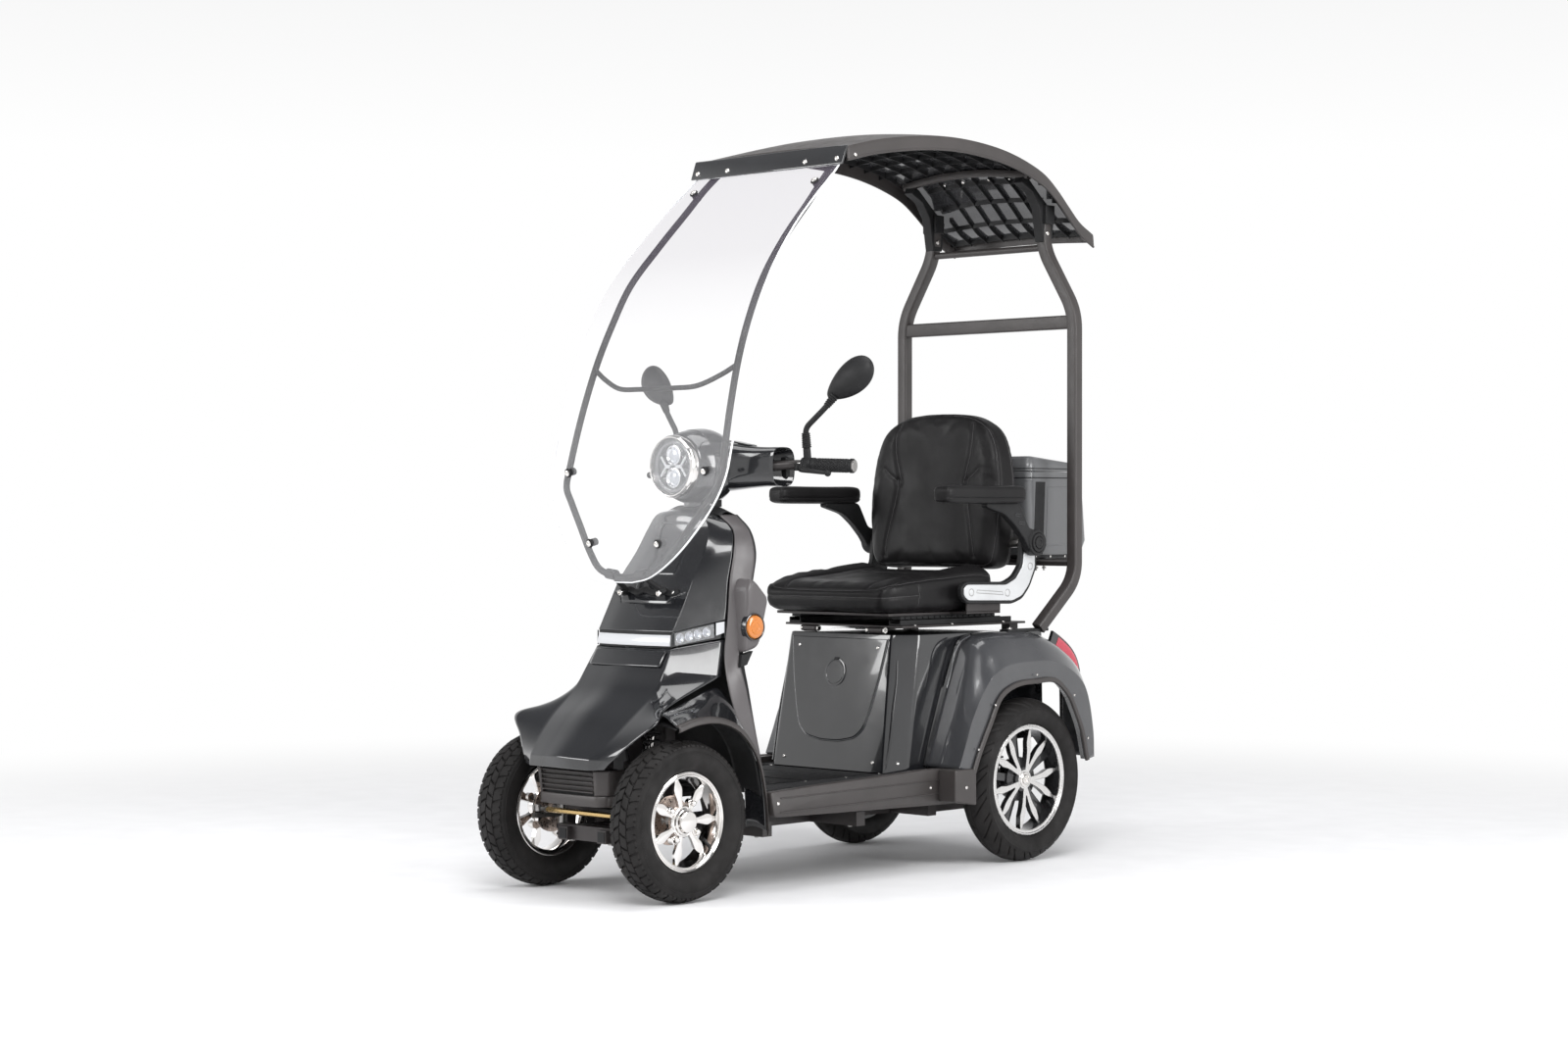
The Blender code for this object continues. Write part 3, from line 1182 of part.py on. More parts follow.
def build_top_box(looks):
    rack = block("rack", (-0.170, 0.600, BOX_BOTTOM - 0.012), (0.170, 0.800, BOX_BOTTOM - SEAM))
    reach = POST_X - POST_SIDE / 2 - SEAM
    arm = block("arm", (-reach, POST_Y - 0.015, BOX_BOTTOM - 0.019),
                (reach, POST_Y + 0.015, BOX_BOTTOM - 0.007))
    rack = fuse(rack, arm)
    slots = [block("slot", (-0.130, y, BOX_BOTTOM - 0.05), (0.130, y + 0.025, BOX_BOTTOM + 0.05))
             for y in (0.612, 0.720, 0.760)]
    finish(cut(rack, *slots), looks["frame"])

    tub = loft("top_box_tub", [box_ring(*section) for section in BOX_SECTIONS])
    low, bulge, mouth = BOX_SECTIONS
    hollow = loft("hollow", [
        box_ring(low[0] + BOX_WALL, *low[1:], wall=BOX_WALL), box_ring(*bulge, wall=BOX_WALL),
        box_ring(mouth[0] + 0.001, *mouth[1:], wall=BOX_WALL)])
    finish(cut(tub, hollow), looks["gloss"])
    hinge = pivot("lid_hinge", (0, BOX_FRONT_Y, BOX_SPLIT))
    low = BOX_SPLIT + SEAM
    lid = lid_shape("top_box_lid", low, 0)
    hollow = lid_shape("hollow", low - 0.001, BOX_WALL)
    finish(cut(lid, hollow), looks["gloss"], hinge)


# Level sections of the box from the floor up: height, half width, front y, rear y
BOX_SECTIONS = (
    (BOX_BOTTOM, 0.195, 0.602, 0.824), (BOX_BOTTOM + 0.046, 0.198, 0.601, BOX_REAR_Y),
    (BOX_SPLIT, 0.205, BOX_FRONT_Y, 0.818),
)


def box_ring(z, half, front, rear, wall=0.0):
    """A level section with cut corners, or the same section one wall inside."""
    half, front, rear = half - wall, front + wall, rear - wall
    side = [(half, front + BOX_CORNER), (half, rear - BOX_CORNER), (half - BOX_CORNER, rear)]
    return [Vector((x, y, z)) for x, y in side + [(-x, y) for x, y in reversed(side)]
            + [(-half + BOX_CORNER, front), (half - BOX_CORNER, front)]]


def lid_shape(name, low, wall):
    """The lid's solid, or its hollow: a low rim under a top that rises towards the seat."""
    _, half, front, rear = BOX_SECTIONS[-1]
    inset = 0.014
    top = box_ring(BOX_SPLIT, half - inset, front + inset * 0.3, rear - inset, wall)
    for point in top:
        rise = 0.040 if point.y < front + 0.048 else 0.022
        point.z = BOX_SPLIT + rise - wall
    return loft(name, (box_ring(low, half, front, rear, wall),
                       box_ring(BOX_SPLIT + 0.016 - wall * 0.5, half, front, rear, wall), top))


def build():
    clear_scene()
    looks = {
        "gloss": material("gloss_black", (0.012, 0.012, 0.014), 0.12),
        "grey": material("gloss_grey", (0.045, 0.046, 0.05), 0.25),
        "trim": material("satin_brown_grey", (0.05, 0.043, 0.042), 0.45),
        "frame": material("frame_paint", (0.035, 0.031, 0.031), 0.4, 0.3),
        "plastic": material("black_plastic", (0.02, 0.02, 0.021), 0.55),
        "rubber": material("tyre_rubber", (0.018, 0.017, 0.017), 0.8),
        "leather": material("black_leatherette", (0.018, 0.017, 0.018), 0.5),
        "chrome": material("chrome", (0.75, 0.74, 0.73), 0.12, 1.0),
        "alloy": material("machined_alloy", (0.6, 0.6, 0.6), 0.25, 1.0),
        "silver": material("silver_paint", (0.62, 0.63, 0.64), 0.35, 0.6),
        "steel": material("bare_steel", (0.35, 0.34, 0.33), 0.4, 1.0),
        "brass": material("passivated_steel", (0.55, 0.40, 0.20), 0.35, 1.0),
        "red": material("red_spring", (0.5, 0.03, 0.02), 0.35),
        "red_lens": material("red_lens", (0.6, 0.02, 0.05), 0.15, 0.0, 0.3),
        "amber": material("amber_lens", (0.85, 0.35, 0.03), 0.2, 0.0, 0.2),
        "lamp": material("lamp_lens", (0.7, 0.7, 0.72), 0.1, 0.0, 0.4),
        "clear": material("clear_acrylic", (0.95, 0.95, 0.97), 0.02, 0.0, 1.0),
    }
    build_wheels(looks)
    build_main_frame(looks)
    build_front_axle(looks)
    build_tie_rod(looks)
    build_rear_axle(looks)
    build_battery(looks)
    build_floor(looks)
    build_fairing(looks)
    build_leg_shield(looks)
    build_light_strip(looks)
    build_bonnet(looks)
    build_grille(looks)
    build_seat_box(looks)
    build_fenders(looks)
    build_seat(looks)
    build_steering(looks)
    build_roll_frame(looks)
    build_roof(looks)
    build_screen(looks)
    build_top_box(looks)


build()
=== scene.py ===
"""Looks of the roofed mobility scooter: finishes, tyres, trim, seat covers and studio.

Metres, +Z up, in the frame's own axes: it drives towards -Y and its left side is +X.
"""
import json
import math
import random

import bmesh
import bpy
from mathutils import Matrix, Vector
from mathutils.bvhtree import BVHTree
from mathutils.kdtree import KDTree

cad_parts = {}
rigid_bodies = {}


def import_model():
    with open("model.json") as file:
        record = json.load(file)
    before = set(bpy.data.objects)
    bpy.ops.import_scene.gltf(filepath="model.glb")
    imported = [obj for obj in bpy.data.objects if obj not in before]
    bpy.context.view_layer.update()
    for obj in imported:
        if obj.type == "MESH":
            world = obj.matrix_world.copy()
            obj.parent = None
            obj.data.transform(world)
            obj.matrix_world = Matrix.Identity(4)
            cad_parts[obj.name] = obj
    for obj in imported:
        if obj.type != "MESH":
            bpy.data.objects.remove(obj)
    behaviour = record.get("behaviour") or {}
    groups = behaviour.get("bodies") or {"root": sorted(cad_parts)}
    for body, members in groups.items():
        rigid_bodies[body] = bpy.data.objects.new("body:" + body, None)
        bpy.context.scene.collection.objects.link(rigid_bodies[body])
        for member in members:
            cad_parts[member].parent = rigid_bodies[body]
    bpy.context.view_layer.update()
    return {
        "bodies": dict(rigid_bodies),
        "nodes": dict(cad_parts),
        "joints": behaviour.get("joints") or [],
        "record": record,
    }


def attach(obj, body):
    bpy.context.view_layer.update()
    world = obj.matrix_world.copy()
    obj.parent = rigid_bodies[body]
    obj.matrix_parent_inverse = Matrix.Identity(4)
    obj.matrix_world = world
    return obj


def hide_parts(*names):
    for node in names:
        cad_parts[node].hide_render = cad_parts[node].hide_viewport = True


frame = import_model()

SIDES = (("left", 1), ("right", -1))
CHASSIS = "chassis"

# Wheels
FRONT_TYRE_RADIUS = 0.183
REAR_TYRE_RADIUS = 0.205
FRONT_HUB = Vector((0.227, -0.678, FRONT_TYRE_RADIUS))
REAR_HUB = Vector((0.281, 0.466, REAR_TYRE_RADIUS))

# Steering
STEER_POINT = Vector((0, -0.405, 0.897))
STEER_RAKE = math.radians(13.6)
BAR_RADIUS = 0.011
GRIP_END = Vector((0.330, -0.209, 0.986))
GRIP_ALONG = Vector((0.945, 0.325, -0.030)).normalized()

random.seed(7)


# Shapes

def spline(points, steps, sharp=()):
    """A smooth line through all its points, broken at the indices in sharp."""
    points = [Vector(p) for p in points]
    last = len(points) - 1
    breaks = {0, last, *sharp}
    line = []
    for i in range(last):
        a, b = points[i], points[i + 1]
        before = points[i - 1] if i not in breaks else a + (a - b)
        after = points[i + 2] if i + 1 not in breaks else b + (b - a)
        for step in range(steps):
            line.append(catmull(before, a, b, after, step / steps))
    line.append(points[-1])
    return line


def catmull(p0, p1, p2, p3, t):
    """A point between p1 and p2 on a centripetal spline."""
    times = [0.0]
    for start, end in ((p0, p1), (p1, p2), (p2, p3)):
        times.append(times[-1] + max((end - start).length, 1e-9) ** 0.5)
    t0, t1, t2, t3 = times
    u = t1 + (t2 - t1) * t
    a1 = p0 * ((t1 - u) / (t1 - t0)) + p1 * ((u - t0) / (t1 - t0))
    a2 = p1 * ((t2 - u) / (t2 - t1)) + p2 * ((u - t1) / (t2 - t1))
    a3 = p2 * ((t3 - u) / (t3 - t2)) + p3 * ((u - t2) / (t3 - t2))
    b1 = a1 * ((t2 - u) / (t2 - t0)) + a2 * ((u - t0) / (t2 - t0))
    b2 = a2 * ((t3 - u) / (t3 - t1)) + a3 * ((u - t1) / (t3 - t1))
    return b1 * ((t2 - u) / (t2 - t1)) + b2 * ((u - t1) / (t2 - t1))


def on_side(point, side):
    """A point of the left side, or its mirror image on the right."""
    return Vector((side * point[0], point[1], point[2]))


def smooth_step(value, low, high):
    """0 up to low and 1 from high on, with a soft rise between them."""
    t = min(max((value - low) / (high - low), 0), 1)
    return t * t * (3 - 2 * t)


def mirrored(points):
    """The points on the other side."""
    return [Vector((-p[0], p[1], p[2])) for p in points]


def both_sides(half):
    """A row from the left edge to the right edge, from its left half, outer point first."""
    half = [Vector(p) for p in half]
    middle = [p for p in half if abs(p.x) < 1e-6]
    outer = [p for p in half if abs(p.x) >= 1e-6]
    return outer + middle + mirrored(reversed(outer))


def surface(rows, across, along, sharp_across=(), sharp_along=()):
    """A dense grid of points that passes through a coarse one."""
    dense = [spline(row, across, sharp_across) for row in rows]
    columns = [spline(column, along, sharp_along) for column in zip(*dense)]
    return [list(row) for row in zip(*columns)]


def grid(rows, bm=None, wrap=False, caps=False):
    """Faces over a grid of points. Wrap joins each row's ends."""
    bm = bm or bmesh.new()
    verts = [[bm.verts.new(point) for point in row] for row in rows]
    for row, following in zip(verts, verts[1:]):
        count = len(row)
        for i in range(count if wrap else count - 1):
            j = (i + 1) % count
            bm.faces.new((row[i], row[j], following[j], following[i]))
    if caps:
        bm.faces.new(verts[0])
        bm.faces.new(verts[-1])
    return bm


def sweep(path, section, bm=None, closed=False, up=None, scales=None, hint=(0.13, 0.21, 0.97)):
    """A section of (u, v) pairs carried along a path without twisting.

    With up, the section stands upright all along. Without it, hint turns the first section only.
    """
    path = [Vector(p) for p in path]
    count = len(path)
    tangents = []
    for i in range(count):
        if closed:
            step = path[(i + 1) % count] - path[i - 1]
        else:
            step = path[min(i + 1, count - 1)] - path[max(i - 1, 0)]
        tangents.append(step.normalized())
    side = tangents[0].cross(Vector(up or hint)).normalized()
    rings = []
    for i, (point, tangent) in enumerate(zip(path, tangents)):
        if up:
            side = tangent.cross(Vector(up)).normalized()
        else:
            side = (side - tangent * side.dot(tangent)).normalized()
        other = side.cross(tangent)
        scale = scales[i] if scales else 1.0
        rings.append([point + (side * u + other * v) * scale for u, v in section])
    if closed:
        rings.append(rings[0])
        made = grid(rings, bm, wrap=True)
        bmesh.ops.remove_doubles(made, verts=made.verts, dist=1e-7)
        return made
    return grid(rings, bm, wrap=True, caps=True)


def circle(radius, sides):
    return [(radius * math.cos(math.tau * i / sides),
             radius * math.sin(math.tau * i / sides)) for i in range(sides)]


def square_tube(half, corner=0.004, steps=3):
    """The section of a square tube with rounded corners."""
    points = []
    for quarter in range(4):
        centre = half - corner
        cx = centre if quarter in (0, 3) else -centre
        cy = centre if quarter in (0, 1) else -centre
        for step in range(steps + 1):
            angle = math.pi / 2 * (quarter + step / steps)
            points.append((cx + corner * math.cos(angle), cy + corner * math.sin(angle)))
    return points


def tube(path, radius, bm=None, sides=16, closed=False):
    return sweep(path, circle(radius, sides), bm, closed=closed)


def lathe(profile, centre, axis="X", steps=64, bm=None):
    """A profile of (along, radius) pairs turned round an axis."""
    centre = Vector(centre)
    rings = []
    for i in range(steps):
        angle = math.tau * i / steps
        c, s = math.cos(angle), math.sin(angle)
        ring = []
        for along, radius in profile:
            if axis == "X":
                offset = Vector((along, radius * s, radius * c))
            elif axis == "Y":
                offset = Vector((radius * s, along, radius * c))
            else:
                offset = Vector((radius * c, radius * s, along))
            ring.append(centre + offset)
        rings.append(ring)
    rings.append(rings[0])
    made = grid(rings, bm)
    bmesh.ops.remove_doubles(made, verts=made.verts, dist=1e-6)
    return made


def turned(side, profile, centre, steps, bm=None):
    """A profile of (out, radius) pairs turned round an axle, mirrored on the right side."""
    return lathe([(side * out, radius) for out, radius in profile], centre, steps=steps, bm=bm)


def rod(start, end, radius, end_radius=None, sides=24, bm=None):
    """A round bar or a cone between two points."""
    start, end = Vector(start), Vector(end)
    along = end - start
    matrix = Matrix.Translation((start + end) / 2) @ along.to_track_quat("Z", "Y").to_matrix().to_4x4()
    bm = bm or bmesh.new()
    bmesh.ops.create_cone(bm, cap_ends=True, segments=sides, radius1=radius,
                          radius2=radius if end_radius is None else end_radius, depth=along.length,
                          matrix=matrix)
    return bm


def block(low, high, bm=None):
    low, high = Vector(low), Vector(high)
    bm = bm or bmesh.new()
    bmesh.ops.create_cube(bm, size=1,
                          matrix=Matrix.Translation((low + high) / 2) @ Matrix.Diagonal((*(high - low), 1)))
    return bm


def prism(outline, axis, low, high, bm=None):
    """A flat outline stretched along an axis. Pairs are the other two coordinates, in order."""
    index = "XYZ".index(axis)
    bm = bm or bmesh.new()
    ends = []
    for along in (low, high):
        ring = []
        for pair in outline:
            point = list(pair)
            point.insert(index, along)
            ring.append(bm.verts.new(point))
        ends.append(ring)
    near, far = ends
    bm.faces.new(near)
    bm.faces.new(far)
    for i in range(len(near)):
        j = (i + 1) % len(near)
        bm.faces.new((near[i], near[j], far[j], far[i]))
    return bm


def ball(centre, radii, bm=None, detail=16):
    bm = bm or bmesh.new()
    matrix = Matrix.Translation(centre) @ Matrix.Diagonal((*radii, 1))
    bmesh.ops.create_uvsphere(bm, u_segments=detail * 2, v_segments=detail, radius=1, matrix=matrix)
    return bm


def corner_arc(before, corner, after, radius, steps):
    """A curve that cuts off a corner. It takes less than half of either side."""
    into, out = (before - corner).normalized(), (after - corner).normalized()
    reach = min(radius, 0.45 * (before - corner).length, 0.45 * (after - corner).length)
    shares = [step / steps for step in range(steps + 1)]
    return [corner + into * reach * (1 - t) ** 2 + out * reach * t ** 2 for t in shares]


def rounded(points, radius, steps=6):
    """A flat or spatial path with its corners replaced by arcs."""
    points = [Vector(p) for p in points]
    path = [points[0]]
    for before, corner, after in zip(points, points[1:], points[2:]):
        path += corner_arc(before, corner, after, radius, steps)
    path.append(points[-1])
    return path


def rounded_loop(points, radius, steps=5):
    """A closed outline with its corners rounded."""
    points = [Vector(p) for p in points]
    loop = []
    for i, corner in enumerate(points):
        loop += corner_arc(points[i - 1], corner, points[(i + 1) % len(points)], radius, steps)
    return loop


def moved(bm, matrix):
    """The same mesh, placed. The matrix may mirror it."""
    bmesh.ops.transform(bm, matrix=matrix, verts=bm.verts)
    return bm


def mirror_matrix(side):
    return Matrix.Diagonal((side, 1, 1, 1))


def absorb(target, source, matrix=None):
    """Add one mesh to another."""
    mesh = bpy.data.meshes.new("passing")
    source.to_mesh(mesh)
    source.free()
    if matrix:
        mesh.transform(matrix)
    target.from_mesh(mesh)
    bpy.data.meshes.remove(mesh)
    return target


# Pieces

def piece(name, bm, look, body=CHASSIS, smooth=35, stands_for=(), away=None):
    """An object of the scene that rides on a body of the frame. An open one faces away from a point."""
    bmesh.ops.recalc_face_normals(bm, faces=bm.faces)
    if away:
        outlook = sum(face.normal.dot(face.calc_center_median() - Vector(away)) * face.calc_area()
                      for face in bm.faces)
        if outlook < 0:
            bmesh.ops.reverse_faces(bm, faces=bm.faces)
    mesh = bpy.data.meshes.new(name)
    bm.to_mesh(mesh)
    bm.free()
    mesh.materials.append(LOOKS[look])
    mesh.shade_smooth()
    mesh.set_sharp_from_angle(angle=math.radians(smooth))
    made = bpy.data.objects.new(name, mesh)
    bpy.context.scene.collection.objects.link(made)
    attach(made, body)
    if stands_for:
        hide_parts(*stands_for)
    return made


def thicken(made, thickness, offset=-1.0):
    """Give an open surface its wall."""
    shell = made.modifiers.new("wall", "SOLIDIFY")
    shell.thickness = thickness
    shell.offset = offset
    return made


def soften(made, width, segments=3, angle=30):
    """Round the edges that are sharper than an angle."""
    bevel = made.modifiers.new("round", "BEVEL")
    bevel.width = width
    bevel.segments = segments
    bevel.limit_method = "ANGLE"
    bevel.angle_limit = math.radians(angle)
    bevel.harden_normals = False
    return made


def screw(bm, centre, normal, radius=0.004, height=0.0022, socket=True):
    """A pan head screw with a hexagon socket."""
    normal = Vector(normal).normalized()
    centre = Vector(centre)
    turn = normal.to_track_quat("Z", "Y").to_matrix().to_4x4()
    profile = [(-0.001, radius), (height * 0.5, radius), (height * 0.9, radius * 0.8),
               (height, radius * 0.55)]
    if socket:
        profile += [(height * 0.35, radius * 0.5), (height * 0.35, 0)]
    else:
        profile += [(height * 1.1, 0)]
    head = lathe(profile, (0, 0, 0), axis="Z", steps=12)
    return absorb(bm, head, Matrix.Translation(centre) @ turn)


# Materials

SOCKETS = {
    "specular": "Specular IOR Level", "ior": "IOR", "alpha": "Alpha", "transmission": "Transmission Weight",
    "glow": "Emission Color", "glow_strength": "Emission Strength",
}


def principled(name, colour, roughness, metallic=0.0, coat=0.0, **more):
    """A Principled material. Further sockets are named in plain words."""
    made = bpy.data.materials.new(name)
    made.use_nodes = True
    shader = made.node_tree.nodes["Principled BSDF"]
    shader.inputs["Base Color"].default_value = (*colour, 1)
    shader.inputs["Roughness"].default_value = roughness
    shader.inputs["Metallic"].default_value = metallic
    shader.inputs["Coat Weight"].default_value = coat
    shader.inputs["Coat Roughness"].default_value = 0.03
    for socket, value in more.items():
        shader.inputs[SOCKETS[socket]].default_value = value
    return made


def node_of(material, kind, **values):
    """A new node with some of its inputs set."""
    node = material.node_tree.nodes.new(kind)
    for name, value in values.items():
        node.inputs[name.replace("_", " ").title()].default_value = value
    return node


def object_coordinates(material, scale=(1, 1, 1)):
    """The object's own coordinates, stretched."""
    tree = material.node_tree
    source = tree.nodes.new("ShaderNodeTexCoord")
    mapping = tree.nodes.new("ShaderNodeMapping")
    mapping.inputs["Scale"].default_value = scale
    tree.links.new(source.outputs["Object"], mapping.inputs["Vector"])
    return mapping.outputs["Vector"]


def noise(material, scale, detail=3.0, stretch=(1, 1, 1)):
    node = node_of(material, "ShaderNodeTexNoise", scale=scale, detail=detail)
    material.node_tree.links.new(object_coordinates(material, stretch), node.inputs["Vector"])
    return node.outputs["Fac"]


def ramp(material, value, stops):
    """A colour ramp of (position, colour) stops."""
    node = material.node_tree.nodes.new("ShaderNodeValToRGB")
    elements = node.color_ramp.elements
    while len(elements) < len(stops):
        elements.new(0.5)
    for element, (position, colour) in zip(elements, stops):
        element.position = position
        element.color = (*colour, 1) if len(colour) == 3 else colour
    material.node_tree.links.new(value, node.inputs["Fac"])
    return node.outputs["Color"]


def spread(material, value, low, high):
    """A value from 0 to 1 mapped between two numbers."""
    node = material.node_tree.nodes.new("ShaderNodeMapRange")
    node.inputs["From Min"].default_value = 0.3
    node.inputs["From Max"].default_value = 0.7
    node.inputs["To Min"].default_value = low
    node.inputs["To Max"].default_value = high
    material.node_tree.links.new(value, node.inputs["Value"])
    return node.outputs["Result"]


def into(material, output, socket):
    """Feed an input of the material's shader."""
    shader = material.node_tree.nodes["Principled BSDF"]
    material.node_tree.links.new(output, shader.inputs[socket])


def bump(material, heights, strength=0.3, distance=0.001):
    """Bump from one height, or from several added together."""
    tree = material.node_tree
    total = heights[0]
    for height in heights[1:]:
        add = tree.nodes.new("ShaderNodeMath")
        add.operation = "ADD"
        tree.links.new(total, add.inputs[0])
        tree.links.new(height, add.inputs[1])
        total = add.outputs[0]
    node = tree.nodes.new("ShaderNodeBump")
    node.inputs["Strength"].default_value = strength
    node.inputs["Distance"].default_value = distance
    tree.links.new(total, node.inputs["Height"])
    into(material, node.outputs["Normal"], "Normal")


def speckled(name, dark, light, roughness, grain, strength, **more):
    """A moulded or painted finish: colour and roughness vary a little, over a fine grain."""
    made = principled(name, light, sum(roughness) / 2, **more)
    tone = noise(made, 9.0, 4.0)
    into(made, ramp(made, tone, ((0.3, dark), (0.7, light))), "Base Color")
    into(made, spread(made, noise(made, 35.0, 3.0), *roughness), "Roughness")
    bump(made, [noise(made, grain, 2.0)], strength, 0.0004)
    return made


def leather(name):
    """Leatherette: fine cells under a soft sheen."""
    made = principled(name, (0.008, 0.0075, 0.008), 0.40, specular=0.20)
    tree = made.node_tree
    cells = tree.nodes.new("ShaderNodeTexVoronoi")
    cells.feature = "DISTANCE_TO_EDGE"
    cells.inputs["Scale"].default_value = 420.0
    tree.links.new(object_coordinates(made), cells.inputs["Vector"])
    into(made, ramp(made, noise(made, 7.0), ((0.3, (0.006, 0.0055, 0.006)), (0.7, (0.011, 0.0105, 0.011)))),
         "Base Color")
    into(made, spread(made, noise(made, 18.0), 0.36, 0.50), "Roughness")
    bump(made, [cells.outputs["Distance"], noise(made, 60.0)], 0.25, 0.0006)
    return made


def rubber(name):
    """Tyre rubber, unevenly worn."""
    colour = (0.012, 0.011, 0.0108)
    made = principled(name, colour, 0.62, specular=0.22)
    dark = tuple(c * 0.7 for c in colour)
    light = tuple(c * 1.45 for c in colour)
    into(made, ramp(made, noise(made, 14.0, 6.0), ((0.3, dark), (0.72, light))), "Base Color")
    into(made, spread(made, noise(made, 40.0), 0.52, 0.75), "Roughness")
    bump(made, [noise(made, 260.0), noise(made, 900.0)], 0.25, 0.0005)
    return made


def brushed(name, colour, roughness, stretch):
    """Machined or brushed metal with fine tool marks along one direction."""
    made = principled(name, colour, roughness, 1.0)
    marks = noise(made, 30.0, 2.0, stretch)
    into(made, spread(made, marks, roughness * 0.75, roughness * 1.35), "Roughness")
    bump(made, [marks], 0.12, 0.0002)
    return made


def acrylic(name):
    """The clear screen: a whitish cast over its lower half, which is a painted reflection of the bright
    surroundings, and its own lilac-grey colour over its upper half.
    """
    made = principled(name, (0.93, 0.93, 0.95), 0.05, alpha=0.2, specular=0.25)
    tree = made.node_tree
    split = tree.nodes.new("ShaderNodeSeparateXYZ")
    tree.links.new(object_coordinates(made), split.inputs["Vector"])
    height = tree.nodes.new("ShaderNodeMapRange")
    height.inputs["From Min"].default_value = 0.75
    height.inputs["From Max"].default_value = 1.70
    tree.links.new(split.outputs["Z"], height.inputs["Value"])
    # Painted reflection: white and faintly opaque low down, where the bright surroundings would be reflected;
    # lilac-grey higher up, the screen's own colour
    reflection_and_tint_alpha = ramp(made, height.outputs["Result"],
                ((0.0, (0.085,) * 3), (0.30, (0.075,) * 3), (0.50, (0.05,) * 3), (0.75, (0.10,) * 3),
                 (1.0, (0.13,) * 3)))
    into(made, reflection_and_tint_alpha, "Alpha")
    reflection_and_tint_colour = ramp(made, height.outputs["Result"], ((0.45, (0.93, 0.93, 0.95)), (0.78, (0.24, 0.21, 0.27))))
    into(made, reflection_and_tint_colour, "Base Color")
    return made


LOOKS = {
    "gloss_black": speckled("gloss_black", (0.010, 0.0105, 0.012), (0.014, 0.0145, 0.0165), (0.10, 0.16),
                            160.0, 0.02, coat=1.0),
    "gloss_grey": speckled("gloss_grey", (0.040, 0.041, 0.045), (0.055, 0.056, 0.060), (0.16, 0.24), 160.0,
                           0.02, coat=0.8),
    "satin_brown_grey": speckled("satin_brown_grey", (0.034, 0.030, 0.029), (0.048, 0.042, 0.041),
                                 (0.36, 0.48), 700.0, 0.15),
    "frame_paint": speckled("frame_paint", (0.030, 0.026, 0.026), (0.042, 0.037, 0.037), (0.30, 0.42), 500.0,
                            0.10, metallic=0.25),
    "black_plastic": speckled("black_plastic", (0.009, 0.009, 0.0095), (0.014, 0.014, 0.015), (0.42, 0.58),
                              900.0, 0.20, specular=0.28),
    "tyre": rubber("tyre"),
    "leatherette": leather("leatherette"),
    "thread": principled("thread", (0.05, 0.048, 0.05), 0.6),
    "chrome": brushed("chrome", (0.80, 0.78, 0.76), 0.09, (1, 1, 1)),
    "alloy": speckled("alloy", (0.012, 0.012, 0.013), (0.020, 0.020, 0.021), (0.20, 0.30), 300.0,
                      0.05, coat=0.6),
    "machined": brushed("machined", (0.72, 0.71, 0.70), 0.24, (1, 8, 8)),
    "silver": speckled("silver", (0.56, 0.57, 0.58), (0.66, 0.67, 0.68), (0.28, 0.36), 500.0, 0.05,
                       metallic=0.35),
    "steel": brushed("steel", (0.36, 0.35, 0.34), 0.34, (3, 3, 12)),
    "disc": brushed("disc", (0.40, 0.33, 0.29), 0.30, (1, 6, 6)),
    "passivated": brushed("passivated", (0.62, 0.44, 0.20), 0.28, (2, 10, 10)),
    "spring_red": speckled("spring_red", (0.42, 0.022, 0.014), (0.55, 0.035, 0.022), (0.2, 0.3), 300.0, 0.03,
                           coat=0.5),
    "red_lens": principled("red_lens", (0.62, 0.02, 0.06), 0.12, coat=1.0, transmission=0.25),
    "amber_lens": principled("amber_lens", (0.66, 0.20, 0.015), 0.16, coat=1.0, transmission=0.15),
    "lamp_lens": principled("lamp_lens", (0.92, 0.93, 0.95), 0.03, coat=1.0, transmission=0.9, ior=1.3),
    "reflector": principled("reflector", (0.82, 0.83, 0.85), 0.12, 1.0),
    "bulb": principled("bulb", (0.42, 0.44, 0.48), 0.08, 0.4, coat=1.0, glow=(0.9, 0.95, 1.0, 1),
                       glow_strength=0.06),
    "mirror_glass": principled("mirror_glass", (0.85, 0.86, 0.88), 0.02, 1.0),
    "white_lens": principled("white_lens", (0.58, 0.59, 0.61), 0.10, coat=1.0, glow=(0.9, 0.92, 1.0, 1),
                             glow_strength=0.02),
    "clear_cover": principled("clear_cover", (0.9, 0.92, 0.94), 0.03, coat=1.0, alpha=0.07),
    "box_grey": speckled("box_grey", (0.108, 0.110, 0.114), (0.116, 0.118, 0.122), (0.28, 0.33), 160.0, 0.02,
                         coat=0.3),
    "gloss_liner": speckled("gloss_liner", (0.034, 0.034, 0.036), (0.046, 0.046, 0.049), (0.12, 0.20), 200.0,
                            0.02, coat=1.0),
    "shield_grey": speckled("shield_grey", (0.085, 0.078, 0.080), (0.110, 0.102, 0.104), (0.30, 0.40), 500.0,
                            0.08),
    "acrylic": acrylic("acrylic"),
    "acrylic_edge": principled("acrylic_edge", (0.92, 0.93, 0.95), 0.15, coat=0.5),
}


# Wheels

def around(hub, side, along, radius, angle):
    """A point of a wheel, from its place along the axle, its radius and its angle."""
    return hub + Vector((side * along, radius * math.sin(angle), radius * math.cos(angle)))


def blade(bm, hub, side, stations, front, back, ridge=0.0):
    """A spoke through stations of (radius, angle, half width)."""
    rings = []
    for radius, angle, half in stations:
        spread = half / radius
        rings.append([
            around(hub, side, front, radius, angle - spread),
            around(hub, side, front + ridge, radius, angle),
            around(hub, side, front, radius, angle + spread),
            around(hub, side, back, radius, angle + spread * 0.8),
            around(hub, side, back, radius, angle - spread * 0.8)])
    return grid(rings, bm, wrap=True, caps=True)


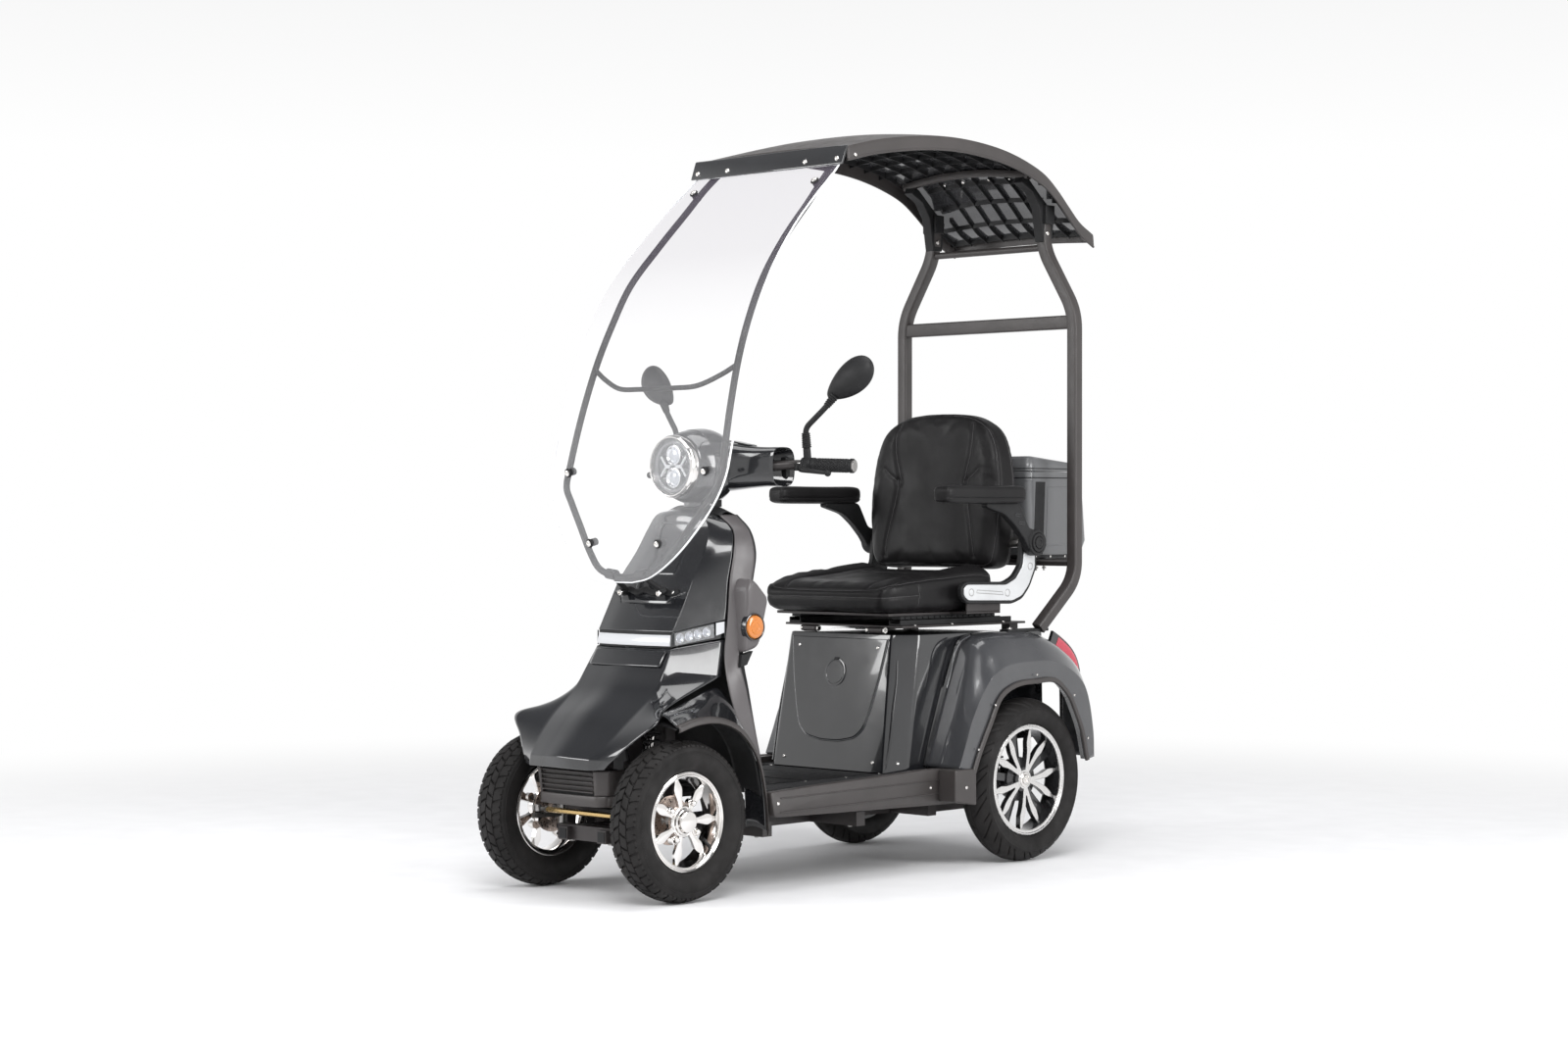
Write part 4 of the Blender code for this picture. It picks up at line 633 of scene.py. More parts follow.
def tread_block(bm, hub, outline, crown, depth):
    """A rubber block on the tread. Its outline holds pairs of place across and angle."""
    middle_x = sum(x for x, _ in outline) / len(outline)
    middle_a = sum(a for _, a in outline) / len(outline)
    rings = []
    for share, drop in ((1.03, depth + 0.001), (1.0, 0.0011), (0.93, 0.0)):
        ring = []
        for x, angle in outline:
            x = middle_x + (x - middle_x) * share
            angle = middle_a + (angle - middle_a) * share
            ring.append(bm.verts.new(around(hub, 1, x, crown(x) - drop, angle)))
        rings.append(ring)
    count = len(outline)
    for ring, following in zip(rings, rings[1:]):
        for i in range(count):
            j = (i + 1) % count
            bm.faces.new((ring[i], ring[j], following[j], following[i]))
    top = bm.verts.new(around(hub, 1, middle_x, crown(middle_x), middle_a))
    for i in range(count):
        bm.faces.new((rings[-1][i], rings[-1][(i + 1) % count], top))


def carcass(bm, hub, half_profile, steps):
    """The body of a tyre from one half of its section, bead to crown."""
    profile = [*half_profile, *((-x, r) for x, r in reversed(half_profile[:-1]))]
    profile.append(profile[0])
    return lathe(profile, hub, steps=steps, bm=bm)


def front_crown(x):
    """Radius of the front tread at a place across it."""
    return FRONT_TYRE_RADIUS - 0.0095 * (abs(x) / 0.040) ** 2.3


def front_tyre(label, side):
    """A block tread in four rows, and a ribbed ring on each shoulder."""
    hub = on_side(FRONT_HUB, side)
    body = f"front_wheel_{label}"
    bm = carcass(bmesh.new(), hub, (
        (0.0268, 0.1035), (0.0274, 0.1142), (0.0290, 0.1158), (0.0296, 0.1150), (0.0325, 0.1172),
        (0.0375, 0.1215), (0.0412, 0.1275), (0.0436, 0.135), (0.0448, 0.144), (0.0447, 0.152),
        (0.0440, 0.1575), (0.0446, 0.1580), (0.0446, 0.1592), (0.0436, 0.1600), (0.0425, 0.1655),
        (0.0400, 0.1695), (0.034, 0.1735), (0.024, 0.1762), (0.012, 0.1777), (0, 0.178)), 120)
    count = 38
    pitch = math.tau / count
    skew = pitch * 0.30
    for row, (low, high) in enumerate(((0.0205, 0.0400), (0.0010, 0.0190), (-0.0190, -0.0010),
                                       (-0.0400, -0.0205))):
        shift = pitch * (0.0, 0.42, 0.9, 0.35)[row]
        lean = skew * (1, -1, 1, -1)[row]
        for i in range(count):
            angle = pitch * i + shift + random.uniform(-0.001, 0.001)
            half = pitch * 0.415
            if row in (0, 3):
                outer, inner = (high, low) if row == 0 else (low, high)
                notch = outer * 0.90
                outline = [(inner, angle - half - lean * 0.5), (outer, angle - half + lean * 0.2),
                           (outer, angle - half * 0.22), (notch, angle), (outer, angle + half * 0.22),
                           (outer, angle + half + lean * 0.2), (inner, angle + half - lean * 0.5)]
            else:
                middle = (low + high) / 2
                outline = [(low, angle - half - lean * 0.5), (middle, angle - half * 1.05 + lean * 0.1),
                           (high, angle - half + lean * 0.5), (high, angle + half + lean * 0.5),
                           (middle, angle + half * 0.95 + lean * 0.1), (low, angle + half - lean * 0.5)]
            tread_block(bm, hub, outline, front_crown, 0.005)
    # Fine ribs on both shoulders
    ribs = 4 * count
    for face in (1, -1):
        for i in range(ribs):
            rib_on_sidewall(bm, hub, face, math.tau * i / ribs, 0.0452, 0.1480, 0.1572, 0.0016)
    piece(f"front_tyre_tread_{label}", bm, "tyre", body, 40, (f"front_tyre_{label}",))


def rib_on_sidewall(bm, hub, face, angle, out, low, high, width):
    """A short raised rib that points to the hub."""
    rings = []
    for radius, along in ((low, out - 0.0020), (low + 0.0012, out - 0.0003), (high - 0.0012, out - 0.0003),
                          (high, out - 0.0022)):
        spread = width / 2 / radius
        rings.append([around(hub, face, along, radius, angle - spread),
                      around(hub, face, along, radius, angle + spread),
                      around(hub, face, along - 0.0016, radius, angle + spread),
                      around(hub, face, along - 0.0016, radius, angle - spread)])
    grid(rings, bm, wrap=True, caps=True)


REAR_TREAD_HALF = 0.0405


def rear_tread_depth(x, angle):
    """How deep the rear tread's long curved grooves are at a point."""
    count = 19
    pitch = math.tau / count
    across = abs(x) / REAR_TREAD_HALF
    if across > 1.12:
        return 0.0
    phase = angle / pitch + (0.5 if x < 0 else 0)
    depth = 0.0
    # Start, end, sweep, offset and half width of each kind of groove
    for start, end, sweep, offset, half in ((0.10, 1.12, 0.78, 0.0, 0.0021),
                                            (0.55, 1.12, 0.60, 0.48, 0.0017)):
        if not start - 0.05 <= across <= end:
            continue
        centre = offset + sweep * across ** 1.7
        away = (phase - centre + 0.5) % 1.0 - 0.5
        # In metres, square to the slanted groove
        distance = abs(away) * pitch * 0.2 * 0.80
        ends = smooth_step(across, start - 0.05, start + 0.10)
        depth = max(depth, (1 - smooth_step(distance, half * 0.7, half * 1.5)) * ends)
    centre_line = 1 - smooth_step(abs(x), 0.0008, 0.0022)
    return 0.0042 * max(depth, 0.75 * centre_line)


def rear_tyre(label, side):
    """A road tread with long curved grooves that run back to the shoulders."""
    hub = on_side(REAR_HUB, side)
    body = f"rear_wheel_{label}"
    half = [(0.0255, 0.1285), (0.0258, 0.1412), (0.0276, 0.1432), (0.0284, 0.1422), (0.0312, 0.1445),
            (0.0358, 0.1485), (0.0395, 0.155), (0.0415, 0.1625), (0.0424, 0.170), (0.0424, 0.1745),
            (0.0428, 0.1752), (0.0426, 0.1768), (0.0418, 0.1775), (0.0405, 0.1815)]
    bm = bmesh.new()
    for face in (1, -1):
        lathe([(face * x, r) for x, r in half], hub, steps=120, bm=bm)
    lathe([(-half[0][0], half[0][1]), half[0]], hub, steps=120, bm=bm)
    steps, columns = 912, 38
    rings = []
    for i in range(steps):
        angle = math.tau * i / steps
        ring = []
        for column in range(columns + 1):
            t = column / columns * 2 - 1
            x = REAR_TREAD_HALF * math.copysign(abs(t) ** 0.9, t)
            radius = REAR_TYRE_RADIUS - 0.0235 * (abs(x) / REAR_TREAD_HALF) ** 2.5
            edge = smooth_step(abs(x), REAR_TREAD_HALF, REAR_TREAD_HALF - 0.002)
            ring.append(around(hub, 1, x, radius - rear_tread_depth(x, angle) * min(1, 0.25 + edge), angle))
        rings.append(ring)
    rings.append(rings[0])
    grid(rings, bm)
    bmesh.ops.remove_doubles(bm, verts=bm.verts, dist=1e-6)
    piece(f"rear_tyre_tread_{label}", bm, "tyre", body, 40, (f"rear_tyre_{label}",))


def front_rim(label, side):
    """A polished wheel with seven leaf spokes."""
    hub = on_side(FRONT_HUB, side)
    body = f"front_wheel_{label}"
    node = f"front_rim_{label}"
    barrel = turned(side, (
        (0.0262, 0.1032), (0.0268, 0.1125), (0.0285, 0.1135), (0.0305, 0.1130), (0.0315, 0.1108),
        (0.0300, 0.1085), (0.0285, 0.1078), (0.0288, 0.1062), (0.0300, 0.1048), (0.0292, 0.1022),
        (0.0262, 0.1008), (0.0180, 0.0992), (0.0040, 0.0972), (-0.0160, 0.0966), (-0.0240, 0.0990),
        (-0.0272, 0.1030), (-0.0300, 0.1060), (-0.0315, 0.1108), (-0.0305, 0.1130), (-0.0285, 0.1135),
        (-0.0268, 0.1125), (-0.0262, 0.1032), (0.0262, 0.1032)), hub, steps=96)
    for i in range(7):
        angle = math.tau * i / 7 - 0.227
        blade(barrel, hub, side, (
            (0.0260, angle, 0.0088), (0.0360, angle, 0.0062), (0.0480, angle, 0.0066),
            (0.0600, angle, 0.0092), (0.0710, angle, 0.0118), (0.0780, angle, 0.0120),
            (0.0850, angle, 0.0096), (0.0920, angle, 0.0062), (0.0985, angle, 0.0046)),
              0.0165, 0.0070, ridge=0.0016)
    piece(f"front_wheel_spokes_{label}", barrel, "chrome", body, 32, (node,))

    centre = turned(side, (
        (0.0040, 0.0), (0.0040, 0.0350), (0.0150, 0.0365), (0.0182, 0.0345), (0.0190, 0.0310),
        (0.0230, 0.0300), (0.0242, 0.0285), (0.0250, 0.0262), (0.0330, 0.0252), (0.0346, 0.0240),
        (0.0352, 0.0225), (0.0352, 0.0)), hub, steps=48)
    for i in range(4):
        angle = math.tau * (i + 0.37) / 4
        place = around(hub, side, 0.0150, 0.0475, angle)
        lug = turned(side, (
            (-0.0120, 0.0), (-0.0120, 0.0100), (0.0000, 0.0100), (0.0012, 0.0088), (0.0020, 0.0070),
            (0.0080, 0.0068), (0.0108, 0.0056), (0.0124, 0.0032), (0.0128, 0.0)), place, steps=24)
        absorb(centre, lug)
    piece(f"front_wheel_hub_{label}", centre, "chrome", body, 35)

    disc = turned(side, ((-0.0285, 0.030), (-0.0285, 0.0560), (-0.0250, 0.0560), (-0.0250, 0.030),
                         (-0.0285, 0.030)), hub, steps=72)
    for i in range(6):
        arm = math.tau * i / 6
        blade(disc, hub, side, ((0.018, arm, 0.008), (0.040, arm, 0.006)), -0.0245, -0.029)
    piece(f"front_brake_disc_{label}", disc, "disc", body, 35)
    holes = bmesh.new()
    for i in range(18):
        angle = math.tau * i / 18
        radius = 0.042 + 0.0050 * (i % 3)
        place = around(hub, side, 0, radius, angle)
        for along in (-0.0288, -0.0247):
            rod(place + Vector((side * (along - 0.0002), 0, 0)),
                place + Vector((side * (along + 0.0002), 0, 0)), 0.0020, sides=12, bm=holes)
    piece(f"front_brake_holes_{label}", holes, "black_plastic", body, 35)


def rear_rim(label, side):
    """A black wheel with five pairs of blades with machined faces."""
    hub = on_side(REAR_HUB, side)
    body = f"rear_wheel_{label}"
    node = f"rear_rim_{label}"
    barrel = turned(side, (
        (0.0250, 0.1282), (0.0254, 0.1395), (0.0262, 0.1402), (0.0262, 0.1290), (0.0250, 0.1268),
        (0.0120, 0.1255), (-0.0120, 0.1240), (-0.0200, 0.1240), (-0.0252, 0.1275), (-0.0275, 0.1330),
        (-0.0290, 0.1395), (-0.0260, 0.1402), (-0.0250, 0.1282), (0.0250, 0.1282)), hub, steps=96)
    drum = turned(side, (
        (-0.0400, 0.0), (-0.0400, 0.0440), (-0.0300, 0.0520), (-0.0060, 0.0560), (0.0005, 0.0540),
        (0.0040, 0.0340), (0.0105, 0.0320), (0.0130, 0.0290), (0.0135, 0.0)), hub, steps=60)
    absorb(barrel, drum)
    face = bmesh.new()
    for i in range(5):
        middle = math.tau * i / 5 + 0.454
        wide = middle + math.tau / 10
        blade(barrel, hub, side, ((0.030, wide, 0.0090), (0.060, wide, 0.0095), (0.090, wide, 0.0100),
                                  (0.1262, wide, 0.0115)), -0.0040, -0.0140, ridge=0.001)
        for way in (1, -1):
            stations = []
            for radius, spread, half in ((0.0240, 8.5, 0.0038), (0.0400, 9.6, 0.0050), (0.0560, 10.8, 0.0058),
                                         (0.0720, 12.2, 0.0069), (0.0865, 13.9, 0.0088),
                                         (0.0930, 14.8, 0.0090), (0.1050, 15.6, 0.0070),
                                         (0.1170, 16.1, 0.0044), (0.1275, 16.3, 0.0022)):
                stations.append((radius, middle + way * math.radians(spread), half))
            blade(barrel, hub, side, [(r, a, h + 0.0011) for r, a, h in stations], 0.0125, -0.0010)
            blade(face, hub, side, stations, 0.0136, 0.0120, ridge=0.0002)
        # The web that joins a pair near the hub
        web = [(0.0240, middle, 0.0062), (0.0330, middle, 0.0075), (0.0420, middle, 0.0052)]
        blade(barrel, hub, side, [(r, a, h + 0.001) for r, a, h in web], 0.0125, 0.0)
        blade(face, hub, side, web, 0.0136, 0.0120)
    turned(side, (
        (0.0262, 0.1400), (0.0285, 0.1398), (0.0300, 0.1378), (0.0302, 0.1350), (0.0290, 0.1338),
        (0.0280, 0.1330), (0.0282, 0.1300), (0.0270, 0.1270), (0.0240, 0.1262), (0.0240, 0.1300),
        (0.0262, 0.1400)), hub, steps=96, bm=face)
    turned(side, ((0.0120, 0.0245), (0.0142, 0.0240), (0.0146, 0.0215), (0.0142, 0.0180),
                  (0.0120, 0.0180), (0.0120, 0.0245)), hub, steps=48, bm=face)
    piece(f"rear_wheel_spokes_{label}", barrel, "alloy", body, 32, (node,))
    piece(f"rear_wheel_faces_{label}", face, "machined", body, 28)
    nut = turned(side, (
        (0.0120, 0.0), (0.0120, 0.0185), (0.0160, 0.0185), (0.0170, 0.0170), (0.0172, 0.0150),
        (0.0160, 0.0142), (0.0160, 0.0125), (0.0195, 0.0120), (0.0205, 0.0110), (0.0207, 0.0080),
        (0.0180, 0.0070), (0.0180, 0.0040), (0.0215, 0.0036), (0.0220, 0.0)), hub, steps=40)
    piece(f"rear_wheel_nut_{label}", nut, "chrome", body, 35)


def valve(label, side, hub, radius, body, name):
    """A rubber valve stem that points to the axle."""
    hub = on_side(hub, side)
    start = around(hub, side, 0.012, radius, 2.2)
    end = around(hub, side, 0.020, radius - 0.024, 2.2)
    bm = rod(start, end, 0.0045, 0.0032, 12)
    piece(f"{name}_valve_{label}", bm, "black_plastic", body)


def build_wheels():
    """Tyres, rims and valves of all four wheels."""
    for label, side in SIDES:
        front_tyre(label, side)
        rear_tyre(label, side)
        front_rim(label, side)
        rear_rim(label, side)
        valve(label, side, FRONT_HUB, 0.0990, f"front_wheel_{label}", "front")
        valve(label, side, REAR_HUB, 0.1270, f"rear_wheel_{label}", "rear")


# Frame, axles, springs and steering linkage

FRONT_AXLE = Vector((0, FRONT_HUB.y, FRONT_HUB.z))
KINGPIN_X = 0.165


def from_node(name, node, look, body=CHASSIS, width=0.0015, segments=2):
    """The CAD shape of a node with its edges rounded."""
    source = frame["nodes"][node]
    bm = bmesh.new()
    bm.from_mesh(source.data)
    bm.transform(source.matrix_world)
    made = piece(name, bm, look, body, 35, (node,))
    soften(made, width, segments, 30)
    return made


def coil(low, high, radius, wire, turns):
    """A coil spring with closed ends between two points."""
    low, high = Vector(low), Vector(high)
    along = high - low
    turn = along.to_track_quat("Z", "Y").to_matrix().to_4x4()
    path = []
    steps = int(turns * 24)
    for i in range(steps + 1):
        t = i / steps
        # The first and last turn lie flat
        rise = smooth_step(t, 0.03, 0.97) * 0.35 + t * 0.65
        angle = math.tau * turns * t
        point = Vector((radius * math.cos(angle), radius * math.sin(angle), rise * along.length))
        path.append(Matrix.Translation(low) @ turn @ point)
    return tube(path, wire, sides=10)


def build_spring(name, low, high, radius, wire, turns, look, nodes=()):
    """Coil, damper and its rod, with a seat at each end."""
    low, high = Vector(low), Vector(high)
    along = high - low
    length = along.length
    turn = Matrix.Translation(low) @ along.to_track_quat("Z", "Y").to_matrix().to_4x4()
    # Seats of the coil, and where the damper's body ends, along the spring
    start, end = 0.15 * length, 0.86 * length
    body_end, rod_start = start + (end - start) * 0.57, start + (end - start) * 0.56
    unit = along.normalized()
    spring = coil(low + unit * (start + wire), low + unit * (end - wire), radius - wire, wire, turns)
    piece(f"{name}_coil", spring, look, smooth=60, stands_for=nodes)
    seats = lathe([(0.0, 0.0), (0.0, 0.009), (start - 0.006, 0.009), (start - 0.004, radius + 0.0005),
                   (start, radius + 0.0005), (start, 0.0)], (0, 0, 0), "Z", 36)
    lathe([(end, 0.0), (end, radius + 0.0005), (end + 0.004, radius + 0.0005), (end + 0.007, 0.0095),
           (length, 0.0095), (length, 0.0)], (0, 0, 0), "Z", 36, bm=seats)
    piece(f"{name}_seats", moved(seats, turn), "black_plastic", smooth=35)
    damper = lathe([(start, 0.0), (start, 0.0105), (start + (end - start) * 0.55, 0.0105),
                    (body_end, 0.0060), (body_end, 0.0)], (0, 0, 0), "Z", 28)
    piece(f"{name}_damper", moved(damper, turn), "black_plastic", smooth=35)
    shaft = lathe([(rod_start, 0.0), (rod_start, 0.0052), (end, 0.0052), (end, 0.0)], (0, 0, 0), "Z", 24)
    piece(f"{name}_rod", moved(shaft, turn), "chrome", smooth=35)


def build_front_axle():
    """Beam with a fork at each end, its two arms to the frame, the kingpins' nuts and the springs."""
    y, z = FRONT_AXLE.y, FRONT_AXLE.z
    beam = sweep([(-0.1400, y, z + 0.002), (0.1400, y, z + 0.002)],
                 [(u * 1.33, v) for u, v in square_tube(0.012, 0.003, 3)], up=(0, 0, 1))
    bolts = bmesh.new()
    for _, side in SIDES:
        low, high = sorted((side * 0.132, side * 0.142))
        block((low, y - 0.014, z - 0.045), (high, y + 0.014, z + 0.045), beam)
        for foot, top in ((z - 0.045, z - 0.034), (z + 0.034, z + 0.045)):
            low, high = sorted((side * 0.132, side * (KINGPIN_X + 0.004)))
            block((low, y - 0.014, foot), (high, y + 0.014, top), beam)
            rod((side * KINGPIN_X, y, foot), (side * KINGPIN_X, y, top), 0.014, sides=28, bm=beam)
        low, high = sorted((side * 0.055, side * 0.075))
        block((low, y, z - 0.008), (high, -0.5875, z + 0.008), beam)
        rod((side * KINGPIN_X, y, z + 0.0445), (side * KINGPIN_X, y, z + 0.0530), 0.0095, sides=6, bm=bolts)
        rod((side * KINGPIN_X, y, z - 0.0525), (side * KINGPIN_X, y, z - 0.0445), 0.0095, sides=6, bm=bolts)
    soften(piece("front_beam", beam, "frame_paint", smooth=35, stands_for=("front_axle",)), 0.0012, 2, 40)
    piece("kingpin_nuts", bolts, "steel", smooth=35)
    for label, side in SIDES:
        build_spring(f"front_spring_{label}", (side * 0.112, y - 0.004, z + 0.010),
                     (side * 0.105, -0.636, 0.402), 0.0195, 0.0034, 7.5, "black_plastic")


def build_linkage():
    """Tie rod with its eyes and boots, and the knuckles."""
    y, z = -0.755, 0.190
    bar = bmesh.new()
    rod((-0.128, y, z), (0.128, y, z), 0.0066, sides=6, bm=bar)
    piece("tie_bar", bar, "passivated", "tie_rod_body", 25, ("tie_rod",))
    ends, boots = bmesh.new(), bmesh.new()
    for _, side in SIDES:
        rod((side * 0.122, y, z), (side * 0.152, y, z), 0.0046, sides=20, bm=ends)
        rod((side * 0.129, y, z), (side * 0.134, y, z), 0.0082, sides=6, bm=ends)
        eye = lathe([(-0.0060, 0.0), (-0.0060, 0.0088), (-0.0040, 0.0097), (0.0050, 0.0097), (0.0075, 0.0085),
                     (0.0088, 0.0055), (0.0092, 0.0)], (0, 0, 0), "Z", 32)
        absorb(ends, eye, Matrix.Translation((side * KINGPIN_X, y, z)))
        boot = lathe([(-0.0096, 0.0), (-0.0096, 0.0062), (-0.0084, 0.0080), (-0.0074, 0.0070),
                      (-0.0064, 0.0084), (-0.0056, 0.0)], (0, 0, 0), "Z", 28)
        absorb(boots, boot, Matrix.Translation((side * KINGPIN_X, y, z)))
    piece("tie_ends", ends, "steel", "tie_rod_body", 35)
    piece("tie_boots", boots, "tyre", "tie_rod_body", 40)
    for label, side in SIDES:
        from_node(f"knuckle_{label}_shape", f"knuckle_{label}", "steel", f"knuckle_{label}_body", 0.0012)
        nuts = bmesh.new()
        rod((side * KINGPIN_X, y, z - 0.0290), (side * KINGPIN_X, y, z - 0.0215), 0.0075, sides=6, bm=nuts)
        piece(f"knuckle_nut_{label}", nuts, "chrome", f"knuckle_{label}_body", 35)


def build_rear_axle():
    """Axle with the motor's fins and bolts, and the springs."""
    from_node("rear_axle_shape", "rear_axle", "frame_paint", width=0.0015)
    y, z = 0.466, 0.205
    fins, bolts = bmesh.new(), bmesh.new()
    for x in (-0.040, -0.024, 0.024, 0.040):
        lathe([(x - 0.002, 0.070), (x - 0.002, 0.0795), (x + 0.002, 0.0795), (x + 0.002, 0.070)], (0, y, z),
              "X", 64, bm=fins)
    lathe([(-0.007, 0.070), (-0.007, 0.0800), (0.007, 0.0800), (0.007, 0.070)], (0, y, z), "X", 64, bm=fins)
    piece("axle_fins", fins, "frame_paint", smooth=30)
    for i in range(8):
        angle = math.tau * (i + 0.5) / 8
        place = Vector((0.0455, y + 0.066 * math.sin(angle), z + 0.066 * math.cos(angle)))
        screw(bolts, place, (1, 0, 0), 0.0048, 0.0050, socket=False)
        screw(bolts, (-place.x, place.y, place.z), (-1, 0, 0), 0.0048, 0.0050, socket=False)
    piece("axle_bolts", bolts, "steel", smooth=35)
    for label, side in SIDES:
        foot = (side * 0.150, y + 0.058, z + 0.0015)
        build_spring(f"rear_spring_{label}", foot, (side * 0.155, 0.530, 0.5085), 0.0195, 0.0042, 8.5,
                     "spring_red", (f"rear_shock_{label}",))


def build_frame():
    """Main frame with its open tube ends and nuts, and the battery."""
    from_node("frame_shape", "main_frame", "frame_paint", width=0.002)
    hollow_shade, bolts = bmesh.new(), bmesh.new()
    for _, side in SIDES:
        x = side * 0.065
        # Open tube ends at the front: a black sheet in each is painted shade for its hollow
        block((x - 0.0115, -0.7665, 0.1295), (x + 0.0115, -0.7645, 0.1525), hollow_shade)
        screw(bolts, (x, -0.7360, 0.1255), (0, 0, -1), 0.0075, 0.0050, socket=False)
        for y in (-0.400, -0.080):
            screw(bolts, (side * 0.200, y, 0.1255), (0, 0, -1), 0.0060, 0.0040, socket=False)
    piece("frame_hollows", hollow_shade, "black_plastic", smooth=35)
    piece("frame_nuts", bolts, "steel", smooth=35)
    from_node("battery_case", "battery_block", "black_plastic", width=0.004, segments=3)


def build_chassis():
    """Everything below the floor, wheels apart."""
    build_frame()
    build_front_axle()
    build_linkage()
    build_rear_axle()


# Nose, shield and rear body

FENDER_X = 0.330
FENDER_STEPS = 90
BODY_X = 0.218

# Bonnet from nose to waist, each row as centre, crease and edge of the wing: x, y, z
BONNET_ROWS = (
    ((0, -0.844, 0.300), (0.100, -0.836, 0.299), (0.133, -0.818, 0.301)),
    ((0, -0.846, 0.326), (0.099, -0.834, 0.323), (0.150, -0.812, 0.320)),
    ((0, -0.802, 0.366), (0.117, -0.796, 0.357), (0.190, -0.788, 0.362)),
    ((0, -0.752, 0.414), (0.129, -0.744, 0.404), (0.238, -0.758, 0.407)),
    ((0, -0.674, 0.475), (0.135, -0.667, 0.466), (0.195, -0.690, 0.432)),
    ((0, -0.644, 0.520), (0.133, -0.632, 0.516), (0.174, -0.492, 0.500)),
    ((0, -0.6175, 0.564), (0.1265, -0.603, 0.5645), (0.1655, -0.4715, 0.5825)),
)

# Front cowl: height of the crease, crease x, crease y, seam x, seam y, seam height
FAIRING_SECTIONS = (
    (0.603, 0.125, -0.599, 0.166, -0.464, 0.629),
    (0.657, 0.126, -0.568, 0.164, -0.458, 0.660),
    (0.719, 0.124, -0.534, 0.160, -0.450, 0.719),
    (0.785, 0.114, -0.488, 0.155, -0.432, 0.785),
    (0.836, 0.104, -0.462, 0.136, -0.415, 0.836),
    (0.872, 0.078, -0.455, 0.095, -0.420, 0.868),
    (0.884, 0.040, -0.440, 0.050, -0.430, 0.882),
)

# Inner shield: height, seam x, seam y, rear x, rear y, back y
SHIELD_SECTIONS = (
    (0.2400, 0.205, -0.428, 0.200, -0.372, -0.366),
    (0.302, 0.204, -0.440, 0.200, -0.385, -0.372),
    (0.375, 0.203, -0.458, 0.200, -0.405, -0.388),
    (0.463, 0.198, -0.486, 0.200, -0.432, -0.405),
    (0.545, 0.172, -0.478, 0.190, -0.447, -0.412),
    (0.628, 0.167, -0.4625, 0.186, -0.430, -0.400),
    (0.726, 0.161, -0.447, 0.172, -0.385, -0.365),
    (0.785, 0.156, -0.4305, 0.168, -0.374, -0.352),
    (0.836, 0.137, -0.4135, 0.146, -0.372, -0.350),
    (0.872, 0.096, -0.4185, 0.105, -0.374, -0.356),
)

# Opening of the rear wheel arch, front foot to rear foot: y, z
ARCH = (
    (0.214, 0.235), (0.240, 0.290), (0.279, 0.356), (0.323, 0.424), (0.382, 0.452), (0.462, 0.459),
    (0.542, 0.457), (0.598, 0.418), (0.632, 0.366), (0.655, 0.320), (0.676, 0.245),
)

# Rear fender, front foot to rear foot: y and z at the body, y and z at the wheel side
FENDER_OUTLINE = (
    (0.166, 0.253, 0.172, 0.253), (0.190, 0.318, 0.199, 0.314), (0.215, 0.380, 0.226, 0.375),
    (0.268, 0.505, 0.290, 0.462), (0.300, 0.560, 0.345, 0.492), (0.350, 0.574, 0.386, 0.500),
    (0.435, 0.577, 0.463, 0.503), (0.520, 0.574, 0.540, 0.500), (0.625, 0.535, 0.614, 0.474),
    (0.690, 0.480, 0.668, 0.430), (0.706, 0.330, 0.700, 0.320), (0.712, 0.250, 0.704, 0.250),
)


def distance_to(point, path):
    """Distance of a flat point from a line through flat points."""
    nearest = 1.0
    for a, b in zip(path, path[1:]):
        along = b - a
        share = min(max((point - a).dot(along) / along.length_squared, 0), 1)
        nearest = min(nearest, (point - a - along * share).length)
    return nearest


def engrave(rows, paths, half_width, depth, direction):
    """Sink a groove into a grid of points, along paths in their x and z."""
    moved_rows = []
    for row in rows:
        line = []
        for point in row:
            flat = Vector((point.x, point.z))
            nearest = min(distance_to(flat, path) for path in paths)
            line.append(point + direction * depth * (1 - smooth_step(nearest, half_width * 0.4, half_width)))
        moved_rows.append(line)
    return moved_rows


def flat_path(points):
    """Pairs as flat vectors."""
    return [Vector(point) for point in points]


def build_bonnet():
    """The nose with its two wings and the raised panel across its waist."""
    rows = []
    for centre, crease, edge in BONNET_ROWS:
        inner = (crease[0] * 0.5, (centre[1] + crease[1]) / 2 - 0.0015, (centre[2] + crease[2]) / 2)
        rows.append(both_sides((edge, crease, inner, centre)))
    dense = surface(rows, 12, 12, (1, 5), (1, 5))
    bonnet = piece("bonnet_skin", grid(dense), "gloss_black", stands_for=("bonnet",), smooth=24,
                   away=(0, -0.62, 0.2))
    soften(bonnet, 0.0028, 3, 13)
    thicken(bonnet, 0.003)
    # A raised panel across the waist, with rounded corners
    low, high = 0.5235, 0.5600
    rows = []
    for z in (low, low + 0.002, (low + high) / 2, high - 0.002, high):
        share = (z - 0.520) / 0.044
        y = -0.644 + share * 0.0265
        lift = 0.0012 if z in (low, high) else 0.0030
        half = 0.119 - (0.004 if z in (low, high) else 0)
        rows.append([Vector((x, y + 0.0118 * (abs(x) / 0.133) ** 2 - lift, z))
                     for x in [half * (i / 16 - 1) for i in range(33)]])
    panel = piece("bonnet_panel", grid(rows), "gloss_black", smooth=30, away=(0, -0.4, 0.5))
    soften(panel, 0.0012, 2, 20)
    thicken(panel, 0.0028)


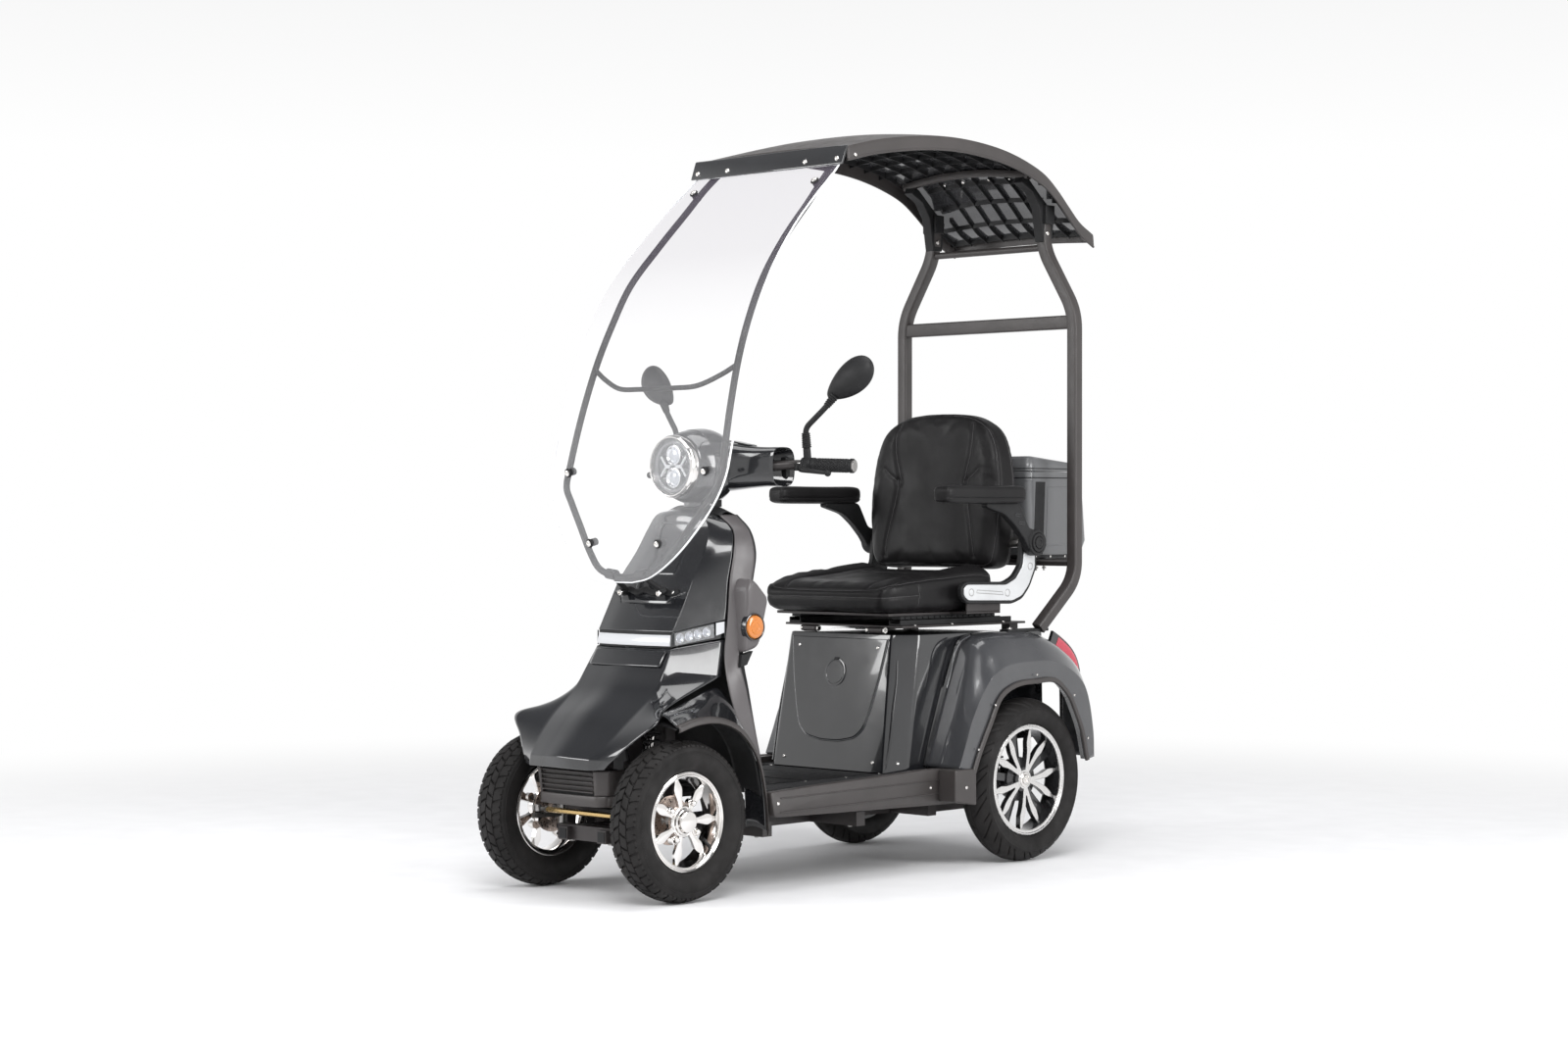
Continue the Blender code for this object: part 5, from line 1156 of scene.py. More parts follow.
def build_mudguards():
    """Guards over the front wheels: a grey lip, a rising top and a curved liner."""
    lip = ((-0.722, 0.396), (-0.661, 0.410), (-0.596, 0.410), (-0.540, 0.392), (-0.500, 0.360),
           (-0.468, 0.312), (-0.446, 0.229), (-0.437, 0.143))
    root = ((0.190, -0.708, 0.424), (0.190, -0.655, 0.436), (0.186, -0.600, 0.452), (0.180, -0.545, 0.468),
            (0.176, -0.500, 0.470), (0.196, -0.462, 0.400), (0.203, -0.448, 0.300), (0.205, -0.440, 0.150))
    for label, side in SIDES:
        rows = []
        for (y, z), inner in zip(lip, root):
            outer = Vector((0.268, y, z + 0.0015))
            middle = outer.lerp(Vector(inner), 0.55) + Vector((0, -0.001, 0.006))
            rows.append([on_side(p, side) for p in (inner, middle, outer)])
        top = piece(f"mudguard_top_{label}", grid(surface(rows, 8, 8)), "gloss_black",
                    stands_for=(f"front_mudguard_{label}",), smooth=40)
        thicken(top, 0.0025, 0.0)
        rows = []
        for i, (y, z) in enumerate(lip):
            out = min(i, 1) * 0.0005
            rows.append([on_side(p, side) for p in (
                (0.263, y, z + 0.0035), (0.272 + out, y, z + 0.0030), (0.2750 + out, y, z - 0.0010),
                (0.2755 + out, y, z - 0.0075), (0.2720 + out, y, z - 0.0090))])
        dense = [spline(column, 8) for column in zip(*rows)]
        band = piece(f"mudguard_lip_{label}", grid([list(row) for row in zip(*dense)]), "satin_brown_grey",
                     smooth=50)
        thicken(band, 0.0025, 1.0 if side > 0 else -1.0)
        # Liner between the guard and the body, above the wheel
        rows = []
        for (y, z), inner in zip(lip[:7], root[:7]):
            rows.append([on_side(p, side) for p in (
                (0.262, y + 0.001, z - 0.004), (0.215, y + 0.003, z + 0.004), (0.176, y + 0.004, z + 0.006))])
        liner = piece(f"mudguard_liner_{label}", grid(surface(rows, 4, 6)), "black_plastic", smooth=50)
        thicken(liner, 0.002, 0.0)


def build_fairing():
    """Front cowl with its engraved panel, and the bracket of the screen's hoop."""
    # The front bulges by this much, and has this many columns between two creases
    crown, columns = 0.014, 26
    rows = []
    for z, crease_x, crease_y, seam_x, seam_y, seam_z in FAIRING_SECTIONS:
        rows.append(both_sides((
            (seam_x - 0.0014, seam_y - 0.0014, seam_z), (crease_x, crease_y, z),
            (crease_x * 0.55, crease_y - crown * 0.75, z), (0, crease_y - crown, z))))
    dense = surface(rows, columns, 24, (1, 5))
    panel = rounded_loop(flat_path(((-0.066, 0.7325), (0.066, 0.7325), (0.058, 0.800), (0.047, 0.852),
                                    (-0.047, 0.852), (-0.058, 0.800))), 0.012)
    panel.append(panel[0])
    line = flat_path(((-0.117, 0.690), (-0.085, 0.680), (-0.076, 0.668), (0.076, 0.668), (0.085, 0.680),
                      (0.117, 0.690)))
    inward = Vector((0, 0.93, -0.37))
    middle = len(dense[0]) // 2
    reach = 2 * columns - 1
    for row in dense:
        row[middle - reach:middle + reach + 1] = engrave(
            [row[middle - reach:middle + reach + 1]], (panel, line), 0.0024, 0.0016, inward)[0]
    skin = piece("fairing_skin", grid(dense), "gloss_black", stands_for=("front_fairing",), smooth=40,
                 away=(0, -0.3, 0.7))
    soften(skin, 0.0028, 3, 16)
    thicken(skin, 0.003)
    # Wavy bracket below the panel that takes the screen's hoop
    points = []
    for i in range(41):
        x = -0.100 + 0.005 * i
        wave = 0.0035 * math.cos(math.tau * x / 0.055)
        y = -0.5545 - 0.012 + 0.011 * (abs(x) / 0.125) ** 2 + (0.004 if abs(x) > 0.09 else 0)
        points.append(Vector((x, y, 0.694 + wave)))
    strap = sweep(points, [(-0.0035, -0.007), (0.0035, -0.007), (0.0035, 0.007), (-0.0035, 0.007)],
                  up=(0, 0.37, 0.93))
    for side in (1, -1):
        rod((side * 0.065, -0.566, 0.696), (side * 0.065, -0.585, 0.690), 0.0085, 0.008, 20, strap)
    clip = piece("hoop_bracket", strap, "black_plastic", smooth=35)
    soften(clip, 0.0015, 2, 40)
    bolts = bmesh.new()
    for side in (1, -1):
        screw(bolts, (side * 0.065, -0.585, 0.690), (0, -0.95, -0.3), 0.0072, 0.005)
        screw(bolts, (side * 0.088, -0.5620, 0.6925), (0, -0.95, 0.3), 0.0042, 0.0025)
    piece("hoop_bracket_bolts", bolts, "chrome", smooth=35)


def lens_box(near, far, low, high, inset, bm):
    """A thin plate between two upright edges, each (x, y), with heights at both. Gives the way it faces."""
    corners = []
    for (x, y), bottom, top in ((near, low[0], high[0]), (far, low[1], high[1])):
        corners.append((Vector((x, y, bottom)), Vector((x, y, top))))
    (a, b), (c, d) = corners
    along = (c - a).normalized()
    out = along.cross(Vector((0, 0, 1))).normalized()
    if out.y > 0 and abs(out.x) < abs(out.y) or out.dot(Vector((near[0], 0, 0))) < 0:
        out = -out
    ring = [a, c, d, b]
    verts = [bm.verts.new(point + out * inset) for point in ring]
    verts += [bm.verts.new(point + out * (inset - 0.0022)) for point in ring]
    for quad in ((0, 1, 2, 3), (7, 6, 5, 4), (0, 4, 5, 1), (1, 5, 6, 2), (2, 6, 7, 3), (3, 7, 4, 0)):
        bm.faces.new([verts[i] for i in quad])
    return out


def build_light_strip():
    """White bar across the nose, a dark seam round it and a lamp of four lenses on each side."""
    half = ((0.1215, -0.6035, 0.5838), (0.100, -0.6085, 0.5838), (0.070, -0.6135, 0.5838),
            (0.035, -0.6160, 0.5838), (0, -0.6168, 0.5838))
    path = [Vector(p) for p in (*half, *mirrored(reversed(half[:-1])))]
    path = spline(path, 6)
    backing = sweep(path, [(0.003, -0.0185), (0.011, -0.0185), (0.011, 0.0185), (0.003, 0.0185)],
                    up=(0, 0, 1))
    piece("light_backing", backing, "black_plastic", stands_for=("light_strip",))
    section = [(0.006, -0.0135), (0.0012, -0.0135), (0, -0.0120), (-0.0008, 0), (0, 0.0120), (0.0012, 0.0135),
               (0.006, 0.0135)]
    piece("light_bar", sweep(path, section, up=(0, 0.25, 0.97)), "white_lens", smooth=40)
    for label, side in SIDES:
        near, far = (side * 0.1655, -0.4680), (side * 0.1265, -0.6010)
        bm = bmesh.new()
        lens_box(near, far, (0.5865, 0.5675), (0.6255, 0.6010), -0.0085, bm)
        for (x, y), low, high in ((near, 0.5865, 0.6255), (far, 0.5675, 0.6010)):
            rod((x * 0.99, y, low), (x * 0.99, y, high), 0.0016, sides=8, bm=bm)
        piece(f"side_lamp_back_{label}", bm, "gloss_black")
        bm = bmesh.new()
        out = lens_box((side * 0.1575, -0.4960), (side * 0.1290, -0.5935), (0.5880, 0.5712), (0.6195, 0.6000),
                       -0.0012, bm)
        piece(f"side_lamp_lens_{label}", bm, "lamp_lens")
        cups = bmesh.new()
        bulbs = bmesh.new()
        for i in range(4):
            front, rear = Vector((side * 0.1290, -0.5935, 0.5858)), Vector((side * 0.1565, -0.4990, 0.6030))
            place = front.lerp(rear, (i + 0.6) / 4.3)
            turn = out.to_track_quat("Z", "Y").to_matrix().to_4x4()
            cup = lathe([(-0.0070, 0.0030), (-0.0045, 0.0072), (-0.0026, 0.0098), (-0.0026, 0.0108),
                         (-0.0080, 0.0108), (-0.0080, 0.0030), (-0.0070, 0.0030)],
                        (0, 0, 0), axis="Z", steps=20)
            absorb(cups, cup, Matrix.Translation(place) @ turn)
            dome = ball((0, 0, -0.0062), (0.0046, 0.0046, 0.0030), detail=6)
            absorb(bulbs, dome, Matrix.Translation(place) @ turn)
        piece(f"side_lamp_cups_{label}", cups, "reflector")
        piece(f"side_lamp_bulbs_{label}", bulbs, "bulb")
        slash = bmesh.new()
        lens_box((side * 0.1650, -0.4705), (side * 0.1590, -0.4910), (0.5990, 0.5925), (0.6245, 0.6215),
                 -0.0004, slash)
        piece(f"side_lamp_tip_{label}", slash, "white_lens")


def build_leg_shield():
    """Satin sides that turn into a black back towards the rider, with a pod for each indicator."""
    sides, backs = [], []
    for z, seam_x, seam_y, rear_x, rear_y, back_y in SHIELD_SECTIONS:
        sides.append([Vector((seam_x, seam_y, z)),
                      Vector(((seam_x + rear_x) / 2 + 0.0015, (seam_y + rear_y) / 2, z)),
                      Vector((rear_x, rear_y, z))])
        backs.append(both_sides(((rear_x, rear_y, z), (rear_x * 0.93, back_y + (rear_y - back_y) * 0.25, z),
                                 (rear_x * 0.70, back_y, z), (0, back_y - 0.004, z))))
    for label, side in SIDES:
        rows = [[on_side(p, side) for p in row] for row in sides]
        strip = piece(f"shield_side_{label}", grid(surface(rows, 5, 8)), "shield_grey",
                      stands_for=("leg_shield",) if side > 0 else (), smooth=40, away=(0, -0.42, 0.5))
        thicken(strip, 0.0028, -1.0)
    dense = surface(backs, 10, 8)
    back = piece("shield_back", grid(dense), "black_plastic", smooth=40, away=(0, -0.8, 0.5))
    thicken(back, 0.0028)
    # Cap that closes the top between the fairing and the shield
    front = both_sides(((0.098, -0.419, 0.870), (0.050, -0.430, 0.883), (0.022, -0.4395, 0.886),
                        (0, -0.4535, 0.8855)))
    middle = both_sides(((0.100, -0.400, 0.880), (0.060, -0.400, 0.893), (0.030, -0.404, 0.894),
                         (0, -0.408, 0.894)))
    rear = both_sides(((0.105, -0.374, 0.872), (0.073, -0.357, 0.874), (0.035, -0.359, 0.874),
                       (0, -0.360, 0.874)))
    cap = piece("shield_cap", grid(surface((front, middle, rear), 6, 8)), "black_plastic", smooth=40)
    thicken(cap, 0.0028)
    outline = ((-0.440, 0.701), (-0.425, 0.727), (-0.408, 0.716), (-0.374, 0.683), (-0.372, 0.672),
               (-0.402, 0.569), (-0.412, 0.560), (-0.450, 0.551))
    for label, side in SIDES:
        rings = []
        for x, share in ((0.158, 1.0), (0.202, 0.985), (0.2085, 0.95), (0.212, 0.88)):
            ring = []
            for y, z in outline:
                ring.append(Vector((side * x, -0.414 + (y + 0.414) * share, 0.640 + (z - 0.640) * share)))
            rings.append(rounded_loop(ring, 0.010, 3))
        pod = piece(f"indicator_pod_{label}", grid(rings, wrap=True, caps=True), "shield_grey", smooth=50)
        soften(pod, 0.002, 2, 30)
        # Black block under the pod: painted shade of the cavity there
        bm = prism([(-0.447, 0.548), (-0.410, 0.556), (-0.430, 0.524), (-0.452, 0.518)], "X",
                   *sorted((side * 0.1855, side * 0.2000)))
        cavity = piece(f"shield_cavity_{label}", bm, "black_plastic")
        soften(cavity, 0.002, 2, 30)
        centre = (side * 0.212, -0.421, 0.612)
        bezel = turned(side, ((-0.010, 0.0265), (0.0032, 0.0282), (0.0046, 0.0300), (0.0038, 0.0322),
                              (-0.010, 0.0335), (-0.010, 0.0265)), centre, steps=48)
        piece(f"indicator_bezel_{label}", bezel, "gloss_black", stands_for=(f"indicator_{label}",), smooth=45)
        lens = turned(side, (
            (-0.008, 0.0), (-0.008, 0.0266), (0.0035, 0.0270), (0.0062, 0.0255), (0.0080, 0.0220),
            (0.0083, 0.0170), (0.0092, 0.0165), (0.0096, 0.0100), (0.0090, 0.0095), (0.0098, 0.0)),
                      centre, steps=48)
        piece(f"indicator_lens_{label}", lens, "amber_lens", smooth=25)


def build_grille():
    """Moulded nose with deep louvres and a proud lower band."""
    stations = ((0.2385, 0.1050, 0.0940), (0.268, 0.1090, 0.0970), (0.2960, 0.1130, 0.1000))
    rows = []
    for z, wide, narrow in stations:
        lean = (z - 0.2385) * 0.10
        rows.append(both_sides(((wide, -0.731, z), (wide + 0.008, -0.786 - lean, z),
                                (narrow, -0.807 - lean, z), (0.088, -0.8085 - lean, z),
                                (0.0875, -0.799 - lean, z), (0, -0.799 - lean, z))))
    shell = piece("grille_shell", grid([list(row) for row in zip(*[spline(c, 6) for c in zip(*rows)])]),
                  "satin_brown_grey", stands_for=("nose_grille",), smooth=35)
    soften(shell, 0.0022, 2, 25)
    thicken(shell, 0.003)
    louvres = bmesh.new()
    for i in range(5):
        z = 0.2455 + 0.0112 * i
        half = 0.0872
        prism([(-0.8015 - 0.001 * i * 0.5, z - 0.0024), (-0.8120 - 0.001 * i * 0.5, z - 0.0008),
               (-0.8126 - 0.001 * i * 0.5, z + 0.0012), (-0.8015 - 0.001 * i * 0.5, z + 0.0034)],
              "X", -half, half, louvres)
    fins = piece("grille_louvres", louvres, "satin_brown_grey")
    soften(fins, 0.0008, 2, 30)
    path = both_sides(((0.104, -0.732, 0.2255), (0.1110, -0.786, 0.2255), (0.0945, -0.8070, 0.2255),
                       (0.050, -0.8105, 0.2255), (0, -0.8112, 0.2255)))
    band = sweep(rounded(path, 0.008, 3), [(0.006, -0.0125), (0, -0.0125), (-0.0012, -0.0105),
                                           (-0.0012, 0.0105), (0, 0.0125), (0.006, 0.0125)], up=(0, 0, 1))
    lower = piece("grille_band", band, "satin_brown_grey", smooth=35)
    soften(lower, 0.001, 2, 40)
    dark = prism([(-0.800, 0.214), (-0.800, 0.296), (-0.742, 0.296), (-0.742, 0.214)], "X", -0.094, 0.094)
    piece("grille_core", dark, "black_plastic")


BOX_FOOT_Z = 0.2383
BOX_TOP_Z = 0.576


def box_wall(z):
    """Half width of the front, its y, and half width and y behind the corner chamfer, at a height."""
    t = (z - BOX_FOOT_Z) / (BOX_TOP_Z - BOX_FOOT_Z)
    return 0.188 - 0.016 * t, 0.052 + 0.052 * t, BODY_X - 0.006 * t, 0.110 + 0.050 * t


def build_seat_box():
    """Box under the seat, its front cover with the charge flap, and the panel on its rear."""
    rings = []
    heights = (0.2390, 0.2405, 0.2980, 0.3000, 0.36, 0.42, 0.48, 0.54, 0.5660, 0.5745, 0.5760)
    for z in heights:
        front_x, front_y, side_x, side_y = box_wall(z)
        inset = {0.2390: 0.002, 0.5745: 0.0012, 0.5760: 0.004}.get(z, 0)
        # Behind the battery the box is open below, for the axle
        rear = 0.640 if z >= 0.3000 else 0.2405
        corners = [(front_x - inset * 0.4, front_y + inset), (side_x - inset, side_y + inset * 0.4),
                   (side_x - inset, rear - inset)]
        half = [Vector((x, y, z)) for x, y in corners]
        rings.append(rounded_loop(half + mirrored(reversed(half)), 0.009, 5))
    bm = grid(rings, wrap=True, caps=True)
    piece("seat_box_skin", bm, "gloss_black", stands_for=("seat_box",), smooth=38)

    # Cover in the front wall, with a raised bead along its U, whose lighter grey is a painted highlight
    half = ((0.1605, 0.5645), (0.1440, 0.473), (0.1250, 0.397), (0.1080, 0.345), (0.0820, 0.322),
            (0.0300, 0.312))
    outline = rounded([Vector((x, z)) for x, z in half] + [Vector((-x, z)) for x, z in reversed(half)],
                      0.014, 5)
    face = bmesh.new()

    def on_wall(x, z, out):
        _, front_y, _, _ = box_wall(z)
        return Vector((x, front_y - out, z))

    rings = []
    cover_z = 0.46
    for share, out in ((1.0, -0.001), (1.0, 0.0028), (0.988, 0.0040), (0.90, 0.0044), (0.5, 0.0046)):
        rings.append([on_wall(p.x * share, cover_z + (p.y - cover_z) * share, out) for p in outline])
    grid(rings, face, wrap=True)
    face.verts.ensure_lookup_table()
    face.faces.new([face.verts[i - len(outline)] for i in range(len(outline))])
    piece("battery_cover_panel", face, "gloss_black", stands_for=("battery_cover",), smooth=30)
    # The bead's grey, lighter than the cover, is a painted highlight along its lip
    bead = [on_wall(p.x * 1.012, cover_z + (p.y - cover_z) * 1.014, 0.0004) for p in outline]
    piece("battery_cover_bead", tube(bead, 0.0021, sides=10), "gloss_grey", smooth=60)
    centre = on_wall(0, 0.479, 0.0042)
    lean = Matrix.Translation(centre) @ Matrix.Rotation(-math.atan2(0.052, BOX_TOP_Z - BOX_FOOT_Z), 4, "X")
    flap = lathe([(0.0, 0.0355), (-0.0014, 0.0350), (-0.0020, 0.0335), (-0.0020, 0.0305), (-0.0012, 0.0298),
                  (-0.0012, 0.0280), (-0.0022, 0.0272), (-0.0026, 0.0)], (0, 0, 0), axis="Y", steps=64)
    piece("charge_flap", moved(flap, lean), "gloss_black", smooth=28)
    tab = prism([(-0.008, 0.030), (0.008, 0.030), (0.006, 0.0375), (-0.006, 0.0375)], "Y", -0.0032, 0.0)
    soften(piece("charge_flap_tab", moved(tab, lean), "black_plastic"), 0.0008, 2, 30)
    screws = bmesh.new()
    for side in (1, -1):
        screw(screws, on_wall(side * 0.150, 0.263, 0), (0, -1, 0.1), 0.0045)
        screw(screws, on_wall(side * 0.1325, 0.543, 0.0046), (0, -1, 0.1), 0.0038)
        screw(screws, (side * 0.2035, 0.0875, 0.262), (side * 0.86, -0.5, 0.1), 0.0042)
    piece("seat_box_screws", screws, "chrome", smooth=35)
    # Pressed panel with slots and screws on the rear wall
    panel = []
    for half, low, high, y in ((0.150, 0.330, 0.545, 0.6395), (0.150, 0.330, 0.545, 0.6420),
                               (0.146, 0.334, 0.541, 0.6428)):
        corners = rounded_loop(((half, low), (half, high), (-half, high), (-half, low)), 0.016, 5)
        panel.append([Vector((p[0], y, p[1])) for p in corners])
    piece("seat_box_rear_panel", grid(panel, wrap=True, caps=True), "black_plastic", smooth=35)
    slots, heads = bmesh.new(), bmesh.new()
    for i in range(6):
        z = 0.360 + i * 0.012
        section = [(0.0022 * u, 0.0016 * v) for u, v in circle(1, 10)]
        sweep([(-0.105, 0.6425, z), (0.105, 0.6425, z)], section, slots, up=(0, 0, 1))
    for side in (1, -1):
        for z in (0.350, 0.525):
            screw(heads, (side * 0.136, 0.6428, z), (0, 1, 0), 0.0042)
    piece("seat_box_rear_slots", slots, "gloss_black", smooth=50)
    piece("seat_box_rear_screws", heads, "chrome", smooth=35)
    # Flutes on the corner chamfers
    for label, side in SIDES:
        path = [on_side(p, side) for p in ((0.1835, 0.1090, 0.512), (0.1885, 0.1010, 0.461),
                                           (0.1915, 0.0870, 0.400), (0.1935, 0.0790, 0.355),
                                           (0.1935, 0.0690, 0.300), (0.1905, 0.0565, 0.251))]
        flute = tube(spline(path, 6), 0.0026, sides=8)
        piece(f"seat_box_flute_{label}", flute, "gloss_black", smooth=60)


def fender_row(x, share):
    """The fender's outline at a place across, a share of the way from the body to the wheel side."""
    points = [(x, y0 + (y1 - y0) * share, z0 + (z1 - z0) * share) for y0, z0, y1, z1 in FENDER_OUTLINE]
    return spline(points, 8)


def even(points, count):
    """Points at even distances along a line."""
    points = [Vector(p) for p in points]
    lengths = [0.0]
    for a, b in zip(points, points[1:]):
        lengths.append(lengths[-1] + (b - a).length)
    made = []
    index = 0
    for i in range(count):
        target = lengths[-1] * i / (count - 1)
        while index < len(points) - 2 and lengths[index + 1] < target:
            index += 1
        span = max(lengths[index + 1] - lengths[index], 1e-9)
        made.append(points[index].lerp(points[index + 1], (target - lengths[index]) / span))
    return made


def build_fenders():
    """Rear fenders with the trim of the arch, screws, gutter and tail lamp."""
    for label, side in SIDES:
        rows = []
        # Stations across: x, share of the way from the body outline to the wheel-side outline
        for x, share in ((BODY_X + 0.0006, 0.0), (0.240, 0.0), (0.262, 0.005), (0.277, 0.05), (0.292, 0.19),
                         (0.304, 0.38), (0.314, 0.60), (0.322, 0.80), (0.3275, 0.93), (0.3295, 0.985),
                         (FENDER_X, 1.0)):
            rows.append(even(fender_row(x, share), FENDER_STEPS))
        arch = even(spline([(FENDER_X, y, z) for y, z in ARCH], 8), FENDER_STEPS)
        edge = rows[-1]
        for share in (0.04, 0.5, 0.96, 1.0):
            rows.append([a.lerp(b, share) for a, b in zip(edge, arch)])
        rows.append([p + Vector((-0.022, 0, 0)) for p in arch])
        rows = [[on_side(p, side) for p in row] for row in rows]
        shell = piece(f"fender_shell_{label}", grid(rows), "gloss_grey", stands_for=(f"rear_fender_{label}",),
                      smooth=32, away=(side * 0.25, 0.46, 0.2))
        thicken(shell, 0.0028)
        # Trim round the arch
        trim = sweep([on_side(p + Vector((0.0035, 0, 0)), side) for p in arch],
                     [(side * u, v) for u, v in ((0.001, -0.0035), (0.010, -0.0035), (0.0118, -0.001),
                                                 (0.0118, 0.002), (0.010, 0.0045), (0.001, 0.0045),
                                                 (-0.0012, 0.002), (-0.0012, -0.001))],
                     up=(1, 0, 0))
        piece(f"arch_trim_{label}", trim, "satin_brown_grey", smooth=40)
        heads = bmesh.new()
        screw(heads, (side * 0.262, 0.189, 0.261), (0, -0.8, 0.5), 0.0030, 0.0016)
        for y, z in ((0.236, 0.296), (0.300, 0.402), (0.462, 0.470), (0.612, 0.412), (0.668, 0.300)):
            screw(heads, (side * (FENDER_X + 0.008), y, z), (side, 0, 0), 0.0030, 0.0016)
        piece(f"fender_screws_{label}", heads, "chrome", smooth=35)
        # Moulded groove line where the fender leaves the body
        gutter = [on_side((0.2505, y, z), side) for y, z in (
            (0.2170, 0.4440), (0.2290, 0.4730), (0.2460, 0.5280), (0.2700, 0.5560), (0.3050, 0.5700))]
        piece(f"fender_gutter_{label}", tube(spline(gutter, 6), 0.0022, sides=8), "gloss_grey", smooth=60)
        build_tail_lamp(label, side)


def build_tail_lamp(label, side):
    """Red lens in a black bezel, on the rear top corner of the fender."""
    outer = even(fender_row(0.260, 0.0), FENDER_STEPS)
    picked = [p for p in outer if p.y > 0.60 and 0.395 < p.z < 0.553]
    path = [on_side((0.260, p.y + 0.0062, p.z + 0.0035), side) for p in picked]
    sides = [(0.0055, -0.024), (0.0022, -0.0255), (-0.0040, -0.0255), (-0.0040, 0.0255), (0.0022, 0.0255),
             (0.0055, 0.024)]
    bezel = sweep(path, [(v, u) for u, v in sides], up=(1, 0, 0))
    piece(f"tail_bezel_{label}", bezel, "gloss_black", stands_for=(f"tail_lamp_{label}",), smooth=40)
    path = [on_side((0.260, p.y + 0.0095, p.z + 0.0055), side) for p in picked[2:-2]]
    lens = [(0.0052, -0.0200), (0.0030, -0.0225), (-0.0030, -0.0225), (-0.0030, 0.0225), (0.0030, 0.0225),
            (0.0052, 0.0200), (0.0062, 0.0080), (0.0062, -0.0080)]
    piece(f"tail_lens_{label}", sweep(path, [(v, u) for u, v in lens], up=(1, 0, 0)), "red_lens", smooth=40)


def build_floor():
    """Ribbed mat on the deck, and the sills with their screws."""
    front, rear, top = -0.4395, 0.2395, 0.2375
    bm = block((-0.2615, front, 0.2305), (0.2615, rear, top))
    for side in (1, -1):
        low, high = sorted((side * 0.251, side * 0.2618))
        block((low, front, 0.181), (high, rear, top), bm)
    deck = piece("deck_board", bm, "black_plastic", stands_for=("foot_deck",))
    soften(deck, 0.001, 2, 40)
    # Ribs across the mat, in three bands with slanted ends
    ribs = bmesh.new()
    pitch = 0.0062
    for low, high in ((-0.346, -0.226), (-0.206, -0.086), (-0.066, 0.036)):
        count = int((high - low) / pitch)
        for i in range(count):
            y = low + pitch * i
            half = 0.178 - 0.10 * max(0, 0.5 - abs(i / count - 0.5)) * 0.18
            prism([(y, 0.2374), (y + 0.0012, 0.2400), (y + 0.0030, 0.2400), (y + 0.0042, 0.2374)],
                  "X", -half, half, ribs)
    piece("deck_ribs", ribs, "black_plastic", smooth=20)
    frames = bmesh.new()
    for side in (1, -1):
        for i in range(5):
            x = side * (0.190 + 0.0120 * i)
            prism([(x - 0.0022, 0.2374), (x - 0.0010, 0.2396), (x + 0.0010, 0.2396), (x + 0.0022, 0.2374)],
                  "Y", -0.425, 0.050, frames)
    piece("deck_edge_ribs", frames, "black_plastic", smooth=20)
    heads = bmesh.new()
    for side in (1, -1):
        for y in (-0.405, -0.216, -0.076, 0.044):
            screw(heads, (side * 0.184, y, 0.2376), (0, 0, 1), 0.0042, 0.0020)
    piece("deck_screws", heads, "chrome", smooth=35)
    for label, side in SIDES:
        outline = ((-0.424, 0.175), (-0.438, 0.234), (-0.300, 0.2395), (-0.100, 0.2450), (0.10, 0.252),
                   (0.228, 0.2495), (0.215, 0.162), (0.100, 0.1635), (-0.200, 0.1700))
        rings = []
        for x, inset in ((0.2625, 0.0), (0.2790, 0.0), (0.2815, 0.0012), (0.2825, 0.0040)):
            ring = []
            for y, z in outline:
                ring.append(Vector((side * x, -0.1 + (y + 0.1) * (1 - inset * 1.5),
                                    0.207 + (z - 0.207) * (1 - inset * 18))))
            rings.append(rounded_loop(ring, 0.010, 4))
        sill = piece(f"sill_panel_{label}", grid(rings, wrap=True, caps=True), "satin_brown_grey",
                     stands_for=(f"side_sill_{label}",), smooth=40)
        soften(sill, 0.0015, 2, 35)
        # Long hollow pressed into the sill's face
        for low, high in ((0.181, 0.196), (0.214, 0.229)):
            path = [(side * 0.2832, y, (low + high) / 2 + (y + 0.1) * 0.010)
                    for y in (-0.405, -0.25, -0.10, 0.05, 0.195)]
            piece(f"sill_line_{int(low * 1000)}_{label}", tube(spline(path, 4), 0.0016, sides=8),
                  "satin_brown_grey", smooth=60)
        step = prism([(0.150, 0.172), (0.150, 0.250), (0.229, 0.2505), (0.229, 0.160)], "X",
                     *sorted((side * 0.2815, side * (FENDER_X + 0.0075))))
        ledge = piece(f"sill_step_{label}", step, "satin_brown_grey")
        soften(ledge, 0.004, 3, 40)
        heads = bmesh.new()
        for x, y, z in ((0.2828, -0.4135, 0.207), (0.2828, 0.120, 0.207), (FENDER_X + 0.0075, 0.190, 0.206)):
            screw(heads, (side * x, y, z), (side, 0, 0), 0.0042, 0.0022)
        piece(f"sill_screws_{label}", heads, "chrome", smooth=35)


def build_body():
    """Every body panel, with its lamps and trim."""
    build_bonnet()
    build_mudguards()
    build_fairing()
    build_light_strip()
    build_leg_shield()
    build_grille()
    build_seat_box()
    build_fenders()
    build_floor()


# Seat and armrests

def evaluated_mesh(obj):
    """The object's mesh with its modifiers applied."""
    graph = bpy.context.evaluated_depsgraph_get()
    return bpy.data.meshes.new_from_object(obj.evaluated_get(graph))


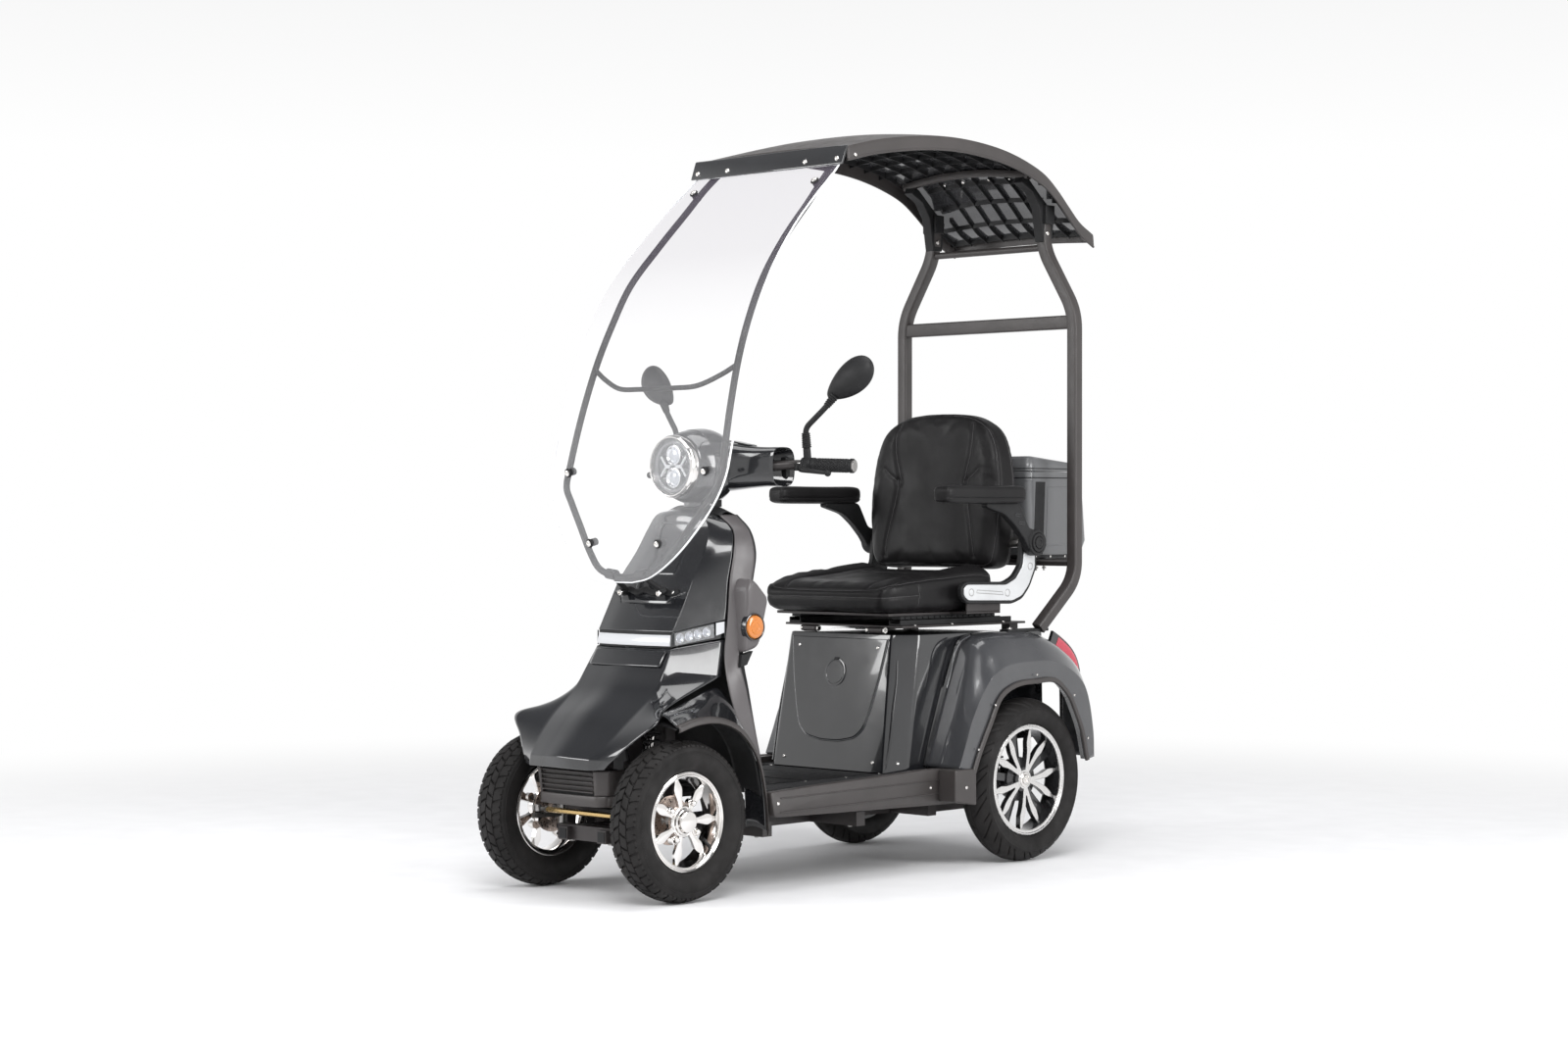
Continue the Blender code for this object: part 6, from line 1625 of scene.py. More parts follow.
def stuffed(bm, voxel, pressure, reach):
    """The shape as sewn cloth under pressure. No point moves farther than its reach."""
    mesh = bpy.data.meshes.new("stuffing")
    bm.to_mesh(mesh)
    bm.free()
    obj = bpy.data.objects.new("stuffing", mesh)
    bpy.context.scene.collection.objects.link(obj)
    remesh = obj.modifiers.new("voxels", "REMESH")
    remesh.mode = "VOXEL"
    remesh.voxel_size = voxel
    mesh = evaluated_mesh(obj)
    obj.modifiers.clear()
    obj.data = mesh
    cloth = obj.modifiers.new("cloth", "CLOTH")
    cloth.settings.quality = 5
    cloth.settings.mass = 0.25
    cloth.settings.tension_stiffness = 12
    cloth.settings.compression_stiffness = 12
    cloth.settings.bending_stiffness = 0.6
    cloth.settings.use_pressure = True
    cloth.settings.uniform_pressure_force = pressure
    cloth.settings.effector_weights.gravity = 0
    cloth.collision_settings.use_collision = False
    cloth.point_cache.frame_start = 1
    cloth.point_cache.frame_end = 20
    for step in range(1, 21):
        bpy.context.scene.frame_set(step)
    swollen = evaluated_mesh(obj)
    for vert, goal in zip(mesh.vertices, swollen.vertices):
        step = goal.co - vert.co
        if step.length > reach:
            step *= reach / step.length
        vert.co += step
    obj.modifiers.clear()
    bpy.context.scene.frame_set(1)
    bpy.data.meshes.remove(swollen)
    smooth = obj.modifiers.new("smooth", "SUBSURF")
    smooth.levels = 1
    made = bmesh.new()
    final = evaluated_mesh(obj)
    made.from_mesh(final)
    bpy.data.objects.remove(obj)
    bpy.data.meshes.remove(mesh)
    bpy.data.meshes.remove(final)
    made.normal_update()
    return made


def on_surface(bm, points):
    """The points as a line that lies on the shape, with a point every 3 mm."""
    tree = BVHTree.FromBMesh(bm)
    dense = []
    for a, b in zip(points, points[1:]):
        count = max(int((b - a).length / 0.003), 1)
        dense += [a.lerp(b, i / count) for i in range(count)]
    dense.append(points[-1])
    return [tree.find_nearest(point)[0] for point in dense]


def sew(bm, line, depth, width):
    """A seam: the shape sinks along the line, deepest at the line itself."""
    tree = KDTree(len(line))
    for index, point in enumerate(line):
        tree.insert(point, index)
    tree.balance()
    for vert in bm.verts:
        _, _, distance = tree.find(vert.co)
        if distance < width * 3:
            vert.co -= vert.normal * depth * math.exp(-(distance / width) ** 2)


def seamed(bm, paths):
    """Sew several paths, each with a depth and width, and give back the threads that lie in them."""
    lines = []
    for path, depth, width in paths:
        line = on_surface(bm, path)
        sew(bm, line, depth, width)
        lines.append(line)
    bm.normal_update()
    threads = bmesh.new()
    tree = BVHTree.FromBMesh(bm)
    for line in lines:
        sunk = [tree.find_nearest(point)[0] for point in line[::2]]
        tube(spline(sunk, 1), 0.0007, threads, 6)
    return threads


CUSHION_FOOT_Z = 0.6345
# Half of the cushion's section: x, z
CUSHION_SECTION = (
    (0.0, 0.6345), (0.150, 0.6345), (0.205, 0.6350), (0.219, 0.640), (0.2270, 0.655), (0.2280, 0.690),
    (0.2240, 0.708), (0.2120, 0.720), (0.1960, 0.7235), (0.1780, 0.7180), (0.1600, 0.7090), (0.1200, 0.7015),
    (0.0600, 0.7000), (0.0, 0.6995),
)


def build_cushion():
    """The seat's cushion: fuller at its sides, sewn along its rim, front and panels."""
    rings = []
    # Stations: y, share of the width, foot and share of the height, share of the bolsters
    for y, wide, low, high, ridge in (
            (0.0330, 0.855, 0.014, 0.70, 0.0), (0.0380, 0.895, 0.008, 0.82, 0.0),
            (0.0480, 0.930, 0.003, 0.92, 0.05), (0.0650, 0.958, 0.0, 0.97, 0.15),
            (0.0950, 0.980, 0.0, 1.0, 0.45), (0.1400, 0.993, 0.0, 1.0, 0.8), (0.2000, 1.0, 0.0, 1.0, 1.0),
            (0.3000, 1.0, 0.0, 1.0, 1.0), (0.3900, 0.998, 0.0, 1.0, 1.0), (0.4200, 0.988, 0.0, 0.99, 0.9),
            (0.4350, 0.965, 0.003, 0.95, 0.8), (0.4410, 0.925, 0.010, 0.85, 0.6)):
        half = []
        for x, z in CUSHION_SECTION:
            if z > 0.70:
                z = 0.70 + (z - 0.70) * ridge
            z = CUSHION_FOOT_Z + low + (z - CUSHION_FOOT_Z) * (high - low / 0.066)
            half.append(Vector((x * wide, y, z)))
        rings.append(half + mirrored(reversed(half[1:-1])))
    shape = grid(rings, wrap=True, caps=True)
    bmesh.ops.recalc_face_normals(shape, faces=shape.faces)
    cushion = stuffed(shape, 0.0065, 4.0, 0.007)
    for vert in cushion.verts:
        # Towards the back the top rises, and most of all in the middle
        x, y, z = vert.co
        lift = (0.024 - 0.005 * smooth_step(abs(x), 0.12, 0.18)) * smooth_step(y, 0.16, 0.42)
        lift *= smooth_step(z, 0.670, 0.700)
        vert.co.z = max(z + lift, 0.6306)
        vert.co.y = min(vert.co.y, 0.4455)
    rim = [Vector(p) for p in (
        (0.213, 0.426, 0.716), (0.219, 0.360, 0.720), (0.221, 0.260, 0.720), (0.219, 0.180, 0.716),
        (0.213, 0.120, 0.706), (0.202, 0.075, 0.696), (0.180, 0.050, 0.690), (0.120, 0.040, 0.688),
        (0.0, 0.037, 0.688))]
    rim = spline(rim + mirrored(reversed(rim[:-1])), 8)
    front = [Vector(p) for p in ((0.2290, 0.150, 0.672), (0.222, 0.085, 0.670), (0.200, 0.046, 0.668),
                                 (0.120, 0.0345, 0.668), (0.0, 0.032, 0.668))]
    front = spline(front + mirrored(reversed(front[:-1])), 8)
    paths = [(rim, 0.0022, 0.0042), (front, 0.0018, 0.0036)]
    for _, side in SIDES:
        inner = [on_side(p, side) for p in (
            (0.150, 0.430, 0.708), (0.158, 0.330, 0.708), (0.160, 0.230, 0.708), (0.156, 0.150, 0.704),
            (0.146, 0.092, 0.702), (0.138, 0.050, 0.695))]
        paths.append((spline(inner, 8), 0.0030, 0.0055))
        panel = [on_side(p, side) for p in ((0.229, 0.148, 0.700), (0.2295, 0.150, 0.672),
                                            (0.228, 0.152, 0.640))]
        paths.append((spline(panel, 6), 0.0016, 0.0034))
    paths.append(([Vector((0.150, 0.330, 0.706)), Vector((0.0, 0.335, 0.704)),
                   Vector((-0.150, 0.330, 0.706))], 0.0022, 0.006))
    threads = seamed(cushion, paths)
    made = piece("seat_cushion_cover", cushion, "leatherette", "seat_slide_body", 60, ("seat_cushion",))
    piece("seat_cushion_thread", threads, "thread", "seat_slide_body", 60)


BACK_FOOT_Z = 0.748
BACK_MIDDLE_Z = 0.945
# Half of the seat back's outline: x, z
BACK_OUTLINE = (
    (0.0, 0.7275), (0.120, 0.7275), (0.184, 0.7290), (0.206, 0.7400), (0.2190, 0.7900), (0.2270, 0.8800),
    (0.2240, 0.9600), (0.2085, 1.0380), (0.1810, 1.0910), (0.1280, 1.1230), (0.0600, 1.1350), (0.0, 1.1370),
)


def build_back():
    """The seat's back: hollow in the middle, sewn along its edges, with a shell and hinge pins behind."""
    half = spline([(x, z, 0) for x, z in BACK_OUTLINE], 4)
    rings = []
    # Layers from front to rear: y at the foot, lean, share of the outline
    for y, lean, share in ((0.4390, 0.075, 0.0), (0.4380, 0.075, 0.30), (0.4365, 0.075, 0.60),
                           (0.4370, 0.075, 0.84), (0.4400, 0.074, 0.945), (0.4470, 0.072, 0.985),
                           (0.4600, 0.062, 1.0), (0.4850, 0.045, 1.0), (0.5080, 0.028, 1.0),
                           (0.5200, 0.022, 0.985), (0.5275, 0.020, 0.945), (0.5300, 0.020, 0.84),
                           (0.5300, 0.020, 0.45), (0.5300, 0.020, 0.0)):
        ring = []
        for x, z, _ in half:
            tall = BACK_MIDDLE_Z + (z - BACK_MIDDLE_Z) * max(share, 0.004)
            # The lower front edge is well rounded, so that the back can fold past the cushion
            tall += 0.009 * smooth_step(0.470 - y, 0.0, 0.030) * smooth_step(0.800 - z, 0.0, 0.050) * share
            wide = x * max(share, 0.004)
            ring.append(Vector((wide, y + (tall - BACK_FOOT_Z) * lean, tall)))
        rings.append(ring + mirrored(reversed(ring[1:-1])))
    shape = grid(rings, wrap=True, caps=True)
    bmesh.ops.recalc_face_normals(shape, faces=shape.faces)
    back = stuffed(shape, 0.0065, 4.0, 0.0065)
    for vert in back.verts:
        # The middle is hollow, between two fuller sides
        x, y, z = vert.co
        if y < 0.475:
            across = abs(x) / 0.235
            body = max(0.0, 1 - ((z - BACK_MIDDLE_Z) / 0.195) ** 4)
            hollow = 0.006 * math.exp(-(across / 0.42) ** 4) * body
            vert.co.y += hollow - 0.0035 * math.exp(-((across - 0.72) / 0.16) ** 2) * body
    back.normal_update()
    paths = []
    for _, side in SIDES:
        upper = [on_side(p, side) for p in ((0.126, 0.450, 1.112), (0.130, 0.450, 1.070),
                                            (0.124, 0.447, 1.020), (0.112, 0.445, 0.975),
                                            (0.108, 0.443, 0.950))]
        lower = [on_side(p, side) for p in ((0.112, 0.443, 0.962), (0.120, 0.440, 0.915),
                                            (0.135, 0.436, 0.850), (0.148, 0.432, 0.790),
                                            (0.150, 0.432, 0.765))]
        upper, lower = spline(upper, 8), spline(lower, 8)
        paths.append((upper, 0.0042, 0.0070))
        paths.append((lower, 0.0042, 0.0070))
        pinch = [on_side(p, side) for p in ((0.160, 0.440, 0.990), (0.138, 0.441, 0.972),
                                            (0.112, 0.443, 0.957))]
        paths.append((pinch, 0.0022, 0.0060))
        edge = [on_side((x * 0.955, 0.448 + (z - BACK_FOOT_Z) * 0.072,
                         BACK_MIDDLE_Z + (z - BACK_MIDDLE_Z) * 0.965), side)
                for x, z, _ in half if x > 0.004]
        paths.append((edge, 0.0020, 0.0036))
        rear = [on_side((x * 1.01, 0.516 + (z - BACK_FOOT_Z) * 0.022, z), side)
                for x, z, _ in half if x > 0.004]
        paths.append((rear, 0.0020, 0.0036))
    threads = seamed(back, paths)
    made = piece("seat_back_cover", back, "leatherette", "seat_back_body", 60, ("seat_back",))
    piece("seat_back_thread", threads, "thread", "seat_back_body", 60)
    # Moulded shell behind the back, and the hinge pins
    shell = []
    for y, share in ((0.5270, 0.90), (0.5325, 0.90), (0.5345, 0.885), (0.5350, 0.60), (0.5350, 0.004)):
        ring = [Vector((x * share, y + (z - BACK_FOOT_Z) * 0.020,
                        BACK_MIDDLE_Z + (z - BACK_MIDDLE_Z) * share))
                for x, z, _ in half]
        shell.append(ring + mirrored(reversed(ring[1:-1])))
    soften(piece("seat_back_shell", grid(shell, wrap=True, caps=True), "black_plastic", "seat_back_body", 35),
           0.001, 2, 40)
    pins = bmesh.new()
    for _, side in SIDES:
        rod((side * 0.198, 0.514, 0.800), (side * 0.2445, 0.514, 0.800), 0.0135, sides=28, bm=pins)
    piece("seat_back_pins", pins, "steel", "seat_back_body", 35)


# Side link, its silver plate and the arm, seen from the side: y, z
LINK_OUTLINE = (
    (0.262, 0.668), (0.262, 0.692), (0.280, 0.705), (0.430, 0.702), (0.466, 0.716), (0.492, 0.745),
    (0.496, 0.800), (0.506, 0.822), (0.526, 0.830), (0.546, 0.822), (0.556, 0.800), (0.556, 0.735),
    (0.530, 0.688), (0.500, 0.658), (0.460, 0.646), (0.285, 0.650),
)
LINK_PLATE = (
    (0.2705, 0.671), (0.2705, 0.689), (0.283, 0.6975), (0.434, 0.6945), (0.472, 0.7090), (0.4995, 0.741),
    (0.5050, 0.776), (0.5470, 0.776), (0.5475, 0.738), (0.523, 0.693), (0.495, 0.666), (0.458, 0.6545),
    (0.287, 0.6585), )
ARM_OUTLINE = (
    (0.330, 0.9010), (0.458, 0.9010), (0.472, 0.878), (0.496, 0.8370), (0.522, 0.8325), (0.545, 0.825),
    (0.558, 0.800), (0.545, 0.775), (0.520, 0.768), (0.498, 0.782), (0.478, 0.810), (0.440, 0.845),
    (0.400, 0.872), (0.330, 0.890), )


def build_link(label, side):
    """Side link: black surround, silver plate with a recess, three screws."""
    spread = sorted((side * 0.2455, side * 0.2600))
    surround = prism(rounded_loop(LINK_OUTLINE, 0.012, 4), "X", *spread)
    soften(piece(f"link_surround_{label}", surround, "black_plastic", "seat_slide_body", 35), 0.0028, 3, 40)
    spread = sorted((side * 0.2585, side * 0.2618))
    plate = prism(rounded_loop(LINK_PLATE, 0.008, 5), "X", *spread)
    soften(piece(f"link_plate_{label}", plate, "silver", "seat_slide_body", 30), 0.0012, 3, 40)
    rings, heads = bmesh.new(), bmesh.new()
    recess = [Vector((side * 0.2619, y, z)) for y, z in
              ((0.320, 0.6835), (0.418, 0.6770), (0.420, 0.6700), (0.318, 0.6765))]
    tube(recess, 0.0007, rings, 8, closed=True)
    for y, z in ((0.298, 0.6780), (0.438, 0.6745), (0.5285, 0.7400)):
        place = Vector((side * 0.2616, y, z))
        ring = lathe([(0.0, 0.0096), (0.0009, 0.0094), (0.0011, 0.0086), (0.0, 0.0080)], (0, 0, 0), "X", 32)
        absorb(rings, ring, Matrix.Translation(place) @ mirror_matrix(side))
        screw(heads, place, (side, 0, 0), 0.0074, 0.0010, socket=False)
    piece(f"link_rings_{label}", rings, "steel", "seat_slide_body", 40)
    piece(f"link_screws_{label}", heads, "silver", "seat_slide_body", 35)


def build_armrest(label, side):
    """Arm with its round boss and two slots, and the pad on top."""
    body = f"armrest_{label}_body"
    spread = sorted((side * 0.2630, side * 0.2860))
    arm = prism(rounded_loop(ARM_OUTLINE, 0.014, 4), "X", *spread)
    soften(piece(f"arm_{label}", arm, "black_plastic", body, 40, (f"armrest_{label}",)), 0.0045, 4, 40)
    boss = lathe([(0.2625, 0.0), (0.2625, 0.0320), (0.2660, 0.0335), (0.2860, 0.0332), (0.2895, 0.0315),
                  (0.2898, 0.0262), (0.2882, 0.0252), (0.2882, 0.0242), (0.2925, 0.0232), (0.2930, 0.0172),
                  (0.2912, 0.0162), (0.2912, 0.0152), (0.2945, 0.0142), (0.2952, 0.0085), (0.2940, 0.0078),
                  (0.2940, 0.0)], (0, 0, 0), "X", 56)
    boss = moved(boss, Matrix.Translation((0, 0.526, 0.800)) @ mirror_matrix(side))
    piece(f"arm_boss_{label}", boss, "black_plastic", body, 25)
    slots = bmesh.new()
    for y, z in ((0.4500, 0.8700), (0.4640, 0.8500)):
        loop = [Vector((side * 0.2862, y + dy, z + dz)) for dy, dz in
                ((-0.012, 0.0015), (-0.010, 0.0042), (0.010, 0.0022), (0.012, -0.0010), (0.010, -0.0042),
                 (-0.010, -0.0018))]
        tube(loop, 0.0009, slots, 8, closed=True)
    piece(f"arm_slots_{label}", slots, "gloss_black", body, 50)

    # Pad, lofted from front to rear
    rings = []
    for y, wide, high, drop in (
            (0.1560, 0.55, 0.50, 0.002), (0.1580, 0.74, 0.70, 0.001), (0.1630, 0.88, 0.86, 0.0),
            (0.1720, 0.96, 0.95, 0.0), (0.1900, 1.0, 1.0, 0.0), (0.2700, 1.0, 1.0, 0.0005),
            (0.3600, 1.0, 1.0, 0.0005), (0.4300, 1.0, 1.0, 0.0), (0.4450, 0.97, 0.96, 0.0),
            (0.4540, 0.90, 0.88, 0.0), (0.4590, 0.78, 0.74, 0.001), (0.4612, 0.60, 0.55, 0.002)):
        ring = []
        for point in oval(0, 0, 0, 0.0285 * wide, 0.0225 * high, 0.52, 112):
            # The seam runs round the pad at two thirds of its height
            sunk = 1 - 0.075 * math.exp(-((point.z + 0.0075) / 0.0018) ** 2)
            ring.append(Vector((side * 0.282 + point.y * sunk, y, 0.9215 + point.z - drop)))
        rings.append(ring)
    dense = [list(row) for row in zip(*[spline(column, 4) for column in zip(*rings)])]
    pad = piece(f"arm_pad_{label}", grid(dense, wrap=True, caps=True), "leatherette", body, 40)


def build_seat_frame():
    """Pan with its runners and links, and the tipping base with tracks and hinges."""
    pan, rails = bmesh.new(), bmesh.new()
    block((-0.190, 0.070, 0.6220), (0.190, 0.490, 0.6292), pan)
    for _, side in SIDES:
        low, high = sorted((side * 0.180, side * 0.2455))
        block((low, 0.300, 0.6235), (high, 0.430, 0.6290), pan)
        low, high = sorted((side * 0.2390, side * 0.2455))
        block((low, 0.300, 0.6290), (high, 0.430, 0.6600), pan)
        low, high = sorted((side * 0.155, side * 0.185))
        block((low, 0.120, 0.6125), (high, 0.480, 0.6225), rails)
        for i in range(16):
            y = 0.135 + i * 0.022
            block((side * 0.1865 - 0.0012, y, 0.6140), (side * 0.1865 + 0.0012, y + 0.012, 0.6195), rails)
    soften(piece("seat_pan_plate", pan, "frame_paint", "seat_slide_body", 35, ("seat_pan",)), 0.0015, 2, 40)
    soften(piece("seat_runners", rails, "black_plastic", "seat_slide_body", 35), 0.0008, 2, 40)
    for label, side in SIDES:
        build_link(label, side)
    base, tracks, pins = bmesh.new(), bmesh.new(), bmesh.new()
    block((-0.200, 0.112, 0.5922), (0.200, 0.585, 0.5978), base)
    for _, side in SIDES:
        hinge = Vector((side * 0.112, 0.112, 0.5855))
        for mesh, radius, near, far, sides in ((base, 0.0088, -0.022, 0.022, 24),
                                               (pins, 0.0048, -0.030, 0.030, 20),
                                               (pins, 0.0075, -0.0265, -0.0300, 6),
                                               (pins, 0.0075, 0.0265, 0.0300, 6)):
            rod(hinge + Vector((near, 0, 0)), hinge + Vector((far, 0, 0)), radius, sides=sides, bm=mesh)
        low, high = sorted((side * 0.170 - 0.020, side * 0.170 + 0.020))
        section = [(low, 0.5978), (low, 0.6112), (low + 0.0042, 0.6118), (low + 0.0048, 0.6030),
                   (high - 0.0048, 0.6030), (high - 0.0042, 0.6118), (high, 0.6112), (high, 0.5978)]
        prism(section, "Y", 0.1155, 0.5395, tracks)
        block((side * 0.170 - 0.014, 0.541, 0.5764), (side * 0.170 + 0.014, 0.574, 0.5945), base)
        for y in (0.160, 0.300, 0.500):
            screw(pins, (side * 0.1960, y, 0.5979), (0, 0, 1), 0.0040, 0.0024)
    soften(piece("seat_base_plate", base, "frame_paint", "seat_tip", 35, ("seat_base",)), 0.0012, 2, 40)
    soften(piece("seat_tracks", tracks, "black_plastic", "seat_tip", 35), 0.0008, 2, 40)
    piece("seat_pins", pins, "chrome", "seat_tip", 35)


def build_seat():
    """The whole seat with its armrests."""
    build_cushion()
    build_back()
    build_seat_frame()
    for label, side in SIDES:
        build_armrest(label, side)


# Steering, lamp and mirrors

GRIP_LENGTH = 0.105
LAMP_Z = 0.985
BAR_POINT = Vector((0, -0.384, 0.985))


def oval(x, y, z, deep, high, power, count=36):
    """A ring across X with squared-off curves."""
    ring = []
    for i in range(count):
        angle = math.tau * i / count
        c, s = math.cos(angle), math.sin(angle)
        ring.append(Vector((x, y + deep * math.copysign(abs(c) ** power, c),
                            z + high * math.copysign(abs(s) ** power, s))))
    return ring


def build_nacelle():
    """The dome behind the headlamp, and the shroud over the bar with a cuff at each end."""
    dome = lathe([(-0.4615, 0.0), (-0.4615, 0.0690), (-0.4605, 0.0735), (-0.4560, 0.0770), (-0.4400, 0.0832),
                  (-0.4235, 0.0877), (-0.4225, 0.0862), (-0.4195, 0.0864), (-0.4185, 0.0887),
                  (-0.3950, 0.0918), (-0.3750, 0.0915), (-0.3540, 0.0868), (-0.3380, 0.0780),
                  (-0.3260, 0.0640), (-0.3190, 0.0450), (-0.3170, 0.0220), (-0.3165, 0.0)],
                 (0, 0, LAMP_Z), axis="Y", steps=72)
    piece("nacelle_dome", dome, "gloss_black", "steering", 40, ("nacelle",))
    for label, side in SIDES:
        rings = []
        # Stations: x, middle y, middle z, half depth, half height, squareness
        for x, y, z, deep, high, power in (
                (0.010, -0.349, 0.985, 0.0540, 0.0610, 0.80), (0.040, -0.346, 0.985, 0.0525, 0.0595, 0.76),
                (0.070, -0.339, 0.985, 0.0500, 0.0560, 0.72), (0.085, -0.334, 0.985, 0.0485, 0.0540, 0.70),
                (0.105, -0.323, 0.9845, 0.0460, 0.0505, 0.68), (0.130, -0.307, 0.9845, 0.0430, 0.0475, 0.66),
                (0.150, -0.294, 0.9850, 0.0405, 0.0465, 0.64), (0.166, -0.284, 0.9850, 0.0390, 0.0468, 0.62),
                (0.1715, -0.281, 0.9850, 0.0384, 0.0464, 0.62),
                (0.1725, -0.2805, 0.9850, 0.0372, 0.0452, 0.62),
                (0.1705, -0.2810, 0.9850, 0.0355, 0.0435, 0.62),
                (0.135, -0.304, 0.9850, 0.0330, 0.0400, 0.66), (0.120, -0.314, 0.9850, 0.0150, 0.0180, 0.80)):
            ring = oval(x, y, z, deep, high, power)
            if 0.03 < x < 0.166:
                # A groove at half height, front and rear
                for point in ring:
                    if abs(point.z - z + 0.004) < 0.0045:
                        point.y = y + (point.y - y) * 0.965
            rings.append([on_side(p, side) for p in ring])
        shroud = grid(rings, wrap=True, caps=True)
        piece(f"nacelle_shroud_{label}", shroud, "gloss_black", "steering", 30)
        plate = prism([(0.056, -0.352), (0.108, -0.334), (0.116, -0.312), (0.066, -0.322)], "Z", 1.0385,
                      1.0425)
        mesh = moved(plate, Matrix.Translation((0.086, 0, 1.038)) @ Matrix.Rotation(math.radians(12), 4, "Y")
                     @ Matrix.Translation((-0.086, 0, -1.038)))
        made = piece(f"nacelle_panel_{label}", moved(mesh, mirror_matrix(side)), "gloss_black", "steering",
                     30)
        soften(made, 0.0018, 3, 30)
        # Switch block on the rider's side
        switches = prism([(-0.262, 0.958), (-0.250, 0.962), (-0.244, 0.975), (-0.244, 1.000), (-0.252, 1.008),
                          (-0.264, 1.008)], "X", *sorted((side * 0.118, side * 0.164)))
        soften(piece(f"switch_block_{label}", switches, "black_plastic", "steering", 30), 0.002, 2, 30)
    screen = prism([(-0.332, 1.0440), (-0.330, 1.0480), (-0.3015, 1.0275), (-0.3035, 1.0230)], "X", -0.034,
                   0.034)
    soften(piece("dash_display", screen, "gloss_grey", "steering", 30), 0.0015, 2, 30)
    key = lathe([(0.0, 0.0), (0.0, 0.0095), (0.0030, 0.0095), (0.0040, 0.0080), (0.0040, 0.0030),
                 (0.0015, 0.0028), (0.0015, 0.0)], (0, 0, 0), axis="Z", steps=24)
    piece("key_switch", moved(key, Matrix.Translation((0.052, -0.302,
                                                       1.0275)) @ Matrix.Rotation(math.radians(-38), 4, "X")),
          "chrome", "steering")
    neck = lathe([(0.020, 0.0), (0.020, 0.0235), (0.030, 0.0265), (0.060, 0.0265), (0.066, 0.0290),
                  (0.095, 0.0330), (0.112, 0.0330), (0.112, 0.0)], (0, 0, 0), axis="Z", steps=40)
    foot = STEER_POINT + Vector((0, -0.0085, -0.035))
    piece("steering_neck", moved(neck, Matrix.Translation(foot) @ Matrix.Rotation(-STEER_RAKE, 4, "X")),
          "gloss_black", "steering", 30)
    brackets = bmesh.new()
    for side in (1, -1):
        block((side * 0.026 - 0.005, -0.372, 0.890), (side * 0.026 + 0.005, -0.345, 0.925), brackets)
    soften(piece("neck_ribs", brackets, "black_plastic", "steering"), 0.002, 2, 40)


def build_headlamp():
    """Chrome ring, dark bowl, light guide, two eyes and a cross of bars behind a glass."""
    middle = (0, 0, LAMP_Z)
    ring = lathe([(-0.4620, 0.0655), (-0.4620, 0.0725), (-0.4700, 0.0742), (-0.4770, 0.0745),
                  (-0.4800, 0.0740), (-0.4812, 0.0728), (-0.4845, 0.0722), (-0.4872, 0.0702),
                  (-0.4870, 0.0680), (-0.4840, 0.0668), (-0.4780, 0.0660), (-0.4620, 0.0655)],
                 middle, axis="Y", steps=96)
    piece("headlamp_ring", ring, "chrome", "steering", 30, ("headlamp",))
    bowl = lathe([(-0.4790, 0.0662), (-0.4775, 0.0645), (-0.4745, 0.0630), (-0.4745, 0.0520),
                  (-0.4700, 0.0500), (-0.4680, 0.0460), (-0.4670, 0.0)], middle, axis="Y", steps=72)
    thicken(piece("headlamp_bowl", bowl, "gloss_black", "steering", 30), 0.001, 0.0)
    guide = lathe([(-0.4740, 0.0530), (-0.4775, 0.0540), (-0.4782, 0.0570), (-0.4775, 0.0605),
                   (-0.4740, 0.0615), (-0.4740, 0.0530)], middle, axis="Y", steps=96)
    piece("headlamp_guide", guide, "lamp_lens", "steering", 50)
    cups, eyes = bmesh.new(), bmesh.new()
    for way in (1, -1):
        centre = (0, 0, LAMP_Z + way * 0.0265)
        lathe([(-0.4690, 0.0240), (-0.4760, 0.0235), (-0.4764, 0.0215), (-0.4720, 0.0180), (-0.4690, 0.0120),
               (-0.4685, 0.0), ], centre, axis="Y", steps=40, bm=cups)
        ball((0, -0.4715, LAMP_Z + way * 0.0265), (0.0172, 0.0062, 0.0172), eyes, 12)
    thicken(piece("headlamp_cups", cups, "reflector", "steering", 35), 0.0008, 0.0)
    piece("headlamp_eyes", eyes, "bulb", "steering", 60)
    bars = bmesh.new()
    for way in (1, -1):
        for side in (1, -1):
            path = [Vector((side * 0.004, -0.4755, LAMP_Z + way * 0.0015)),
                    Vector((side * 0.0260, -0.4755, LAMP_Z + way * 0.0020)),
                    Vector((side * 0.0420, -0.4755, LAMP_Z + way * 0.0235))]
            sweep(path, [(-0.0022, -0.002), (0.0022, -0.002), (0.0022, 0.002), (-0.0022, 0.002)], bars,
                  up=(0, 1, 0))
        prism([(-0.010, LAMP_Z - 0.0035), (0.010, LAMP_Z - 0.0035), (0.010, LAMP_Z + 0.0035),
               (-0.010, LAMP_Z + 0.0035)], "Y", -0.4775, -0.4735, bars)
    soften(piece("headlamp_bars", bars, "white_lens", "steering", 30), 0.0006, 2, 40)
    glass = lathe([(-0.4800, 0.0665), (-0.4822, 0.0640), (-0.4850, 0.0500), (-0.4866, 0.0300),
                   (-0.4872, 0.0)], middle, axis="Y", steps=72)
    thicken(piece("headlamp_glass", glass, "clear_cover", "steering", 60), 0.0012, 0.0)


